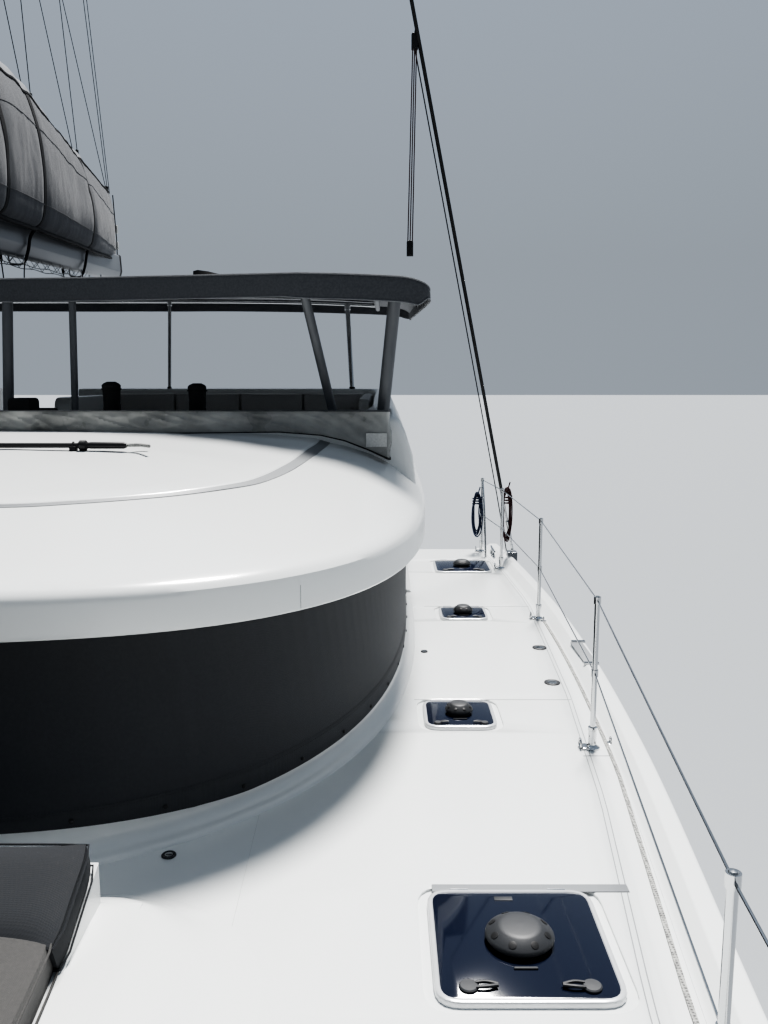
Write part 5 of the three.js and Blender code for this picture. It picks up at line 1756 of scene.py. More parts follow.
@dataclass
class UpperCockpit:
    """The windscreen band, winches, boat hook, helm, and trim of the upper cockpit."""

    skins: Palette
    screen_half: float = 2.735
    screen_top: float = 3.195
    screen_foot: tuple[Point, ...] = (
        (0.0, 3.050), (2.09, 3.070), (2.33, 3.052), (2.47, 3.020), (2.62, 2.962), (2.74, 2.905),
    )

    def screen_strip(self, form: Form, line: Sequence[Vector], low: float, high: float, skin: str) -> None:
        """Adds a flat hem along the windscreen between two shares of its height.

        Args:
            form: Form that takes the faces.
            line: Plan line of the windscreen.
            low: Lower share of its height.
            high: Upper share of its height.
            skin: Name of the hem's finish.
        """
        rings = []
        for i, p in enumerate(line):
            out = outward(line, i)
            foot = self.foot(p)
            z0, z1 = lerp(foot, self.screen_top, low), lerp(foot, self.screen_top, high)
            rings.append([(*(p + out * d), z) for d, z in ((-0.006, z0), (-0.006, z1), (0.005, z1),
                                                           (0.005, z0))])
        form.loft(rings, self.skins[skin])

    def foot(self, place: Vector) -> float:
        """Returns the height of the windscreen's foot at a place in plan."""
        return max(roof_height(place.x, place.y) - 0.004, table(self.screen_foot, abs(place.x)))

    def screen(self) -> None:
        """Makes the crinkled soft windscreen round the front of the coaming."""
        form = Form("windscreen_band")
        half = self.screen_half
        corner = [(-half, 1.975), (-half, 1.92), (-half + 0.006, 1.875), (-half + 0.02, 1.856),
                  (-half + 0.045, 1.85)]
        path = [Vector(p) for p in corner] + [Vector((lerp(-2.6, 2.6, k / 40), 1.85)) for k in range(41)]
        path += [Vector((-p[0], p[1])) for p in reversed(corner)]
        line = resampled(path, 420)
        rings = []
        for i, p in enumerate(line):
            out = outward(line, i)
            low = self.foot(p)
            front, back = [], []
            for k in range(15):
                t = k / 14
                slant = p.x * 4.2 - t * 1.5
                fold = 0.013 * noise.noise(Vector((slant, t * 0.9, 0.2)))
                fold += 0.010 * (1 - abs(noise.noise(Vector((p.x * 7.5 + t * 2.6, t * 1.2, 3.0)))) * 2) ** 3
                fold += 0.004 * noise.noise(Vector((p.x * 19.0 - t * 3.5, t * 3.0, 6.0)))
                fold *= math.sin(math.pi * t) ** 0.5
                front.append((*(p - out * fold), lerp(low, self.screen_top, t)))
                back.append((*(p - out * (fold - 0.0016)), lerp(low, self.screen_top, t)))
            rings.append([*front, *reversed(back)])
        form.loft(rings, self.skins["vinyl"])
        self.screen_strip(form, line, 0.975, 1.015, "canopy")
        self.screen_strip(form, line, -0.02, 0.022, "strap")
        plate = Vector((2.656, 1.842, 3.025))
        form.box(plate - Vector((0.061, 0.006, 0.040)), plate + Vector((0.061, 0.0, 0.040)),
                 self.skins["piping"], 0.002)
        ride(form.done(), BOAT, "vinyl", "windscreen")

    def hook(self) -> None:
        """Makes the boat hook that lies forward of the windscreen."""
        form = Form("boat_hook_pole")
        y, z = 1.225, 3.042
        black = self.skins["black"]
        form.tube([(-0.60, y, z), (1.16, y, z)], 0.0135, black, 14)
        form.tube([(-0.62, y, z), (-0.60, y, z), (-0.50, y, z), (-0.49, y, z)], [0.011, 0.017, 0.017, 0.014],
                  black, 14)
        grip = [(1.125, y, z), (1.135, y, z), (1.165, y, z), (1.175, y, z), (1.19, y, z), (1.36, y, z),
                (1.375, y, z)]
        form.tube(grip, [0.015, 0.027, 0.027, 0.016, 0.018, 0.018, 0.012], black, 16)
        tip = self.skins["rope_light"]
        form.tube(arc_points([(1.36, y, z), (1.44, y - 0.012, z + 0.003), (1.51, y - 0.075, z + 0.002)], 6),
                  0.009, tip, 10)
        form.tube(arc_points([(1.40, y, z), (1.44, y + 0.028, z - 0.002), (1.48, y + 0.03, z - 0.004)], 6),
                  0.008, tip, 8)
        for x in (-0.40, 1.10):
            low = roof_height(x, y) - 0.004
            form.box((x - 0.018, y - 0.02, low), (x + 0.018, y + 0.02, z - 0.004), black, 0.005)
            form.tube(circle((x, y, z), 0.017, 18, (0, 1, 0), (0, 0, 1)), 0.004, black, 8, closed=True)
        ride(form.done(), BOAT, "black", "boat_hook")

    def winch(self, name: str, x: float, y: float, height: float) -> None:
        """Makes a winch under its fitted cloth cover.

        Args:
            name: Name of the piece.
            x: Distance to port.
            y: Place along the boat.
            height: Height of the cover.
        """
        form = Form(name + "_body")
        z = 3.12
        form.lathe([(0, 0), (0.085, 0), (0.085, 0.010), (0.074, 0.018), (0, 0.018)], (x, y, z),
                   self.skins["stainless"], steps=28)
        rings = []
        for k in range(21):
            t = k / 20
            radius = 0.050 + 0.012 * (2 * t - 1) ** 2 + 0.010 * max(0.0, 1 - t / 0.16)
            if t > 0.88:
                radius *= 1 - ((t - 0.88) / 0.12) ** 2 * 0.6
            ring = []
            for place in circle((0, 0, 0), 1.0, 36, (1, 0, 0), (0, 1, 0)):
                bump = 0.003 * noise.noise(Vector((3 * place.x, 3 * place.y, 6 * t + x)))
                ring.append((x + (radius + bump) * place.x, y + (radius + bump) * place.y,
                             z + 0.016 + (height - 0.016) * t))
            rings.append(ring)
        form.loft(rings, self.skins["strap"])
        for at in (0.035, height - 0.045):
            form.tube(circle((x, y, z + at), 0.0625 if at < 0.1 else 0.058, 32, (1, 0, 0), (0, 1, 0)), 0.004,
                      self.skins["strap"], 8, closed=True)
        ride(form.done(), BOAT, "cover", name)

    def clutches(self) -> None:
        """Makes the rope clutches and organiser under their black covers."""
        form = Form("clutch_bank")
        z = 3.119
        skin = self.skins["strap"]
        for low, high in (((0.42, 2.05, z), (0.56, 2.22, 3.262)), ((0.545, 2.07, z), (0.685, 2.20, 3.20)),
                          ((1.10, 2.03, z), (1.21, 2.18, 3.165)), ((-0.55, 2.04, z), (-0.32, 2.20, 3.20))):
            form.box(low, high, skin, 0.022)
        for k in range(5):
            x = 0.45 + 0.045 * k
            path = arc_points([(x, 2.06, 3.17), (x + 0.004 * k, 2.0, 3.145), (x * 0.72, 1.94, 3.128),
                               (x * 0.42, 1.70, 3.075)], 6)
            form.tube(path, 0.0055, self.skins["rope_light"], 8)
        ride(form.done(), BOAT, "black")

    def wheel(self) -> None:
        """Makes the steering wheel with its leather rim, spokes and hub."""
        form = Form("steering_wheel_rim")
        x, y, z, r = -1.2, 2.72, 3.15, 0.34
        ring = [(x + r * math.cos(a), y, z + r * math.sin(a))
                for a in [2 * math.pi * k / 72 for k in range(72)]]
        form.tube(ring, 0.016, self.skins["black"], 14, closed=True)
        for k in range(5):
            turn = 2 * math.pi * k / 5 + math.pi / 2
            way = Vector((math.cos(turn), 0, math.sin(turn)))
            hub = Vector((x, y, z))
            form.tube(arc_points([hub + way * 0.03, hub + way * 0.18 + Vector((0, -0.015, 0)),
                                  hub + way * (r - 0.006)], 6),
                      [0.009 + 0.004 * (1 - i / 12) for i in range(13)], self.skins["stainless"], 10)
        form.lathe([(0, 0.03), (0.03, 0.03), (0.05, 0.018), (0.055, 0), (0.05, -0.02), (0, -0.02)], (x, y, z),
                   self.skins["stainless"], (0, 1, 0), 28)
        form.tube([(x, 2.625, z), (x, y, z)], 0.02, self.skins["stainless"], 16)
        ride(form.done(), "steering_wheel", "stainless", "steering_wheel")

    def console(self) -> None:
        """Makes the helm console with its instrument binnacle, throttles and compass."""
        form = Form("helm_console_pod")
        profile = fillet([(2.301, 2.66), (2.62, 2.66), (2.62, 3.26), (2.56, 3.33), (2.34, 3.33),
                          (2.301, 3.28)], [0, 0.02, 0.04, 0.03, 0.05, 0.02], 5)
        skin = self.skins["gelcoat"]
        form.loft([[(x, p.x, p.y) for p in profile] for x in (-1.58, -1.575, -0.825, -0.82)], skin)
        for cx, w in ((-1.42, 0.2), (-1.16, 0.2), (-0.95, 0.12)):
            form.box((cx - w / 2, 2.615, 3.09), (cx + w / 2, 2.626, 3.24), self.skins["black"], 0.004)
        form.lathe([(0, 0), (0.065, 0), (0.065, 0.02), (0.055, 0.05), (0.03, 0.075), (0, 0.082)],
                   (-1.2, 2.42, 3.33), self.skins["black"], steps=28)
        for cx in (-0.90, -0.86):
            form.tube([(cx, 2.50, 3.33), (cx, 2.50, 3.40), (cx, 2.47, 3.45)], 0.008,
                      self.skins["stainless"], 10)
        ride(form.done(), BOAT, "gelcoat", "helm_console")

    def build(self) -> None:
        """Makes every fitting of the upper cockpit."""
        self.screen()
        self.hook()
        self.winch("winch_inner", 1.03, 2.14, 0.24)
        self.winch("winch_outer", 1.555, 2.14, 0.23)
        self.clutches()
        self.wheel()
        self.console()


@dataclass
class Bimini:
    """The long canopy over the upper cockpit and the tubes that carry it."""

    skins: Palette
    rows: tuple[Point, ...] = (
        (1.870, 3.955, 0.040),
        (2.300, 3.965, 0.055),
        (3.300, 4.000, 0.075),
        (4.400, 4.040, 0.075),
        (5.400, 4.075, 0.065),
        (5.800, 4.080, 0.050),
    )
    half: float = 2.96
    corner: float = 0.06
    front_bottom: float = 3.805
    bows: tuple[float, ...] = (1.96, 3.3, 4.4, 5.3)
    tubes: tuple[tuple[Point, Point, float, str], ...] = (
        ((2.690, 2.100, 3.135), (2.770, 1.948, 3.915), 0.038, "grey_tube"),
        ((2.394, 2.250, 3.105), (2.223, 1.940, 3.925), 0.028, "grey_tube"),
        ((0.355, 2.220, 3.105), (0.345, 2.350, 3.950), 0.032, "grey_tube"),
        ((0.765, 2.240, 3.105), (0.765, 2.303, 3.950), 0.022, "grey_tube"),
        ((2.640, 1.930, 3.918), (2.640, 5.600, 4.043), 0.022, "grey_tube"),
        ((2.400, 5.080, 3.245), (2.350, 5.300, 4.070), 0.022, "stainless"),
    )
    single: tuple[tuple[Point, Point, float, str], ...] = (
        ((0.680, 5.080, 3.245), (0.660, 5.300, 4.110), 0.016, "stainless"),
        ((-1.250, 5.080, 3.245), (-1.250, 5.300, 4.100), 0.016, "stainless"),
    )

    def surface(self, x: float, y: float) -> float:
        """Returns the height of the canopy's top, by distance from the centreline and row.

        Args:
            x: Distance from the centreline.
            y: Place along the boat.

        Returns:
            The height.
        """
        edge, crown = station(self.rows, y)
        share = min(abs(x) / self.half, 1.0)
        over = min(max(0.0, (abs(x) - 2.76) / 0.20), 1.0)
        return edge + crown * (1 - share**4) - 0.066 * (1 - math.sqrt(1 - over * over))

    def hollow(self, x: float, y: float) -> float:
        """Returns how far aft of its row the cloth's front stands back at a place."""
        fade = min(max((3.3 - y) / 1.43, 0.0), 1.0)
        return 0.45 * fade * max(0.0, 1 - (x / 2.2) ** 2)

    def half_width(self, y: float) -> float:
        """Returns the canopy's half width, drawn in round its four corners.

        Args:
            y: Place along the boat.

        Returns:
            The half width.
        """
        r = self.corner
        over = max(1.87 + r - y, y - (5.80 - r), 0.0)
        return self.half - r + math.sqrt(max(r * r - over * over, 0.0))

    def sheet_rings(self, drop: float) -> list[list[Point]]:
        """Returns the canopy's grid as rings across the boat, each lowered by drop.

        Args:
            drop: How far every point is lowered.

        Returns:
            The rings, from the front.
        """
        r = self.corner
        places = [1.87 + r * (1 - math.cos(math.pi / 2 * k / 6)) for k in range(6)]
        places += [lerp(1.87 + r, 5.80 - r, k / 46) for k in range(47)]
        places += [5.80 - r * (1 - math.cos(math.pi / 2 * k / 6)) for k in range(5, -1, -1)]
        rings = []
        for y in places:
            wide = self.half_width(y)
            ring = []
            for k in range(81):
                x = wide * math.sin(math.pi / 2 * (k / 40 - 1))
                sag = 0.0
                for low, high in zip(self.bows, self.bows[1:]):
                    if low < y < high:
                        sag = 0.012 * math.sin(math.pi * (y - low)
                                               / (high - low)) * (1 - (x / self.half) ** 4)
                z = self.surface(x, y) - sag + 0.0025 * noise.noise(Vector((x * 2.2, y * 3.1, 0.4)))
                ring.append((x, y + self.hollow(x, y), z - drop))
            rings.append(ring)
        return rings

    def edge_loop(self) -> list[Vector]:
        """Returns the canopy's rim as a loop.

        Returns:
            The loop's points.
        """
        rings = self.sheet_rings(0.0)
        port = [Vector(r[-1]) for r in rings]
        starboard = [Vector(r[0]) for r in rings]
        front = [Vector(p) for p in rings[0]]
        back = [Vector(p) for p in reversed(rings[-1])]
        return [*front, *port[1:], *back[1:], *list(reversed(starboard))[1:-1]]

    def rim_rows(self) -> list[tuple[Vector, Vector, float]]:
        """Returns, along the rim, each place, its outward direction and the depth of the valance.

        Returns:
            Place, direction and depth of each row.
        """
        loop = self.edge_loop()
        made = []
        for i, p in enumerate(loop):
            along = loop[(i + 1) % len(loop)] - loop[i - 1]
            out = Vector((along.y, -along.x, 0)).normalized()
            front, back, side = max(0.0, -out.y) ** 2, max(0.0, out.y) ** 2, out.x**2
            over = min(max(0.0, (abs(p.x) - 2.84) / 0.12), 1.0)
            bottom = self.front_bottom + 0.055 * (1 - math.sqrt(1 - over * over))
            deep = front * min(0.133, p.z - bottom) + back * 0.08 + side * 0.055
            made.append((p, out, deep))
        return made

    def canopy(self) -> None:
        """Makes the cloth top with its rolled rim, valances and pale piping."""
        form = Form("bimini_cloth")
        skin = self.skins["canopy"]
        form.loft(self.sheet_rings(0.0), skin, caps=False, closed=False)
        form.loft([list(reversed(r)) for r in self.sheet_rings(0.016)], self.skins["bag_flap"], caps=False,
                  closed=False)
        rows = self.rim_rows()
        rings = []
        for p, out, deep in rows:
            section = [(0.0, 0.0), (0.007, -0.004), (0.013, -0.014), (0.014, -0.03),
                       (0.015, -0.6 * deep - 0.01), (0.013, -deep - 0.012),
                       (0.005, -deep - 0.016), (0.0, -deep - 0.012), (0.0, -0.022)]
            rings.append([p + out * (d - 0.004) + Vector((0, 0, h)) for d, h in section])
        form.loft(rings, skin, looped=True)
        ride(form.done(), BOAT, "canopy", "bimini_canopy")
        piping = Form("bimini_piping")
        edge = [p + out * 0.006 + Vector((0, 0, -0.006)) for p, out, _ in rows]
        piping.tube(edge, 0.0045, self.skins["bag_flap"], 8, closed=True)
        edge = [p + out * 0.0095 + Vector((0, 0, -deep - 0.013)) for p, out, deep in rows]
        piping.tube(edge, 0.004, self.skins["bag_flap"], 8, closed=True)
        for y in self.bows[1:3]:
            path = [(x, y + self.hollow(x, y), self.surface(x, y) + 0.001)
                    for x in [lerp(-2.93, 2.93, k / 50) for k in range(51)]]
            piping.tube(path, 0.0035, skin, 6)
        # Battens under the canopy; their pale colour is a painted highlight along them.
        for x in (-1.94, -1.68, -1.05, 1.05, 1.68, 1.94):
            path = [(x, y, self.surface(x, y) - 0.030) for y in (2.84, 3.1, 3.4, 3.66)]
            piping.tube(path, 0.009, self.skins["piping"], 8)
        wedge = [(1.50, 0.034), (1.53, 0.040), (1.60, 0.030), (1.70, 0.006)]
        rings = []
        for x, tall in wedge:
            z = self.surface(x, 2.20) + 0.002
            y = 2.20 + self.hollow(x, 2.20)
            rings.append([(x, y, z), (x, y + 0.10, z), (x, y + 0.085, z + tall), (x, y + 0.015, z + tall)])
        piping.loft(rings, self.skins["strap"])
        ride(piping.done(), BOAT, "canopy")

    def leg(self, form: Form, start: Vector, end: Vector, radius: float, skin: str) -> None:
        """Adds one tube of the frame, with a socket at its foot and a clamp near its head.

        Args:
            form: Form that takes the faces.
            start: Foot of the tube.
            end: Head of the tube.
            radius: Its radius.
            skin: Material of the tube.
        """
        steel = self.skins["stainless"]
        form.tube([start, end], radius, self.skins[skin], 20)
        if start.z > 3.5:
            return
        base = [(0, -0.004), (2.0, -0.004), (2.0, 0.004), (1.4, 0.010), (1.25, 0.016), (1.22, 0.045),
                (0, 0.045)]
        form.lathe([(r * radius, h) for r, h in base], start, self.skins["black"] if skin == "stainless"
                   else self.skins[skin], steps=28)
        collar = [(0, -0.02), (1.3, -0.02), (1.3, 0.02), (0, 0.02)]
        form.lathe([(r * radius, h) for r, h in collar], start.lerp(end, 0.955), steel,
                   tuple(end - start), 24)

    def frame(self) -> None:
        """Makes the posts, braces and bows."""
        form = Form("bimini_tubes")
        for sign in SIDES.values():
            for start, end, radius, skin in self.tubes:
                a, b = (Vector((p[0] * sign, p[1], p[2])) for p in (start, end))
                self.leg(form, a, b, radius, skin)
        for start, end, radius, skin in self.single:
            self.leg(form, Vector(start), Vector(end), radius, skin)
        for y in self.bows:
            path = []
            for k in range(61):
                x = 2.62 * lerp(-1, 1, k / 60)
                path.append((x, y + self.hollow(x, y), self.surface(x, y) - 0.043))
            form.tube(path, 0.019, self.skins["stainless"], 14)
        ride(form.done(), BOAT, "grey_tube", "bimini_frame")

    def build(self) -> None:
        """Makes the canopy and its frame."""
        self.canopy()
        self.frame()


# Rig


BOOM_START = 0.06
BOOM_END = 5.50
BOOM_PLACE = Matrix.Translation((0, 1.56, 4.33)) @ Matrix.Rotation(math.radians(4), 4, "Z")


def on_boom(x: float, along: float, up: float) -> Vector:
    """Returns a place given to port of the boom, aft of its gooseneck and above its underside."""
    return BOOM_PLACE @ Vector((x, along, 0.0506 * along - 0.136 + up))


@dataclass
class Rig:
    """Mast, boom, sail bag, shrouds, headsail and running rigging."""

    skins: Palette
    mast_y: float = 1.40
    foot: float = 3.066
    top: float = 20.5
    hounds: float = 18.7
    bag: tuple[Point, ...] = (
        (0.14, 0.120, 0.950),
        (0.70, 0.235, 1.100),
        (1.34, 0.260, 1.165),
        (2.05, 0.255, 1.154),
        (2.72, 0.240, 1.071),
        (3.54, 0.215, 0.952),
        (4.10, 0.185, 0.895),
        (4.98, 0.130, 0.768),
        (5.42, 0.060, 0.742),
    )
    bag_foot: float = 0.21
    bag_shape: tuple[Point, ...] = (
        (0.70, 0.0), (0.90, 0.05), (1.0, 0.16), (1.03, 0.30), (1.0, 0.44), (0.90, 0.60), (0.74, 0.74),
        (0.52, 0.87), (0.28, 0.955), (0.05, 1.0),
    )
    straps: tuple[float, ...] = (0.62, 1.35, 2.20, 3.88)
    jacks: tuple[float, ...] = (1.2, 2.70, 4.10, 5.34)

    def mast(self) -> None:
        """Makes the mast with its track, spreaders, head block and fittings."""
        form = Form("mast_tube")
        skin = self.skins["aluminium"]
        rings = []
        for z, scale in ((self.foot, 1.0), (self.hounds, 1.0), (19.6, 0.86), (self.top - 0.06, 0.72),
                         (self.top, 0.70)):
            ring = []
            for k in range(40):
                turn = 2 * math.pi * k / 40
                c, s = math.cos(turn), math.sin(turn)
                x = 0.085 * scale * math.copysign(abs(c) ** 0.85, c)
                y = 0.130 * scale * math.copysign(abs(s) ** 0.9, s)
                ring.append((x, self.mast_y + y, z))
            rings.append(ring)
        form.loft(rings, skin)
        form.box((-0.014, 1.515, 4.4), (0.014, 1.538, self.hounds + 0.9), self.skins["aluminium"], 0.002)
        form.box((-0.115, 1.24, self.foot), (0.115, 1.56, self.foot + 0.03), self.skins["stainless"], 0.01)
        for z, reach in ((8.6, 0.98), (13.6, 0.82)):
            for sign in SIDES.values():
                rings = []
                for t in range(9):
                    u = t / 8
                    x, half, thick = sign * lerp(0.06, reach, u), lerp(0.075, 0.04, u), lerp(0.022, 0.014, u)
                    y = self.mast_y + 0.04 * u
                    rings.append([(x, y + half * math.cos(a), z + 0.03 * u + thick * math.sin(a))
                                  for a in [2 * math.pi * k / 16 for k in range(16)]])
                form.loft(rings, skin)
        for sign in SIDES.values():
            path = [(sign * 0.088, self.mast_y, 3.9), (sign * 0.975, self.mast_y + 0.04, 8.63),
                    (sign * 0.815, self.mast_y + 0.04, 13.63), (sign * 0.075, self.mast_y, self.hounds)]
            form.tube(path, 0.006, self.skins["stainless"], 8)
            for z in (1.0, 1.25):
                form.box((sign * 0.09 - 0.03, 1.30, self.foot + z),
                         (sign * 0.09 + 0.03, 1.48, self.foot + z + 0.05), self.skins["stainless"], 0.008)
            form.lathe([(0, 0), (0.055, 0), (0.05, 0.03), (0.038, 0.05), (0.045, 0.09), (0, 0.1)],
                       (sign * 0.07, 1.36, self.foot + 0.72), self.skins["stainless"], (sign, 0, 0), 24)
        form.box((-0.045, self.mast_y - 0.26, self.top - 0.06), (0.045, self.mast_y + 0.26, self.top), skin,
                 0.012)
        ride(form.done(), BOAT, "aluminium", "mast")
        trim = Form("masthead_gear")
        trim.tube([(0.03, 1.62, self.top - 0.02), (0.03, 1.62, self.top + 0.10)], 0.004,
                  self.skins["stainless"], 8)
        trim.lathe([(0, 0), (0.03, 0), (0.03, 0.05), (0.02, 0.07), (0, 0.075)], (-0.01, 1.2, self.top),
                   self.skins["piping"], steps=20)
        trim.tube([(0, self.mast_y - 0.25, self.top - 0.02), (0, self.mast_y - 0.4, self.top + 0.06),
                   (0, self.mast_y - 0.56, self.top + 0.07)], 0.004, self.skins["black"], 6)
        ride(trim.done(), BOAT, "stainless")

    def boom(self) -> None:
        """Makes the boom with its gooseneck, bails, end fitting and the line laced under it."""
        form = Form("boom_spar")
        section = fillet([(0.062, 0), (0.095, 0.09), (0.086, 0.27), (-0.086, 0.27), (-0.095, 0.09),
                          (-0.062, 0)], [0.04, 0.05, 0.02, 0.02, 0.05, 0.04])
        form.loft([[on_boom(p.x, lerp(BOOM_START, BOOM_END, k / 24), p.y) for p in section]
                   for k in range(25)], self.skins["boom_paint"])
        cap = [[on_boom(p.x * f, BOOM_END + d, 0.135 + (p.y - 0.135) * f) for p in section] for d,
               f in ((-0.04, 1.04), (0.012, 1.04), (0.02, 0.97))]
        form.loft(cap, self.skins["black"])
        steel = self.skins["stainless"]
        for along in (2.2, 3.9, 4.65):
            path = [on_boom(x, along, up) for x, up in ((-0.06, 0.01), (-0.045, -0.05), (0.045, -0.05),
                                                        (0.06, 0.01))]
            form.tube(arc_points(path, 6), 0.008, steel, 8)
        form.lathe([(0, -0.124), (0.03, -0.124), (0.03, 0.124), (0, 0.124)], (0, 1.56, 4.33), steel, steps=24)
        fork = [[BOOM_PLACE @ Vector((x * 0.02, y, z * 0.08)) for x,
                 z in ((1, -1), (1, 1), (-1, 1), (-1, -1))] for y in (0.0, 0.08)]
        form.loft(fork, steel)
        for sign in (1, -1):
            form.tube([on_boom(sign * 0.060, 1.4 + 0.1 * k, -0.062 + 0.006 * math.sin(k)) for k in range(28)],
                      0.0035, self.skins["rope_light"], 6)
            ties = [on_boom(sign * 0.062, 1.4 + 0.15 * k, -0.062 if k % 2 else 0.004) for k in range(19)]
            form.tube(ties, 0.0025, self.skins["rope_light"], 5)
        for x, skin in ((0.045, "strap"), (-0.03, "rope_blue")):
            form.tube([on_boom(x, BOOM_END + 0.03, 0.02), on_boom(x, BOOM_END + 0.04, 0.45),
                       on_boom(x * 0.6, BOOM_END + 0.02, 0.93)], 0.006, self.skins[skin], 8)
        for up in (0.34, 0.52):
            low = on_boom(0.03, BOOM_END + 0.035, up)
            form.box(low, low + Vector((0.03, 0.025, 0.085)), self.skins["piping"], 0.008)
        ride(form.done(), "boom", "aluminium", "boom")

    def cloth(self, along: float, share: float, sign: float, lift: float = 0.0) -> Vector:
        """Returns a point of the bag's wrinkled skin.

        Args:
            along: Distance aft of the gooseneck.
            share: How far up the section, from 0 at the foot to 1 at the ridge.
            sign: 1 for port, -1 for starboard.
            lift: How far outside the skin.

        Returns:
            The point in the boat's frame.
        """
        half, tall = station(self.bag, along)
        low, high = spline(self.bag_shape, share - 0.01), spline(self.bag_shape, share + 0.01)
        tangent = Vector(((high[0] - low[0]) * half, (high[1] - low[1]) * tall)).normalized()
        w, h = spline(self.bag_shape, share)
        fold = 0.022 * noise.noise(Vector((along * 1.1, h * 2.0 + sign * 7, 0.0)))
        fold += 0.016 * noise.noise(Vector((along * 4.2 - h * 3.4, h * 2.0, 2.0 + sign))) * (0.4 + h)
        fold += 0.004 * noise.noise(Vector((along * 15.0, h * 5.0, 5.0 + sign)))
        near = min(abs(along - strap) for strap in self.straps)
        fold -= 0.018 * math.exp(-((near / 0.07) ** 2))
        out = (fold * min(1.0, w * half / 0.08) + lift)
        rise = 0.010 * noise.noise(Vector((along * 2.6, 9.0, 0.3))) * h
        return on_boom(sign * max(w * half + tangent.y * out, 0.001), along,
                       self.bag_foot + tall * h - tangent.x * out + rise)

    def ribbon(self, form: Form, places: Sequence[tuple[float, float]], sign: float, wide: float,
               skin: str) -> None:
        """Adds a flat strap that lies on the bag's skin.

        Args:
            form: Form that takes the strap.
            places: Its path, as distance along the boom and share up the section.
            sign: 1 for port, -1 for starboard.
            wide: Its width along the boom.
            skin: Material name.
        """
        rows = []
        for along, share in places:
            corners = ((-wide / 2, 0.001), (wide / 2, 0.001), (wide / 2, 0.005), (-wide / 2, 0.005))
            rows.append([self.cloth(along + shift, share, sign, lift) for shift, lift in corners])
        form.loft(rows, self.skins[skin])

    def flap(self, form: Form, sign: float, start: float, end: float, low: float) -> None:
        """Adds the pale flap over the ridge with the dark zip along its lower edge.

        Args:
            form: Form that takes the faces.
            sign: 1 to port, -1 to starboard.
            start: Forward end along the boom.
            end: Aft end along the boom.
            low: Share up the cloth of its lower edge.
        """
        rows = []
        edge = []
        for k in range(61):
            along = lerp(start, end, k / 60)
            shares = [lerp(low, 0.995, j / 5) for j in range(6)]
            outer = [self.cloth(along, share, sign, 0.011) for share in shares]
            inner = [self.cloth(along, share, sign, 0.003) for share in reversed(shares)]
            rows.append([*outer, *inner])
            edge.append(self.cloth(along, low - 0.012, sign, 0.003))
        form.loft(rows, self.skins["bag_flap"])
        form.tube(edge, 0.0075, self.skins["strap"], 8)

    def sail_bag(self) -> None:
        """Makes the wrinkled bag with the sail in it, its straps, flap, seams, dark foot line and painted
        shade.
        """
        form = Form("bag_cloth")
        rings = []
        for i in range(181):
            along = lerp(0.14, 5.42, i / 180)
            port = [self.cloth(along, k / 34, 1) for k in range(35)]
            starboard = [self.cloth(along, k / 34, -1) for k in range(34, -1, -1)]
            rings.append([*port, *starboard])
        form.loft(rings, self.skins["bag"])
        for sign in (1, -1):
            self.flap(form, sign, 0.2, 2.84, 0.80)
            self.flap(form, sign, 3.33, 4.06, 0.83)
            # Black patch between the flaps and black line aft of them: painted shade of the openings where
            # the flap lifts off.
            painted_shade_openings = [(lerp(2.84, 3.33, k / 10), 0.87 - 0.05 * math.sin(math.pi * k / 10)) for k in range(11)]
            rows = [[self.cloth(a, share, sign, 0.002), self.cloth(a, 0.985, sign, 0.002),
                     self.cloth(a, 0.985, sign, 0.006), self.cloth(a, share, sign, 0.006)]
                    for a, share in painted_shade_openings]
            form.loft(rows, self.skins["strap"])
            form.tube([self.cloth(lerp(4.06, 5.36, k / 30), 0.93, sign, 0.006) for k in range(31)], 0.010,
                      self.skins["strap"], 8)
            for strap in self.straps:
                top = 0.80 if strap < 3 else 0.93
                places = [(strap + 0.05 * (1 - k / 30) ** 2, lerp(top, 0.0, k / 30)) for k in range(31)]
                self.ribbon(form, places, sign, 0.042, "strap")
                tail = [self.cloth(strap, 0.0, sign, 0.004), on_boom(sign * 0.120, strap - 0.01, 0.15),
                        on_boom(sign * 0.108, strap - 0.04, 0.05),
                        on_boom(sign * 0.085, strap - 0.08, -0.07),
                        on_boom(sign * 0.075, strap - 0.08, -0.20)]
                form.tube(arc_points(tail, 5), [0.013] * 14 + [0.005] * 7, self.skins["strap"], 8)
            for share, radius in ((0.60, 0.003), (0.22, 0.003)):
                form.tube([self.cloth(lerp(0.2, 5.38, k / 90), share, sign, 0.001) for k in range(91)],
                          radius, self.skins["bag"], 6)
            # Dark band along the foot: partly the lashing to the boom, partly painted shade under the bag's
            # bulge.
            foot = [self.cloth(lerp(0.16, 5.40, k / 80), 0.0, sign, 0.004) - Vector((0, 0, 0.006))
                    for k in range(81)]
            form.tube(foot, 0.016, self.skins["strap"], 8)
            for along in self.jacks:
                form.box(self.cloth(along, 0.96, sign) - Vector((0.012, 0.016, 0.01)),
                         self.cloth(along, 0.96, sign) + Vector((0.012, 0.016, 0.05)),
                         self.skins["black"], 0.005)
        ride(form.done(math.radians(60)), "boom", "bag", "sail_bag")

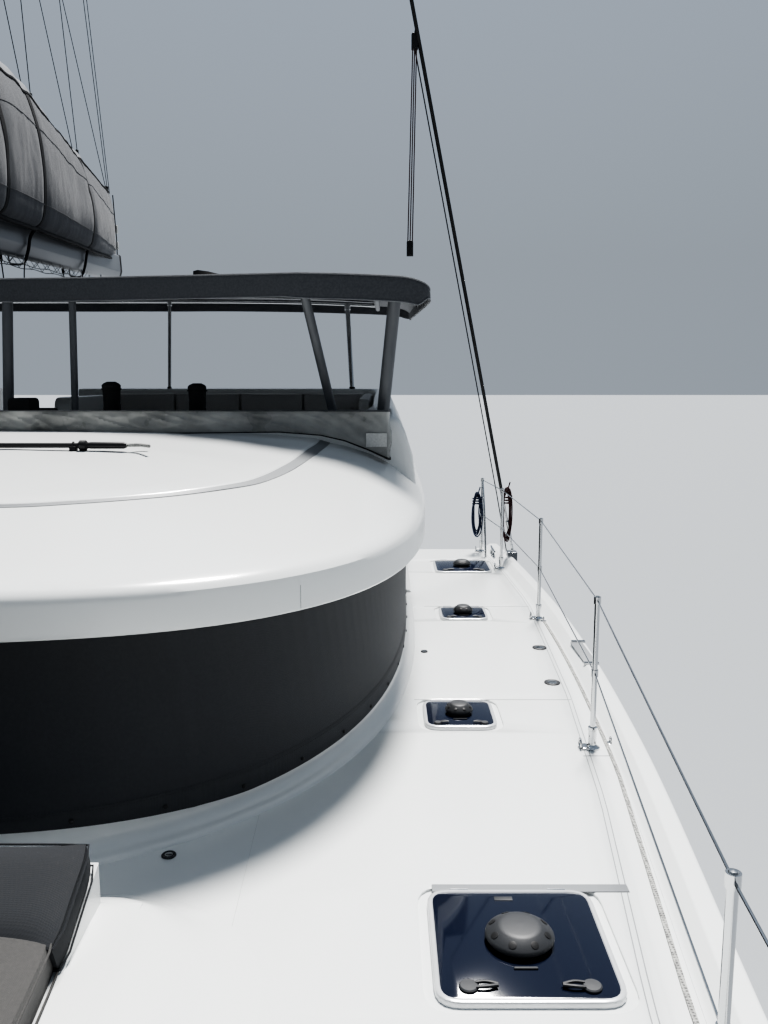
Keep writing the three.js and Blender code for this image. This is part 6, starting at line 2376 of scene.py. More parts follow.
    def shroud(self, side: str) -> None:
        """Makes one shroud with its turnbuckle, black sleeve and fork.

        Args:
            side: Either port or starboard.
        """
        sign = SIDES[side]
        form = Form("shroud_wire_" + side)
        low, high = Vector((sign * 3.890, 4.706, 1.79)), Vector((sign * 0.11, 1.38, self.hounds))
        way = (high - low).normalized()
        steel = self.skins["stainless"]
        form.tube([low + way * 0.3, high], 0.007, steel, 10)
        form.tube([low + way * 0.53, low + way * 9.2], 0.0150, self.skins["black"], 12)
        form.tube([low, low + way * 0.07], 0.013, steel, 12)
        screw = ((0.06, 0.010), (0.10, 0.010), (0.11, 0.018), (0.30, 0.018), (0.31, 0.010), (0.36, 0.010))
        form.tube([low + way * at for at, _ in screw], [radius for _, radius in screw], steel, 16)
        form.tube([low + way * 0.36, low + way * 0.54], 0.010, steel, 12)
        form.lathe([(0, -0.032), (0.011, -0.032), (0.011, 0.032), (0, 0.032)], low + way * 0.01, steel,
                   (0, 1, 0), 12)
        ride(form.done(), BOAT, "stainless", "shroud_" + side)

    def headsail(self) -> None:
        """Makes the furled headsail with its spiral leech, drum and stay."""
        form = Form("headsail_roll")
        low, high = Vector((0, -6.44, 2.14)), Vector((0, 1.21, self.hounds))
        way = (high - low).normalized()
        side = Vector((1, 0, 0))
        up = way.cross(side)
        length = (high - low).length
        form.tube([low, high], 0.010, self.skins["stainless"], 10)
        rings = []
        count = 240
        for i in range(count + 1):
            t = i / count
            at = low + way * lerp(0.50, length - 0.55, t)
            radius = lerp(0.085, 0.080, t) if t < 0.5 else lerp(0.080, 0.030, (t - 0.5) * 2)
            radius *= min(1.0, 0.35 + t * 14)
            ring = []
            for k in range(24):
                turn = 2 * math.pi * k / 24
                phase = (turn + t * 44) % (2 * math.pi)
                lip = 0.010 * math.exp(-((phase / 0.5) ** 2)) + 0.004 * noise.noise(Vector((t * 60, turn, 1)))
                ring.append(at + (side * math.cos(turn) + up * math.sin(turn)) * (radius + lip))
            rings.append(ring)
        form.loft(rings, self.skins["sailcloth"])
        turn = [(0, 0), (0.105, 0), (0.108, 0.008), (0.06, 0.016), (0.055, 0.06), (0.06, 0.10),
                (0.108, 0.108), (0.105, 0.116), (0.03, 0.12), (0.028, 0.3), (0, 0.3)]
        form.lathe(turn, low + way * 0.06, self.skins["black"], tuple(way), 32)
        for k in range(5):
            at = low + way * (0.085 + 0.014 * k)
            loop = [at + (side * math.cos(a) + up * math.sin(a)) * 0.068
                    for a in [2 * math.pi * j / 28 for j in range(28)]]
            form.tube(loop, 0.006, self.skins["rope_light"], 6, closed=True)
        ride(form.done(), BOAT, "sailcloth", "headsail")

    def running(self) -> None:
        """Makes the lazy jacks, topping lift, mainsheet and its blocks."""
        for side, sign in SIDES.items():
            for i, along in enumerate(self.jacks):
                foot = self.cloth(along, 0.96, sign) + Vector((0, 0, 0.045))
                leg = Form(f"lazy_jack_{side}_{i}")
                top = Vector((sign * 0.50, self.mast_y + 0.03, 13.56))
                leg.tube([top.lerp(foot, k / 40) for k in range(41)], 0.004, self.skins["black"], 6)
                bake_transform(leg.done())
        lift = Form("topping_lift")
        head, end = Vector((0, self.mast_y + 0.24, self.top - 0.06)), on_boom(0, BOOM_END - 0.01, 0.94)
        lift.tube([head.lerp(end, k / 40) for k in range(41)], 0.004, self.skins["black"], 6)
        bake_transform(lift.done())
        for shift in (-0.03, 0.03):
            sheet = Form("main_sheet")
            bail, car = on_boom(shift, 4.65, -0.05), Vector((-0.40 + shift * 2.2, 5.84, 4.145))
            sheet.tube([car.lerp(bail, k / 12) for k in range(13)], 0.006, self.skins["rope_light"], 8)
            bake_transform(sheet.done())
        car = Form("sheet_blocks")
        car.box((-0.52, 5.81, 4.115), (-0.28, 5.87, 4.15), self.skins["black"], 0.01)
        ride(car.done(), BOAT, "black")

    def side_lines(self) -> None:
        """Makes the tackle that hangs from each shroud, its fall and the coils at the shroud's foot."""
        for side, sign in SIDES.items():
            form = Form("side_tackle_" + side)
            high, low = Vector((sign * 2.935, 3.90, 5.92)), Vector((sign * 2.905, 3.90, 4.39))
            for shift in (-0.018, 0.0, 0.018):
                offset = Vector((shift, 0.0, 0.0))
                form.tube([low + offset, high + offset * 0.8], 0.0045, self.skins["rope_dark"], 6)
            for at in (low, high):
                form.box(at - Vector((0.026, 0.018, 0.06)), at + Vector((0.026, 0.018, 0.06)),
                         self.skins["black"], 0.012)
            form.tube([high + Vector((0, 0, 0.05)), (sign * 2.945, 3.875, 6.02)], 0.007,
                      self.skins["black"], 6)
            form.tube([high + Vector((0, 0, -0.05)), (sign * 3.735, 4.74, 2.33), (sign * 3.86, 4.90, 1.755)],
                      0.005, self.skins["black"], 8)
            ride(form.done(), BOAT, "black")
            coil = Form("shroud_coils_" + side)
            hangs = (("rope_dark", 3.815, 4.64, 2.15, 0.20, 5), ("rope_blue", 3.60, 5.15, 2.07, 0.17, 5))
            for index, (skin, x, y, z, tall, turns) in enumerate(hangs):
                for k in range(turns):
                    loop = []
                    for j in range(29):
                        a = 2 * math.pi * j / 29
                        swing = 0.012 * noise.noise(Vector((k * 3.1, index * 5.0, a)))
                        loop.append((sign * (x + 0.05 * math.sin(a) * (0.6 + 0.1 * k) + swing),
                                     y - 0.012 * k + 0.02 * math.sin(a),
                                     z + (tall + 0.012 * k) * math.cos(a)))
                    coil.tube(loop, 0.0065, self.skins[skin], 6, closed=True)
                wrap = []
                for j in range(41):
                    a = 2 * math.pi * 3 * j / 40
                    wrap.append((sign * x + 0.045 * math.cos(a), y - 0.025 + 0.034 * math.sin(a),
                                 z + 0.09 + 0.004 * a))
                coil.tube(wrap, 0.0065, self.skins[skin], 6)
                coil.tube([(sign * x, y - 0.02, z + tall), (sign * (x + 0.03), y + 0.01, z + tall + 0.09)],
                          0.006, self.skins[skin], 6)
            ride(coil.done(), BOAT, "black")


# Deck fittings


@dataclass
class Rails:
    """Stanchions, lifelines, sockets and the pulpits."""

    skins: Palette
    stanchions: tuple[tuple[float, float], ...] = (
        (3.210, -3.900),
        (3.400, -1.690),
        (3.659, 0.537),
        (3.790, 2.730),
        (3.740, 4.370),
        (3.650, 5.150),
    )
    top: float = 0.70
    middle: float = 0.36

    def socket(self, form: Form, x: float, y: float, sign: float) -> None:
        """Adds one stanchion with its chrome socket, clamp and eye.

        Args:
            form: Form that takes the faces.
            x: Distance to port, below 0 to starboard.
            y: Place along the boat.
            sign: 1 to port, -1 to starboard.
        """
        steel = self.skins["stainless"]
        foot = [(0, 0), (0.036, 0), (0.036, 0.006), (0.026, 0.012), (0.0185, 0.02), (0.0185, 0.085),
                (0.021, 0.087), (0.021, 0.102), (0.014, 0.104), (0, 0.104)]
        form.lathe([(r, h + DECK) for r, h in foot], (x, y, 0), steel, steps=24)
        form.box((x - sign * 0.034 - 0.016, y - 0.03, DECK),
                 (x - sign * 0.034 + 0.016, y + 0.03, DECK + 0.012), steel, 0.005)
        form.tube([(x, y - 0.03, DECK + 0.094), (x, y + 0.03, DECK + 0.094)], 0.006, steel, 8)
        form.tube([(x, y, DECK + 0.09), (x, y, DECK + 0.698)], 0.0125, steel, 16)
        form.lathe([(0, 0.692), (0.0135, 0.692), (0.0135, 0.712), (0.009, 0.720), (0, 0.722)], (x, y, DECK),
                   steel, steps=16)
        for h in (self.middle, self.top):
            form.lathe([(0, -0.016), (0.0165, -0.016), (0.0165, 0.016), (0, 0.016)], (x, y, DECK + h), steel,
                       steps=16)
        ring = [(x - sign * 0.055, y + 0.022 * math.cos(a), DECK + 0.024 + 0.022 * math.sin(a))
                for a in [2 * math.pi * k / 20 for k in range(20)]]
        form.tube(ring, 0.0045, steel, 8, closed=True)

    def side(self, side: str) -> None:
        """Makes one side's rail.

        Args:
            side: Either port or starboard.
        """
        sign = SIDES[side]
        steel = self.skins["stainless"]
        form = Form("rail_" + side)
        for x, y in self.stanchions:
            self.socket(form, sign * x, y, sign)
        for x, y in ((3.115, -5.500), (3.040, -6.350), (2.930, -6.350)):
            form.tube([(sign * x, y, DECK), (sign * x, y, DECK + self.top)], 0.0135, steel, 14)
            foot = [(0, 0), (0.038, 0), (0.038, 0.006), (0.02, 0.014), (0.02, 0.04), (0, 0.04)]
            form.lathe(foot, (sign * x, y, DECK), steel, steps=20)
        bow = ((3.115, -5.50), (3.080, -5.95), (3.040, -6.35), (3.020, -6.56), (2.985, -6.63), (2.945, -6.56),
               (2.930, -6.35))
        for h in (self.top, self.middle):
            form.tube(arc_points([(sign * x, y, DECK + h) for x, y in bow], 6), 0.0135, steel, 14)
        points = [(3.115, -5.500), *self.stanchions]
        for h in (self.top, self.middle):
            form.tube([(sign * x, y, DECK + h) for x, y in points], 0.0038, steel, 8)
        x, y = self.stanchions[-1]
        brace = [(sign * x, y, DECK + self.top), (sign * x, y - 0.20, DECK + 0.42),
                 (sign * (x + 0.01), y - 0.28, DECK)]
        form.tube(arc_points(brace, 6), 0.011, steel, 12)
        ride(form.done(), BOAT, "stainless", "guard_rail_" + side)


class Stitching:
    """Geometry Nodes that set a small piece along every edge of a path, and what they are used for."""

    def __init__(self, skins: Palette) -> None:
        """Remembers the palette and builds the node tree once.

        Args:
            skins: Every material.
        """
        self.skins = skins
        self.tree = bpy.data.node_groups.new("set_along", "GeometryNodeTree")
        face = self.tree.interface
        face.new_socket("Path", in_out="INPUT", socket_type="NodeSocketGeometry")
        face.new_socket("Step", in_out="INPUT", socket_type="NodeSocketFloat").default_value = 0.03
        face.new_socket("Long", in_out="INPUT", socket_type="NodeSocketFloat").default_value = 0.02
        face.new_socket("Thick", in_out="INPUT", socket_type="NodeSocketFloat").default_value = 0.003
        face.new_socket("Turn", in_out="INPUT", socket_type="NodeSocketFloat").default_value = 0.0
        face.new_socket("Skin", in_out="INPUT", socket_type="NodeSocketMaterial")
        face.new_socket("Made", in_out="OUTPUT", socket_type="NodeSocketGeometry")
        nodes, links = self.tree.nodes, self.tree.links
        source, sink = nodes.new("NodeGroupInput"), nodes.new("NodeGroupOutput")
        curve = nodes.new("GeometryNodeMeshToCurve")
        spaced = nodes.new("GeometryNodeResampleCurve")
        spaced.mode = "LENGTH"
        points = nodes.new("GeometryNodeCurveToPoints")
        points.mode = "EVALUATED"
        link = nodes.new("GeometryNodeMeshUVSphere")
        link.inputs["Segments"].default_value = 6
        link.inputs["Rings"].default_value = 4
        link.inputs["Radius"].default_value = 0.5
        size = nodes.new("ShaderNodeCombineXYZ")
        shaped = nodes.new("GeometryNodeTransform")
        placed = nodes.new("GeometryNodeInstanceOnPoints")
        index = nodes.new("GeometryNodeInputIndex")
        turn = nodes.new("ShaderNodeMath")
        turn.operation = "MULTIPLY"
        spin = nodes.new("ShaderNodeCombineXYZ")
        turned = nodes.new("GeometryNodeRotateInstances")
        real = nodes.new("GeometryNodeRealizeInstances")
        skin = nodes.new("GeometryNodeSetMaterial")
        links.new(source.outputs["Path"], curve.inputs["Mesh"])
        links.new(curve.outputs["Curve"], spaced.inputs["Curve"])
        links.new(source.outputs["Step"], spaced.inputs["Length"])
        links.new(spaced.outputs["Curve"], points.inputs["Curve"])
        links.new(source.outputs["Thick"], size.inputs["X"])
        links.new(source.outputs["Thick"], size.inputs["Y"])
        links.new(source.outputs["Long"], size.inputs["Z"])
        links.new(link.outputs["Mesh"], shaped.inputs["Geometry"])
        links.new(size.outputs["Vector"], shaped.inputs["Scale"])
        links.new(points.outputs["Points"], placed.inputs["Points"])
        links.new(points.outputs["Rotation"], placed.inputs["Rotation"])
        links.new(shaped.outputs["Geometry"], placed.inputs["Instance"])
        links.new(index.outputs["Index"], turn.inputs[0])
        links.new(source.outputs["Turn"], turn.inputs[1])
        links.new(turn.outputs["Value"], spin.inputs["Z"])
        links.new(placed.outputs["Instances"], turned.inputs["Instances"])
        links.new(spin.outputs["Vector"], turned.inputs["Rotation"])
        links.new(turned.outputs["Instances"], real.inputs["Geometry"])
        links.new(real.outputs["Geometry"], skin.inputs["Geometry"])
        links.new(source.outputs["Skin"], skin.inputs["Material"])
        links.new(skin.outputs["Geometry"], sink.inputs["Made"])

    def run(
        self, name: str, paths: Sequence[Sequence[Point]], skin: str, step: float, long: float, thick: float,
        turn: float = 0.0,
    ) -> bpy.types.Object:
        """Returns an object of small pieces set along paths.

        Args:
            name: Name of the object.
            paths: Polylines.
            skin: Material name.
            step: Distance between pieces.
            long: Length of each piece along the path.
            thick: Thickness of each piece.
            turn: How far each piece turns past the one before it, in radians.

        Returns:
            The finished mesh object.
        """
        verts: list[tuple[float, ...]] = []
        edges: list[tuple[int, int]] = []
        for path in paths:
            first = len(verts)
            verts.extend(tuple(p) for p in path)
            edges.extend((first + k, first + k + 1) for k in range(len(path) - 1))
        mesh = bpy.data.meshes.new(name)
        mesh.from_pydata(verts, edges, [])
        made = bpy.data.objects.new(name, mesh)
        bpy.context.scene.collection.objects.link(made)
        modifier = made.modifiers.new("set_along", "NODES")
        modifier.node_group = self.tree
        values = {"Step": step, "Long": long, "Thick": thick, "Turn": turn, "Skin": self.skins[skin]}
        for item in self.tree.interface.items_tree:
            if item.in_out == "INPUT" and item.name in values:
                modifier[item.identifier] = values[item.name]
        apply_modifiers(made)
        made.data.shade_smooth()
        return made


@dataclass
class Foredeck:
    """The lounge and the nets."""

    skins: Palette

    def lounge_base(self) -> None:
        """Makes the soft moulded shoulder that runs from the lounge's plinth down to the deck."""
        form = Form("lounge_shoulder")
        profile = ((-0.03, 1.778), (0.0, 1.7806), (0.05, 1.779), (0.11, 1.770), (0.17, 1.752), (0.24, 1.730))
        profile += ((0.31, 1.712), (0.37, 1.7035), (0.41, 1.7008), (0.42, 1.699))
        rings = []
        for out, z in profile:
            loop = rectangle_loop(1.95 + out, -2.25 - out, -0.80 + max(out, 0.0) * 0.42, 0.12 + max(out, 0.0))
            rings.append([(p.x, p.y, z) for p in loop])
        form.loft(rings, self.skins["gelcoat"], caps=False)
        ride(form.done(), BOAT, "gelcoat")

    def net(self, side: str) -> None:
        """Makes one trampoline of crossed cords with a hemmed edge.

        Args:
            side: Either port or starboard.
        """
        sign = SIDES[side]
        outline = [(0.155, -6.325), (0.155, -3.305), (2.378, -3.305), (2.394, -3.50), (2.634, -5.0),
                   (2.824, -6.0), (2.880, -6.325)]
        z = 1.568
        form = Form("net_" + side)
        paths = []

        def span(y: float) -> float:
            """Returns the net's outer edge at a place along the boat."""
            rows = outline[2:]
            for (x0, y0), (x1, y1) in zip(rows, rows[1:]):
                if y1 <= y <= y0:
                    return lerp(x0, x1, (y - y0) / (y1 - y0))
            return rows[0][0]

        step = 0.05
        count = int(3.0 / step)
        for k in range(count + 1):
            y = -3.33 - k * (2.97 / count)
            path = [(sign * lerp(0.17, span(y) - 0.02, t / 8), y, z - 0.012 * math.sin(math.pi * t / 8))
                    for t in range(9)]
            paths.append(path)
        for k in range(int(2.7 / step)):
            x = 0.17 + k * step
            ys = [lerp(-3.33, -6.30, t / 30) for t in range(31)]
            run = [(sign * x, y, z - 0.012 * math.sin(math.pi * min(1.0, (x - 0.17) / (span(y) - 0.19)))
                    + 0.0015) for y in ys if span(y) - 0.02 > x]
            if len(run) > 1:
                paths.append(run)
        for path in paths:
            form.tube(path, 0.0022, self.skins["net"], 4)
        edge = [(sign * x, y, z) for x, y in outline]
        form.tube([*edge, edge[0]], 0.008, self.skins["net"], 8)
        ride(form.done(), BOAT, "net", "trampoline_" + side)

    def lounge_cushion(self, name: str, corners: Sequence[Point], swell: float, node: str, skin: str) -> None:
        """Makes one cushion, blown up by a cloth simulation, with piped seams.

        Args:
            name: Name of the object.
            corners: Eight corners: the foot's four in order, then the top's four.
            swell: Limit on how far a point moves.
            node: Solid that it replaces.
            skin: Material name.
        """
        made = cushion(name, corners, self.skins[skin], swell)
        ride(made, BOAT, "cushion", node)

    def build(self) -> None:
        """Makes the foredeck's soft goods and nets."""
        self.lounge_base()
        for side, sign in SIDES.items():
            self.net(side)
            wide = [(0.02, 1.895, -2.19), (0.02, 1.80, -1.03), (0.02, 1.81, -1.13)]
            rows = [tuple(sorted((sign * a, sign * b))) + (y,) for a, b, y in wide]
            foot = [(rows[0][0], -2.19), (rows[0][1], -2.19), (rows[1][1], -1.03), (rows[1][0], -1.03)]
            top = [(rows[0][0], -2.19), (rows[0][1], -2.19), (rows[2][1], -1.13), (rows[2][0], -1.13)]
            seat = [(*p, 1.782) for p in foot] + [(*p, 1.893) for p in top]
            self.lounge_cushion("lounge_pad_" + side, seat, 0.012, "lounge_seat_" + side, "cushion")
            low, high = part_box("lounge_back_" + side)
            b0, b1 = sorted((sign * 0.02, sign * 1.825))
            back = [(b0, -1.130, 1.786), (b1, -1.130, 1.786), (b1, -0.800, 1.920), (b0, -0.800, 1.920),
                    (b0, -1.172, 1.884), (b1, -1.172, 1.884), (b1, -0.858, 2.012), (b0, -0.858, 2.012)]
            back = [(x, min(max(y, low[1]), high[1]), min(max(z, low[2]), high[2])) for x, y, z in back]
            # The backrests take the dark rest cloth, which paints the deckhouse's shade on them.
            self.lounge_cushion("lounge_rest_" + side, back, 0.012, "lounge_back_" + side, "rest")


def cushion(
    name: str, corners: Sequence[Point], skin: bpy.types.Material, swell: float, divisions: int = 26
) -> bpy.types.Object:
    """Returns a crowned cushion with piped seams.

    Args:
        name: Name of the object.
        corners: The foot's four corners in order, then the top's four.
        skin: Material.
        swell: How far the faces may bulge.
        divisions: Cells along the longest edge.

    Returns:
        The cushion, with its piping.
    """
    p = [Vector(c) for c in corners]
    wide, deep = (p[1] - p[0]).length, (p[3] - p[0]).length
    nx, ny = max(int(divisions * wide / max(wide, deep)), 6), max(int(divisions * deep / max(wide, deep)), 6)
    nz = 3
    form = Form(name)

    def at(u: float, v: float, w: float) -> Vector:
        """Returns a place in the block from its three shares."""
        low = p[0].lerp(p[1], u).lerp(p[3].lerp(p[2], u), v)
        high = p[4].lerp(p[5], u).lerp(p[7].lerp(p[6], u), v)
        return low.lerp(high, w)

    def ease(u: float, v: float, w: float) -> Vector:
        """Returns that place with the top swelled and the corners drawn in."""
        place = at(u, v, w)
        heart = at(0.5, 0.5, 0.5)
        up = (at(u, v, 1) - at(u, v, 0)).normalized()
        bulge = (math.sin(math.pi * u) * math.sin(math.pi * v)) ** 0.5 if 0 < u < 1 and 0 < v < 1 else 0.0
        place += up * swell * 0.8 * bulge * (2 * w - 1 if w > 0.5 else 0.0)
        corner = abs(2 * u - 1) ** 14 + abs(2 * v - 1) ** 14
        pull = 0.012 * max(corner - 1, 0)
        side = (heart - place)
        side -= up * side.dot(up)
        return place + side.normalized() * pull if side.length > 1e-6 else place

    edge: list[tuple[float, float]] = []
    edge += [(i / nx, 0.0) for i in range(nx)]
    edge += [(1.0, j / ny) for j in range(ny)]
    edge += [(1 - i / nx, 1.0) for i in range(nx)]
    edge += [(0.0, 1 - j / ny) for j in range(ny)]
    for w in (1.0, 0.0):
        grid = [[ease(i / nx, j / ny, w) for i in range(nx + 1)] for j in range(ny + 1)]
        verts = [q for row in grid for q in row]
        faces = []
        for j in range(ny):
            for i in range(nx):
                a = j * (nx + 1) + i
                quad = (a, a + 1, a + nx + 2, a + nx + 1)
                faces.append(quad if w else tuple(reversed(quad)))
        form.add(verts, faces, skin)
    rings = [[ease(u, v, k / nz) for u, v in edge] for k in range(nz + 1)]
    form.loft(rings, skin, caps=False)
    made = form.done()
    inflate(made, swell)
    crease(made, 0.8)
    made.modifiers.new("finer", "SUBSURF").levels = 1
    apply_modifiers(made)
    made.data.materials.clear()
    made.data.materials.append(skin)
    piping = Form(name + "_piping")
    for w in (0.96, 0.04):
        piping.tube([ease(u, v, w) for u, v in edge], 0.0035, skin, 6, closed=True)
    trim = piping.done()
    work = bmesh.new()
    work.from_mesh(made.data)
    work.from_mesh(trim.data)
    work.to_mesh(made.data)
    work.free()
    bpy.data.objects.remove(trim)
    made.data.shade_smooth()
    made.data.set_sharp_from_angle(angle=math.radians(50))
    return made


def crease(obj: bpy.types.Object, share: float) -> None:
    """Keeps a mesh's sewn edges firm when it is made finer.

    Args:
        obj: Mesh; it is changed in place.
        share: How firm they stay, up to 1.
    """
    work = bmesh.new()
    work.from_mesh(obj.data)
    layer = work.edges.layers.float.get("crease_edge") or work.edges.layers.float.new("crease_edge")
    for edge in work.edges:
        if len(edge.link_faces) == 2 and edge.calc_face_angle(0.0) > math.radians(40):
            edge[layer] = share
    work.to_mesh(obj.data)
    work.free()


def inflate(obj: bpy.types.Object, limit: float) -> None:
    """Blows a closed mesh up with a short cloth simulation and caps how far a point moves.

    Args:
        obj: Closed mesh; it is changed in place.
        limit: Farthest that a point may end from its start.
    """
    before = [v.co.copy() for v in obj.data.vertices]
    scene = bpy.context.scene
    cloth = obj.modifiers.new("Cloth", "CLOTH")
    settings = cloth.settings
    settings.use_pressure = True
    settings.uniform_pressure_force = 3.0
    settings.quality = 5
    settings.tension_stiffness = 25
    settings.compression_stiffness = 25
    settings.bending_stiffness = 1.2
    settings.effector_weights.gravity = 0
    scene.frame_set(1)
    for frame in range(1, 15):
        scene.frame_set(frame)
    graph = bpy.context.evaluated_depsgraph_get()
    after = [v.co.copy() for v in obj.evaluated_get(graph).data.vertices]
    obj.modifiers.remove(cloth)
    for vertex, start, end in zip(obj.data.vertices, before, after):
        move = end - start
        if move.length > limit:
            move = move.normalized() * limit
        vertex.co = start + move
    scene.frame_set(1)


# Furniture, steering gear and ground tackle


@dataclass
class Furnishings:
    """Benches, cushions, seat, stair, ladder, door, beam, rudders, drives and anchor gear."""

    skins: Palette
    stitching: Stitching

    def slabs(self, form: Form, rows: Sequence[tuple[Point, Point, float]], skin: str) -> None:
        """Adds upright boxes whose plan corners are round.

        Args:
            form: Form that takes them.
            rows: Low corner, high corner and corner radius of each.
            skin: Material name.
        """
        for low, high, radius in rows:
            corners = [(high[0], low[1]), (high[0], high[1]), (low[0], high[1]), (low[0], low[1])]
            form.slab(fillet(corners, [radius] * 4, 6), low[2], high[2], self.skins[skin], 0.012)

    def pads(self, node: str, skin: str, rows: Sequence[Sequence[Point]], swell: float = 0.006) -> None:
        """Makes cushions that take one solid's place.

        Args:
            node: Solid that they replace.
            skin: Material name.
            rows: Low and high corner of each cushion.
            swell: How far the faces may bulge.
        """
        for k, (low, high) in enumerate(rows):
            foot = [(low[0], low[1]), (high[0], low[1]), (high[0], high[1]), (low[0], high[1])]
            top = high[2] - 0.8 * swell
            corners = [(*p, low[2]) for p in foot] + [(*p, top) for p in foot]
            made = cushion(f"{node}_{k}", corners, self.skins[skin], swell, 16)
            ride(made, BOAT, "cushion", *([] if k else [node]))

    def upper_bench(self) -> None:
        """Makes the bench of the upper cockpit, its rounded arm and its cushions."""
        form = Form("upper_bench_moulding")
        rows = [((0.02, 4.358, 2.661), (2.59, 4.998, 2.88), 0.03),
                ((1.95, 3.10, 2.661), (2.59, 4.37, 2.88), 0.05)]
        self.slabs(form, rows, "gelcoat")
        arm = fillet([(3.90, 2.661), (4.998, 2.661), (4.998, 3.22), (3.90, 3.22)],
                     [0.01, 0.01, 0.05, 0.10], 8)
        form.loft([[(x, lerp(4.45, p.x, k), lerp(2.95, p.y, k)) for p in arm] for x, k in
                   ((0.020, 0.985), (0.024, 0.995), (0.034, 1.0), (0.136, 1.0), (0.146, 0.995),
                    (0.150, 0.985))],
                  self.skins["gelcoat"])
        form.box((0.12, 4.345, 2.84), (1.95, 4.36, 2.872), self.skins["deck"], 0.004)
        ride(form.done(), BOAT, "gelcoat", "upper_bench")
        seats = [((0.158, 4.36, 2.882), (0.76, 4.99, 2.983)), ((0.765, 4.36, 2.882), (1.36, 4.99, 2.983)),
                 ((1.365, 4.36, 2.882), (1.945, 4.99, 2.983)), ((1.952, 3.105, 2.882), (2.585, 3.72, 2.983)),
                 ((1.952, 3.725, 2.882), (2.585, 4.353, 2.983)), ((1.952, 4.36, 2.882), (2.585, 4.99, 2.983))]
        self.pads("upper_bench_cushion", "cushion", seats)
        backs = [((0.158, 4.925, 2.987), (0.76, 4.996, 3.233)), ((0.765, 4.925, 2.987), (1.36, 4.996, 3.233)),
                 ((1.365, 4.925, 2.987), (1.945, 4.996, 3.233)),
                 ((1.952, 4.925, 2.987), (2.51, 4.996, 3.233)),
                 ((2.517, 3.105, 2.987), (2.588, 3.72, 3.233)),
                 ((2.517, 3.725, 2.987), (2.588, 4.353, 3.233)),
                 ((2.517, 4.358, 2.987), (2.588, 4.92, 3.233))]
        self.pads("upper_back_cushion", "pad", backs, 0.004)

    def helm_seat(self) -> None:
        """Makes the helm seat: moulded box, cushion and raked backrest."""
        form = Form("helm_seat_box")
        self.slabs(form, [((-1.60, 3.30, 2.661), (-0.80, 3.70, 2.955), 0.06)], "gelcoat")
        form.box((-1.50, 3.296, 2.70), (-0.90, 3.302, 2.90), self.skins["seam"], 0.002)
        ride(form.done(), BOAT, "cushion", "helm_seat")
        seat = [(-1.628, 3.272, 2.957), (-0.772, 3.272, 2.957), (-0.772, 3.715, 2.957),
                (-1.628, 3.715, 2.957)]
        made = cushion("helm_pad", [*seat, *[(x, y, 3.030) for x, y, _ in seat]], self.skins["cushion"],
                       0.008, 18)
        ride(made, BOAT, "cushion")
        back = [(-1.628, 3.66, 3.045), (-0.772, 3.66, 3.045), (-0.772, 3.745, 3.315), (-1.628, 3.745, 3.315)]
        rest = [*[(x, y + 0.005, z) for x, y, z in back], *[(x, y + 0.045, z + 0.004) for x, y, z in back]]
        made = cushion("helm_backrest", [rest[i] for i in (0, 1, 2, 3, 4, 5, 6, 7)], self.skins["cushion"],
                       0.004, 18)
        ride(made, BOAT, "cushion")

    def cockpit(self) -> None:
        """Makes the main cockpit's bench, cushions and table, and the saloon's joinery."""
        form = Form("cockpit_bench_moulding")
        self.slabs(form, [((0.30, 4.50, 0.801), (2.19, 5.296, 1.15), 0.05)], "gelcoat")
        form.box((0.34, 4.493, 1.10), (2.15, 4.50, 1.125), self.skins["deck"], 0.002)
        ride(form.done(), BOAT, "gelcoat", "cockpit_bench")
        rows = [((x, 4.512, 1.152), (x + 0.615, 5.248, 1.248)) for x in (0.312, 0.932, 1.552)]
        self.pads("cockpit_cushion", "cushion", rows)
        form = Form("cockpit_table_top")
        self.slabs(form, [((0.50, 3.95, 1.484), (1.90, 4.43, 1.52), 0.06)], "teak")
        profile = [(0, 0.801), (0.18, 0.801), (0.18, 0.812), (0.15, 0.82), (0.062, 0.828), (0.06, 0.85),
                   (0.06, 1.44)]
        profile += [(0.075, 1.455), (0.16, 1.468), (0.16, 1.484), (0, 1.484)]
        form.lathe(profile, (1.2, 4.19, 0), self.skins["aluminium"], steps=36)
        ride(form.done(), BOAT, "teak", "cockpit_table")
        form = Form("saloon_joinery")
        rows = [((-1.90, 0.20, 0.801), (1.90, 0.80, 1.23), 0.03),
                ((1.30, 0.79, 0.801), (1.90, 2.60, 1.23), 0.03),
                ((-2.10, 0.21, 0.801), (-1.50, 3.0, 1.70), 0.03)]
        self.slabs(form, rows, "teak")
        for k in range(4):
            y = 0.95 + 0.5 * k
            form.box((-1.503, y, 0.86), (-1.494, y + 0.46, 1.58), self.skins["gelcoat"], 0.003)
            form.tube([(-1.49, y + 0.12, 1.52), (-1.475, y + 0.12, 1.52), (-1.475, y + 0.34, 1.52),
                       (-1.49, y + 0.34, 1.52)],
                      0.005, self.skins["stainless"], 8)
        ride(form.done(), BOAT, "teak", "saloon_furniture")

    def door(self) -> None:
        """Makes the sliding door: pane, frame and handle."""
        form = Form("saloon_door_leaf")
        y0, y1 = 3.648, 3.676
        for low, high in (((-0.74, y0, 0.801), (-0.69, y1, 2.468)), ((0.05, y0, 0.801), (0.10, y1, 2.468)),
                          ((-0.70, y0, 2.41), (0.06, y1, 2.468)), ((-0.70, y0, 0.801), (0.06, y1, 0.88))):
            form.box(low, high, self.skins["aluminium"], 0.004)
        form.box((-0.695, 3.657, 0.875), (0.055, 3.665, 2.415), self.skins["acrylic"], 0.001)
        form.tube(fillet([(-0.69, 3.676, 1.65), (-0.69, 3.706, 1.65), (-0.69, 3.706, 1.85),
                          (-0.69, 3.676, 1.85)],
                         [0, 0.012, 0.012, 0], 4, False), 0.0045, self.skins["stainless"], 10)
        ride(form.done(), "saloon_door", "acrylic", "saloon_door")

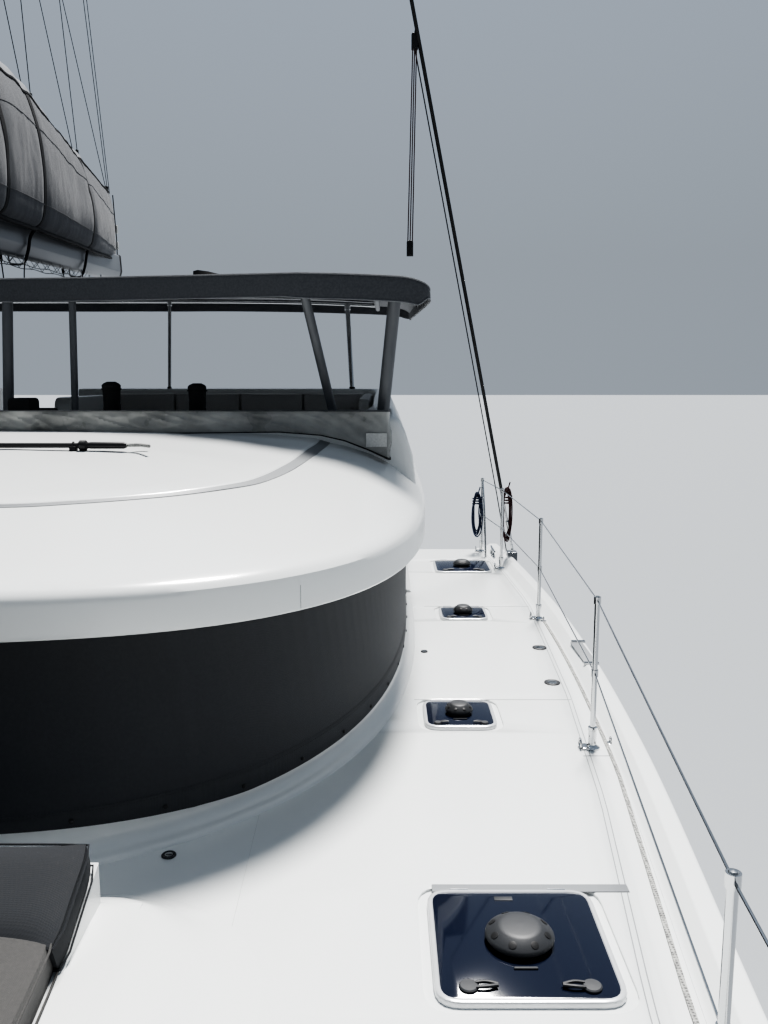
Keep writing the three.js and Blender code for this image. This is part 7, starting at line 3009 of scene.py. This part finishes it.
    def stair(self) -> None:
        """Makes the stair to the upper cockpit: two stiles and treads with anti-slip faces."""
        form = Form("upper_stair_steps")
        low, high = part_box("upper_stair")
        for sign in (-1, 1):
            x = -0.55 + sign * 0.25
            path = [(x, 5.755, low[2] + 0.002), (x, 5.57, high[2] - 0.06), (x, 5.555, high[2] - 0.015)]
            form.tube(path, 0.0145, self.skins["stainless"], 14)
        for i in range(5):
            share = (i + 1) / 5.5
            y, z = lerp(5.755, 5.555, share), lerp(1.25, 2.90, share)
            if y + 0.06 > high[1] or z > high[2]:
                continue
            form.box((-0.79, y - 0.045, z - 0.014), (-0.31, y + 0.055, z + 0.006), self.skins["stainless"],
                     0.005)
            form.box((-0.77, y - 0.037, z + 0.006), (-0.33, y + 0.047, z + 0.011), self.skins["teak"], 0.002)
        ride(form.done(), BOAT, "stainless", "upper_stair")

    def ladder(self) -> None:
        """Makes the bathing ladder with ringed rungs."""
        low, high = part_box("swim_ladder")
        form = Form("swim_ladder_steps")
        x, y = -3.03, 6.985
        z0 = low[2] + 0.014
        for sign in (-1, 1):
            form.tube([(x + sign * 0.16, y, z0), (x + sign * 0.16, y, high[2] - 0.004)], 0.0125,
                      self.skins["stainless"], 16)
        for z, reach in ((z0, 0.186), (0.74, 0.16), (0.96, 0.16), (1.17, 0.16)):
            form.tube([(x - reach, y, z), (x + reach, y, z)], 0.0125, self.skins["stainless"], 16)
            if reach < 0.17:
                form.box((x - 0.13, y - 0.0135, z - 0.012), (x + 0.13, y + 0.0135, z + 0.0135),
                         self.skins["black"], 0.004)
        ride(form.done(), "swim_ladder", "stainless", "swim_ladder")

    def beam(self) -> None:
        """Makes the forward beam, the striker over it, its stays and the longeron."""
        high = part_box("crossbeam")[1]
        y, z = -6.42, 1.50
        form = Form("crossbeam_tube")
        skin = self.skins["aluminium"]
        ends = high[0] - 0.002
        form.tube([(-ends, y, z), (-2.6, y, z), (2.6, y, z), (ends, y, z)], 0.104, skin, 40)
        for sign in (-1, 1):
            form.tube([(sign * 2.52, y, z), (sign * 2.56, y, z)], 0.1055, self.skins["stainless"], 40)
            stay = [(sign * 2.50, y, z + 0.10), (sign * 0.02, y, z + 0.60)]
            form.tube(stay, 0.0075, self.skins["stainless"], 12)
            form.tube([Vector(stay[0]).lerp(Vector(stay[1]), t) for t in (0.0, 0.06)], 0.013,
                      self.skins["stainless"], 12)
        form.tube([(0, y, z + 0.08), (0, y, z + 0.52), (0, y, z + 0.59), (0, y, z + 0.614)],
                  [0.043, 0.043, 0.036, 0.02], skin, 28)
        for offset in (-0.9, 0.9, -1.8, 1.8):
            form.tube([(offset - 0.012, y, z), (offset + 0.012, y, z)], 0.105, self.skins["seam"], 40)
        ride(form.done(), BOAT, "aluminium", "crossbeam")
        form = Form("longeron_moulding")
        corners = [(0.149, 1.441), (0.149, 1.638), (-0.149, 1.638), (-0.149, 1.441)]
        loop = fillet(corners, [0.045, 0.03, 0.03, 0.045], 6)
        lane = [-6.477, -6.470, -6.455, -3.33, -3.302]
        tool = Form("tool")
        tool.tube([(-0.3, y, z), (0.3, y, z)], 0.106, self.skins["gelcoat"], 40)
        form.loft([[(p.x * (0.97 if k == 0 else 1.0), at, p.y) for p in loop] for k, at in enumerate(lane)],
                  self.skins["gelcoat"])
        ride(carve(form.done(), [tool.done()]), BOAT, "gelcoat", "longeron")

    def anchor(self) -> None:
        """Makes the windlass and the anchor; the chain is set by Geometry Nodes."""
        form = Form("windlass")
        steel = self.skins["stainless"]
        profile = [(0, 1.7005), (0.128, 1.7005), (0.128, 1.72), (0.118, 1.745), (0.085, 1.762), (0.078, 1.78),
                   (0.052, 1.80)]
        profile += [(0.050, 1.83), (0.072, 1.862), (0.078, 1.872), (0.078, 1.888), (0.06, 1.90),
                    (0.02, 1.908), (0, 1.909)]
        form.lathe(profile, (0, -3.0, 0), steel, steps=40)
        blade = [(0.11 + dx, y, z) for dx, y, z in ((-0.215, -6.20, 1.327), (0, -6.435, 1.300),
                                                    (0.215, -6.20, 1.327), (0, -6.30, 1.300))]
        form.add([*blade, *[(x, y, z - 0.005 if z > 1.31 else 1.296) for x, y, z in blade]],
                 [(0, 1, 2, 3), (7, 6, 5, 4), (0, 4, 5, 1), (1, 5, 6, 2), (2, 6, 7, 3), (3, 7, 4, 0)], steel)
        shank = arc_points([(0.11, -6.17, 1.325), (0.11, -6.45, 1.322), (0.11, -6.63, 1.336)], 8)
        form.tube(shank, 0.016, steel, 12)
        form.tube([(0.11, -6.60, 1.30), (0.11, -6.66, 1.345)], 0.012, steel, 10)
        ride(form.done(), BOAT, "stainless", "anchor_gear")
        path = [(0.11, -3.04, 1.752), (0.11, -4.5, 1.722), (0.11, -6.60, 1.692), (0.11, -6.715, 1.66),
                (0.11, -6.738, 1.60),
                (0.11, -6.715, 1.45), (0.11, -6.672, 1.352)]
        chain = self.stitching.run("anchor_chain", [arc_points(path, 12)], "stainless", 0.030, 0.038, 0.019,
                                   math.pi / 2)
        ride(chain, BOAT, "stainless")

    def steering(self, side: str) -> None:
        """Makes one rudder, saildrive leg and propeller.

        Args:
            side: Either port or starboard.
        """
        sign = SIDES[side]
        x = sign * 3.05
        form = Form("rudder_blade_" + side)
        rings = []
        for k in range(13):
            t = k / 12
            z = lerp(-1.178, -0.432, t)
            lead = lerp(5.822, 5.762, t) + 0.05 * max(0.0, 1 - t / 0.12) ** 2
            trail = lerp(6.178, 6.218, t) - 0.06 * max(0.0, 1 - t / 0.12) ** 2
            half = lerp(0.020, 0.029, t) * (0.55 if k == 0 else 1.0)
            ring = []
            for j in range(24):
                turn = 2 * math.pi * j / 24
                share = 0.5 - 0.5 * math.cos(turn)
                wide = 2.6 * half * (0.742 * share**0.5 - 0.315 * share - 0.879 * share**2 + 0.711 * share**3
                                     - 0.254 * share**4)
                ring.append((x + math.copysign(max(wide, 0.001), math.sin(turn)),
                             lerp(lead, trail, share), z))
            rings.append(ring)
        form.loft(rings, self.skins["antifouling"])
        form.tube([(x, 5.95, -0.50), (x, 5.95, -0.412)], 0.0265, self.skins["stainless"], 24)
        ride(form.done(), "rudder_" + side, "antifouling", "rudder_" + side)
        form = Form("saildrive_leg_" + side)
        rings = []
        for k in range(9):
            t = k / 8
            z = lerp(-0.449, -0.87, t)
            lead, trail, half = lerp(4.395, 4.49, t), 4.752, lerp(0.052, 0.038, t)
            ring = []
            for j in range(20):
                turn = 2 * math.pi * j / 20
                share = 0.5 - 0.5 * math.cos(turn)
                ring.append((x + half * math.sin(turn), lerp(lead, trail, share), z))
            rings.append(ring)
        form.loft(rings, self.skins["grey_tube"])
        body = [(0, 4.342), (0.012, 4.345), (0.034, 4.38), (0.052, 4.44), (0.058, 4.60), (0.060, 4.80),
                (0.0585, 4.856), (0, 4.856)]
        form.lathe([(r, at) for r, at in body], (x, 0, -0.87), self.skins["grey_tube"], (0, 1, 0), 28)
        ride(form.done(), BOAT, "grey_tube", "saildrive_" + side)
        form = Form("propeller_blades_" + side)
        bronze = self.skins["bronze"]
        hub = [(0, 4.862), (0.054, 4.862), (0.052, 4.93), (0.044, 4.975), (0.028, 5.004), (0.01, 5.009),
               (0, 5.009)]
        form.lathe(hub, (x, 0, -0.87), bronze, (0, 1, 0), 28)
        for spoke in range(3):
            turn = 2 * math.pi * spoke / 3 + math.pi / 2
            way = Vector((math.cos(turn), 0, math.sin(turn)))
            side_way = Vector((-math.sin(turn), 0, math.cos(turn)))
            rings = []
            for k in range(10):
                t = k / 9
                radius = lerp(0.045, 0.226, t)
                chord = 0.060 * (math.sin(math.pi * min(1.0, 0.25 + 0.75 * t)) ** 0.6 + 0.03)
                pitch = lerp(1.05, 0.42, t)
                along = side_way * math.cos(pitch) + Vector((0, 1, 0)) * math.sin(pitch)
                thick = (side_way * -math.sin(pitch) + Vector((0, 1, 0))
                         * math.cos(pitch)) * lerp(0.006, 0.0016, t)
                heart = Vector((x, 4.935, -0.87)) + way * radius
                ring = []
                for j in range(12):
                    a = 2 * math.pi * j / 12
                    ring.append(heart + along * chord * math.cos(a) + thick * math.sin(a))
                rings.append(ring)
            form.loft(rings, bronze)
        ride(form.done(), "propeller_" + side, "bronze", "propeller_" + side)

    def lockers(self, side: str) -> None:
        """Makes one locker lid with its grip.

        Args:
            side: Either port or starboard.
        """
        low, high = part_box("locker_lid_" + side)
        form = Form("locker_lid_top_" + side)
        corners = [(high[0], low[1]), (high[0], high[1]), (low[0], high[1]), (low[0], low[1])]
        form.slab(fillet(corners, [0.06] * 4, 8), low[2] + 0.001, DECK + 0.0115, self.skins["deck"], 0.006)
        middle = (low[0] + high[0]) / 2
        path = [(middle - 0.055, low[1] + 0.035, DECK + 0.010), (middle - 0.05, low[1] + 0.035, DECK + 0.015),
                (middle + 0.05, low[1] + 0.035, DECK + 0.015), (middle + 0.055, low[1] + 0.035, DECK + 0.010)]
        form.tube(path, 0.0045, self.skins["stainless"], 10)
        ride(form.done(), "locker_lid_" + side, "gelcoat", "locker_lid_" + side)

    def stitches(self) -> None:
        """Sets the stitches of the cover's hem, one small thread at a time."""
        line = resampled([p for p in plan(WALL_A, WALL_B, WALL_END) if p.y < 3.2], 300)
        paths = []
        for height in (1.892, 1.901):
            path = []
            for i, p in enumerate(line):
                drop = 0.066 * min(max((abs(p.x) - 1.35) / 0.8, 0.0), 1.0) * (1.93 - height) / 0.084
                path.append((*(p + outward(line, i) * 0.0185), height - drop))
            paths.append(path)
        made = self.stitching.run("cover_stitches", paths, "strap", 0.012, 0.007, 0.0016)
        ride(made, BOAT, "cover")

    def build(self) -> None:
        """Makes all of them."""
        self.upper_bench()
        self.helm_seat()
        self.cockpit()
        self.door()
        self.stair()
        self.ladder()
        self.beam()
        self.anchor()
        for side in SIDES:
            self.steering(side)
            self.lockers(side)
        self.stitches()


# Restyled solids


def soften_group() -> bpy.types.NodeTree:
    """Returns Geometry Nodes that weld a solid's points and smooth its shading by angle.

    Returns:
        The Geometry Nodes group.
    """
    tree = bpy.data.node_groups.new("soften", "GeometryNodeTree")
    tree.interface.new_socket("Solid", in_out="INPUT", socket_type="NodeSocketGeometry")
    tree.interface.new_socket("Soft", in_out="OUTPUT", socket_type="NodeSocketGeometry")
    nodes, links = tree.nodes, tree.links
    source, sink = nodes.new("NodeGroupInput"), nodes.new("NodeGroupOutput")
    weld = nodes.new("GeometryNodeMergeByDistance")
    weld.inputs["Distance"].default_value = 0.0001
    angle = nodes.new("GeometryNodeInputMeshEdgeAngle")
    flat = nodes.new("FunctionNodeCompare")
    flat.operation = "LESS_EQUAL"
    flat.inputs[1].default_value = SMOOTH_ANGLE
    smooth = nodes.new("GeometryNodeSetShadeSmooth")
    edges = nodes.new("GeometryNodeSetShadeSmooth")
    edges.domain = "EDGE"
    links.new(source.outputs[0], weld.inputs["Geometry"])
    links.new(weld.outputs["Geometry"], smooth.inputs["Geometry"])
    links.new(angle.outputs["Unsigned Angle"], flat.inputs[0])
    links.new(smooth.outputs["Geometry"], edges.inputs["Geometry"])
    links.new(flat.outputs["Result"], edges.inputs["Shade Smooth"])
    links.new(edges.outputs["Geometry"], sink.inputs[0])
    return tree


class Restyle:
    """Gives the solids that are shown as they are their finish, welded shading and eased edges."""

    def __init__(self, frame: dict, skins: Palette) -> None:
        """Reads each solid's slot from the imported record.

        Args:
            frame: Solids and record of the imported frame.
            skins: Every material.
        """
        self.nodes = frame["nodes"]
        self.skins = skins
        self.slots = {part["node"]: part["material_slot"] for part in frame["record"]["subparts"]}
        self.tree = soften_group()

    def run(self) -> None:
        """Dresses every solid."""
        for name, obj in self.nodes.items():
            if obj.hide_render:
                continue
            obj.data.materials.clear()
            obj.data.materials.append(self.skins[self.slots[name]])
            modifier = obj.modifiers.new("soften", "NODES")
            modifier.node_group = self.tree
            bevel = obj.modifiers.new("ease", "BEVEL")
            bevel.width = 0.003
            bevel.segments = 2
            bevel.limit_method = "ANGLE"
            bevel.angle_limit = math.radians(40)
            bevel.use_clamp_overlap = True


# Stage


@dataclass
class Stage:
    """Camera, light and the pale floor at the waterline."""

    eye: tuple[float, float, float] = (2.70, -3.33, 3.40)
    tilt: tuple[float, float, float] = (81.2, 0.0, 0.0)
    lens: float = 31.1
    lamp: tuple[float, float, float] = (2.4, 9.6, 24)
    lamp_energy: float = 6.2
    lamp_angle: float = math.radians(12)
    lamp_warmth: float = 0.35
    horizon: tuple[float, ...] = (0.36, 0.40, 0.45, 1)
    zenith: tuple[float, ...] = (0.52, 0.62, 0.76, 1)
    sky_strength: float = 0.58
    floor_colour: tuple[float, ...] = (0.27, 0.285, 0.30, 1)
    floor_half: float = 150

    def camera(self) -> None:
        """Sets the camera where the photograph was taken."""
        data = bpy.data.cameras.new("camera")
        data.lens = self.lens
        data.sensor_width = 36
        data.sensor_fit = "AUTO"
        data.clip_end = 400
        made = bpy.data.objects.new("camera", data)
        made.location = self.eye
        made.rotation_euler = [math.radians(a) for a in self.tilt]
        bpy.context.scene.collection.objects.link(made)
        bpy.context.scene.camera = made

    def light(self, name: str, kind: str, place: Point, aim: Point, energy: float, size: float,
              warm: float) -> None:
        """Adds one lamp that points from a place to an aim.

        Args:
            name: Name of the lamp.
            kind: Type of the lamp.
            place: Where it stands.
            aim: Where it points.
            energy: Its strength.
            size: A sun's angle in radians, or an area's width.
            warm: Share of warm tint.
        """
        data = bpy.data.lights.new(name, kind)
        data.energy = energy
        if kind == "SUN":
            data.angle = size
        else:
            data.size = size
        data.color = (1.0, 1.0 - 0.06 * warm, 1.0 - 0.14 * warm)
        made = bpy.data.objects.new(name, data)
        made.location = place
        way = Vector(aim) - Vector(place)
        made.rotation_euler = way.to_track_quat("-Z", "Y").to_euler()
        bpy.context.scene.collection.objects.link(made)
        made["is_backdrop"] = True

    def build(self) -> None:
        """Makes the stage."""
        self.camera()
        self.light("sun", "SUN", self.lamp, (0, 0, 0), self.lamp_energy, self.lamp_angle, self.lamp_warmth)
        world = bpy.data.worlds.new("sky")
        bpy.context.scene.world = world
        world.use_nodes = True
        nodes, links = world.node_tree.nodes, world.node_tree.links
        place = nodes.new("ShaderNodeTexCoord")
        parts = nodes.new("ShaderNodeSeparateXYZ")
        ramp = nodes.new("ShaderNodeValToRGB")
        ramp.color_ramp.elements[0].position = 0.56
        ramp.color_ramp.elements[0].color = self.horizon
        ramp.color_ramp.elements[1].position = 1.0
        ramp.color_ramp.elements[1].color = self.zenith
        scale = nodes.new("ShaderNodeMapRange")
        scale.inputs["From Min"].default_value = -1.0
        links.new(place.outputs["Generated"], parts.inputs[0])
        links.new(parts.outputs["Z"], scale.inputs["Value"])
        links.new(scale.outputs["Result"], ramp.inputs["Fac"])
        side = nodes.new("ShaderNodeMapRange")
        side.inputs["From Min"].default_value = -1.0
        side.inputs["To Min"].default_value = 0.45
        side.inputs["To Max"].default_value = 1.25
        dim = nodes.new("ShaderNodeVectorMath")
        dim.operation = "SCALE"
        links.new(parts.outputs["Y"], side.inputs["Value"])
        links.new(ramp.outputs["Color"], dim.inputs[0])
        links.new(side.outputs["Result"], dim.inputs["Scale"])
        links.new(dim.outputs["Vector"], nodes["Background"].inputs["Color"])
        nodes["Background"].inputs["Strength"].default_value = self.sky_strength
        floor = Form("floor")
        matte = bpy.data.materials.new("floor")
        matte.use_nodes = True
        shader = matte.node_tree.nodes["Principled BSDF"]
        shader.inputs["Base Color"].default_value = self.floor_colour
        shader.inputs["Roughness"].default_value = 0.6
        half = self.floor_half
        floor.add([(-half, -half, 0), (half, -half, 0), (half, half, 0), (-half, half, 0)], [(0, 1, 2, 3)],
                  matte)
        floor.done(recalc=False)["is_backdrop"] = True
        scene = bpy.context.scene
        scene.view_settings.view_transform = "AgX"
        scene.view_settings.look = "AgX - High Contrast"
        scene.view_settings.exposure = 0.1


def size_rows(bounds: object) -> object:
    """Returns bounds in a form that JSON can hold.

    Args:
        bounds: Bounds as the frame's module gives them.

    Returns:
        The same as lists and numbers.
    """
    if isinstance(bounds, dict):
        return {key: size_rows(value) for key, value in bounds.items()}
    if isinstance(bounds, (list, tuple, Vector)):
        return [size_rows(value) for value in bounds]
    return bounds


def main() -> None:
    """Builds the boat around its frame."""
    logging.basicConfig(level=logging.INFO, format="%(name)s %(message)s")
    for old in list(bpy.data.objects):
        bpy.data.objects.remove(old)
    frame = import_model()
    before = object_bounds()
    skins = Palette()
    stitching = Stitching(skins)
    hatches = Hatches(skins)
    Hulls(skins).build([hatches.pocket(row) for row in hatches.rows])
    hatches.build()
    Deckhouse(skins).build()
    Roof(skins).build()
    UpperCockpit(skins).build()
    Bimini(skins).build()
    rig = Rig(skins)
    rig.mast()
    rig.boom()
    rig.sail_bag()
    rig.headsail()
    rig.running()
    rig.side_lines()
    rails = Rails(skins)
    for side in SIDES:
        rig.shroud(side)
        rails.side(side)
    Foredeck(skins).build()
    Furnishings(skins, stitching).build()
    Restyle(frame, skins).run()
    Stage().build()
    {"frame": size_rows(before), "visual": size_rows(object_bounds())}


if __name__ == "__main__":
    main()
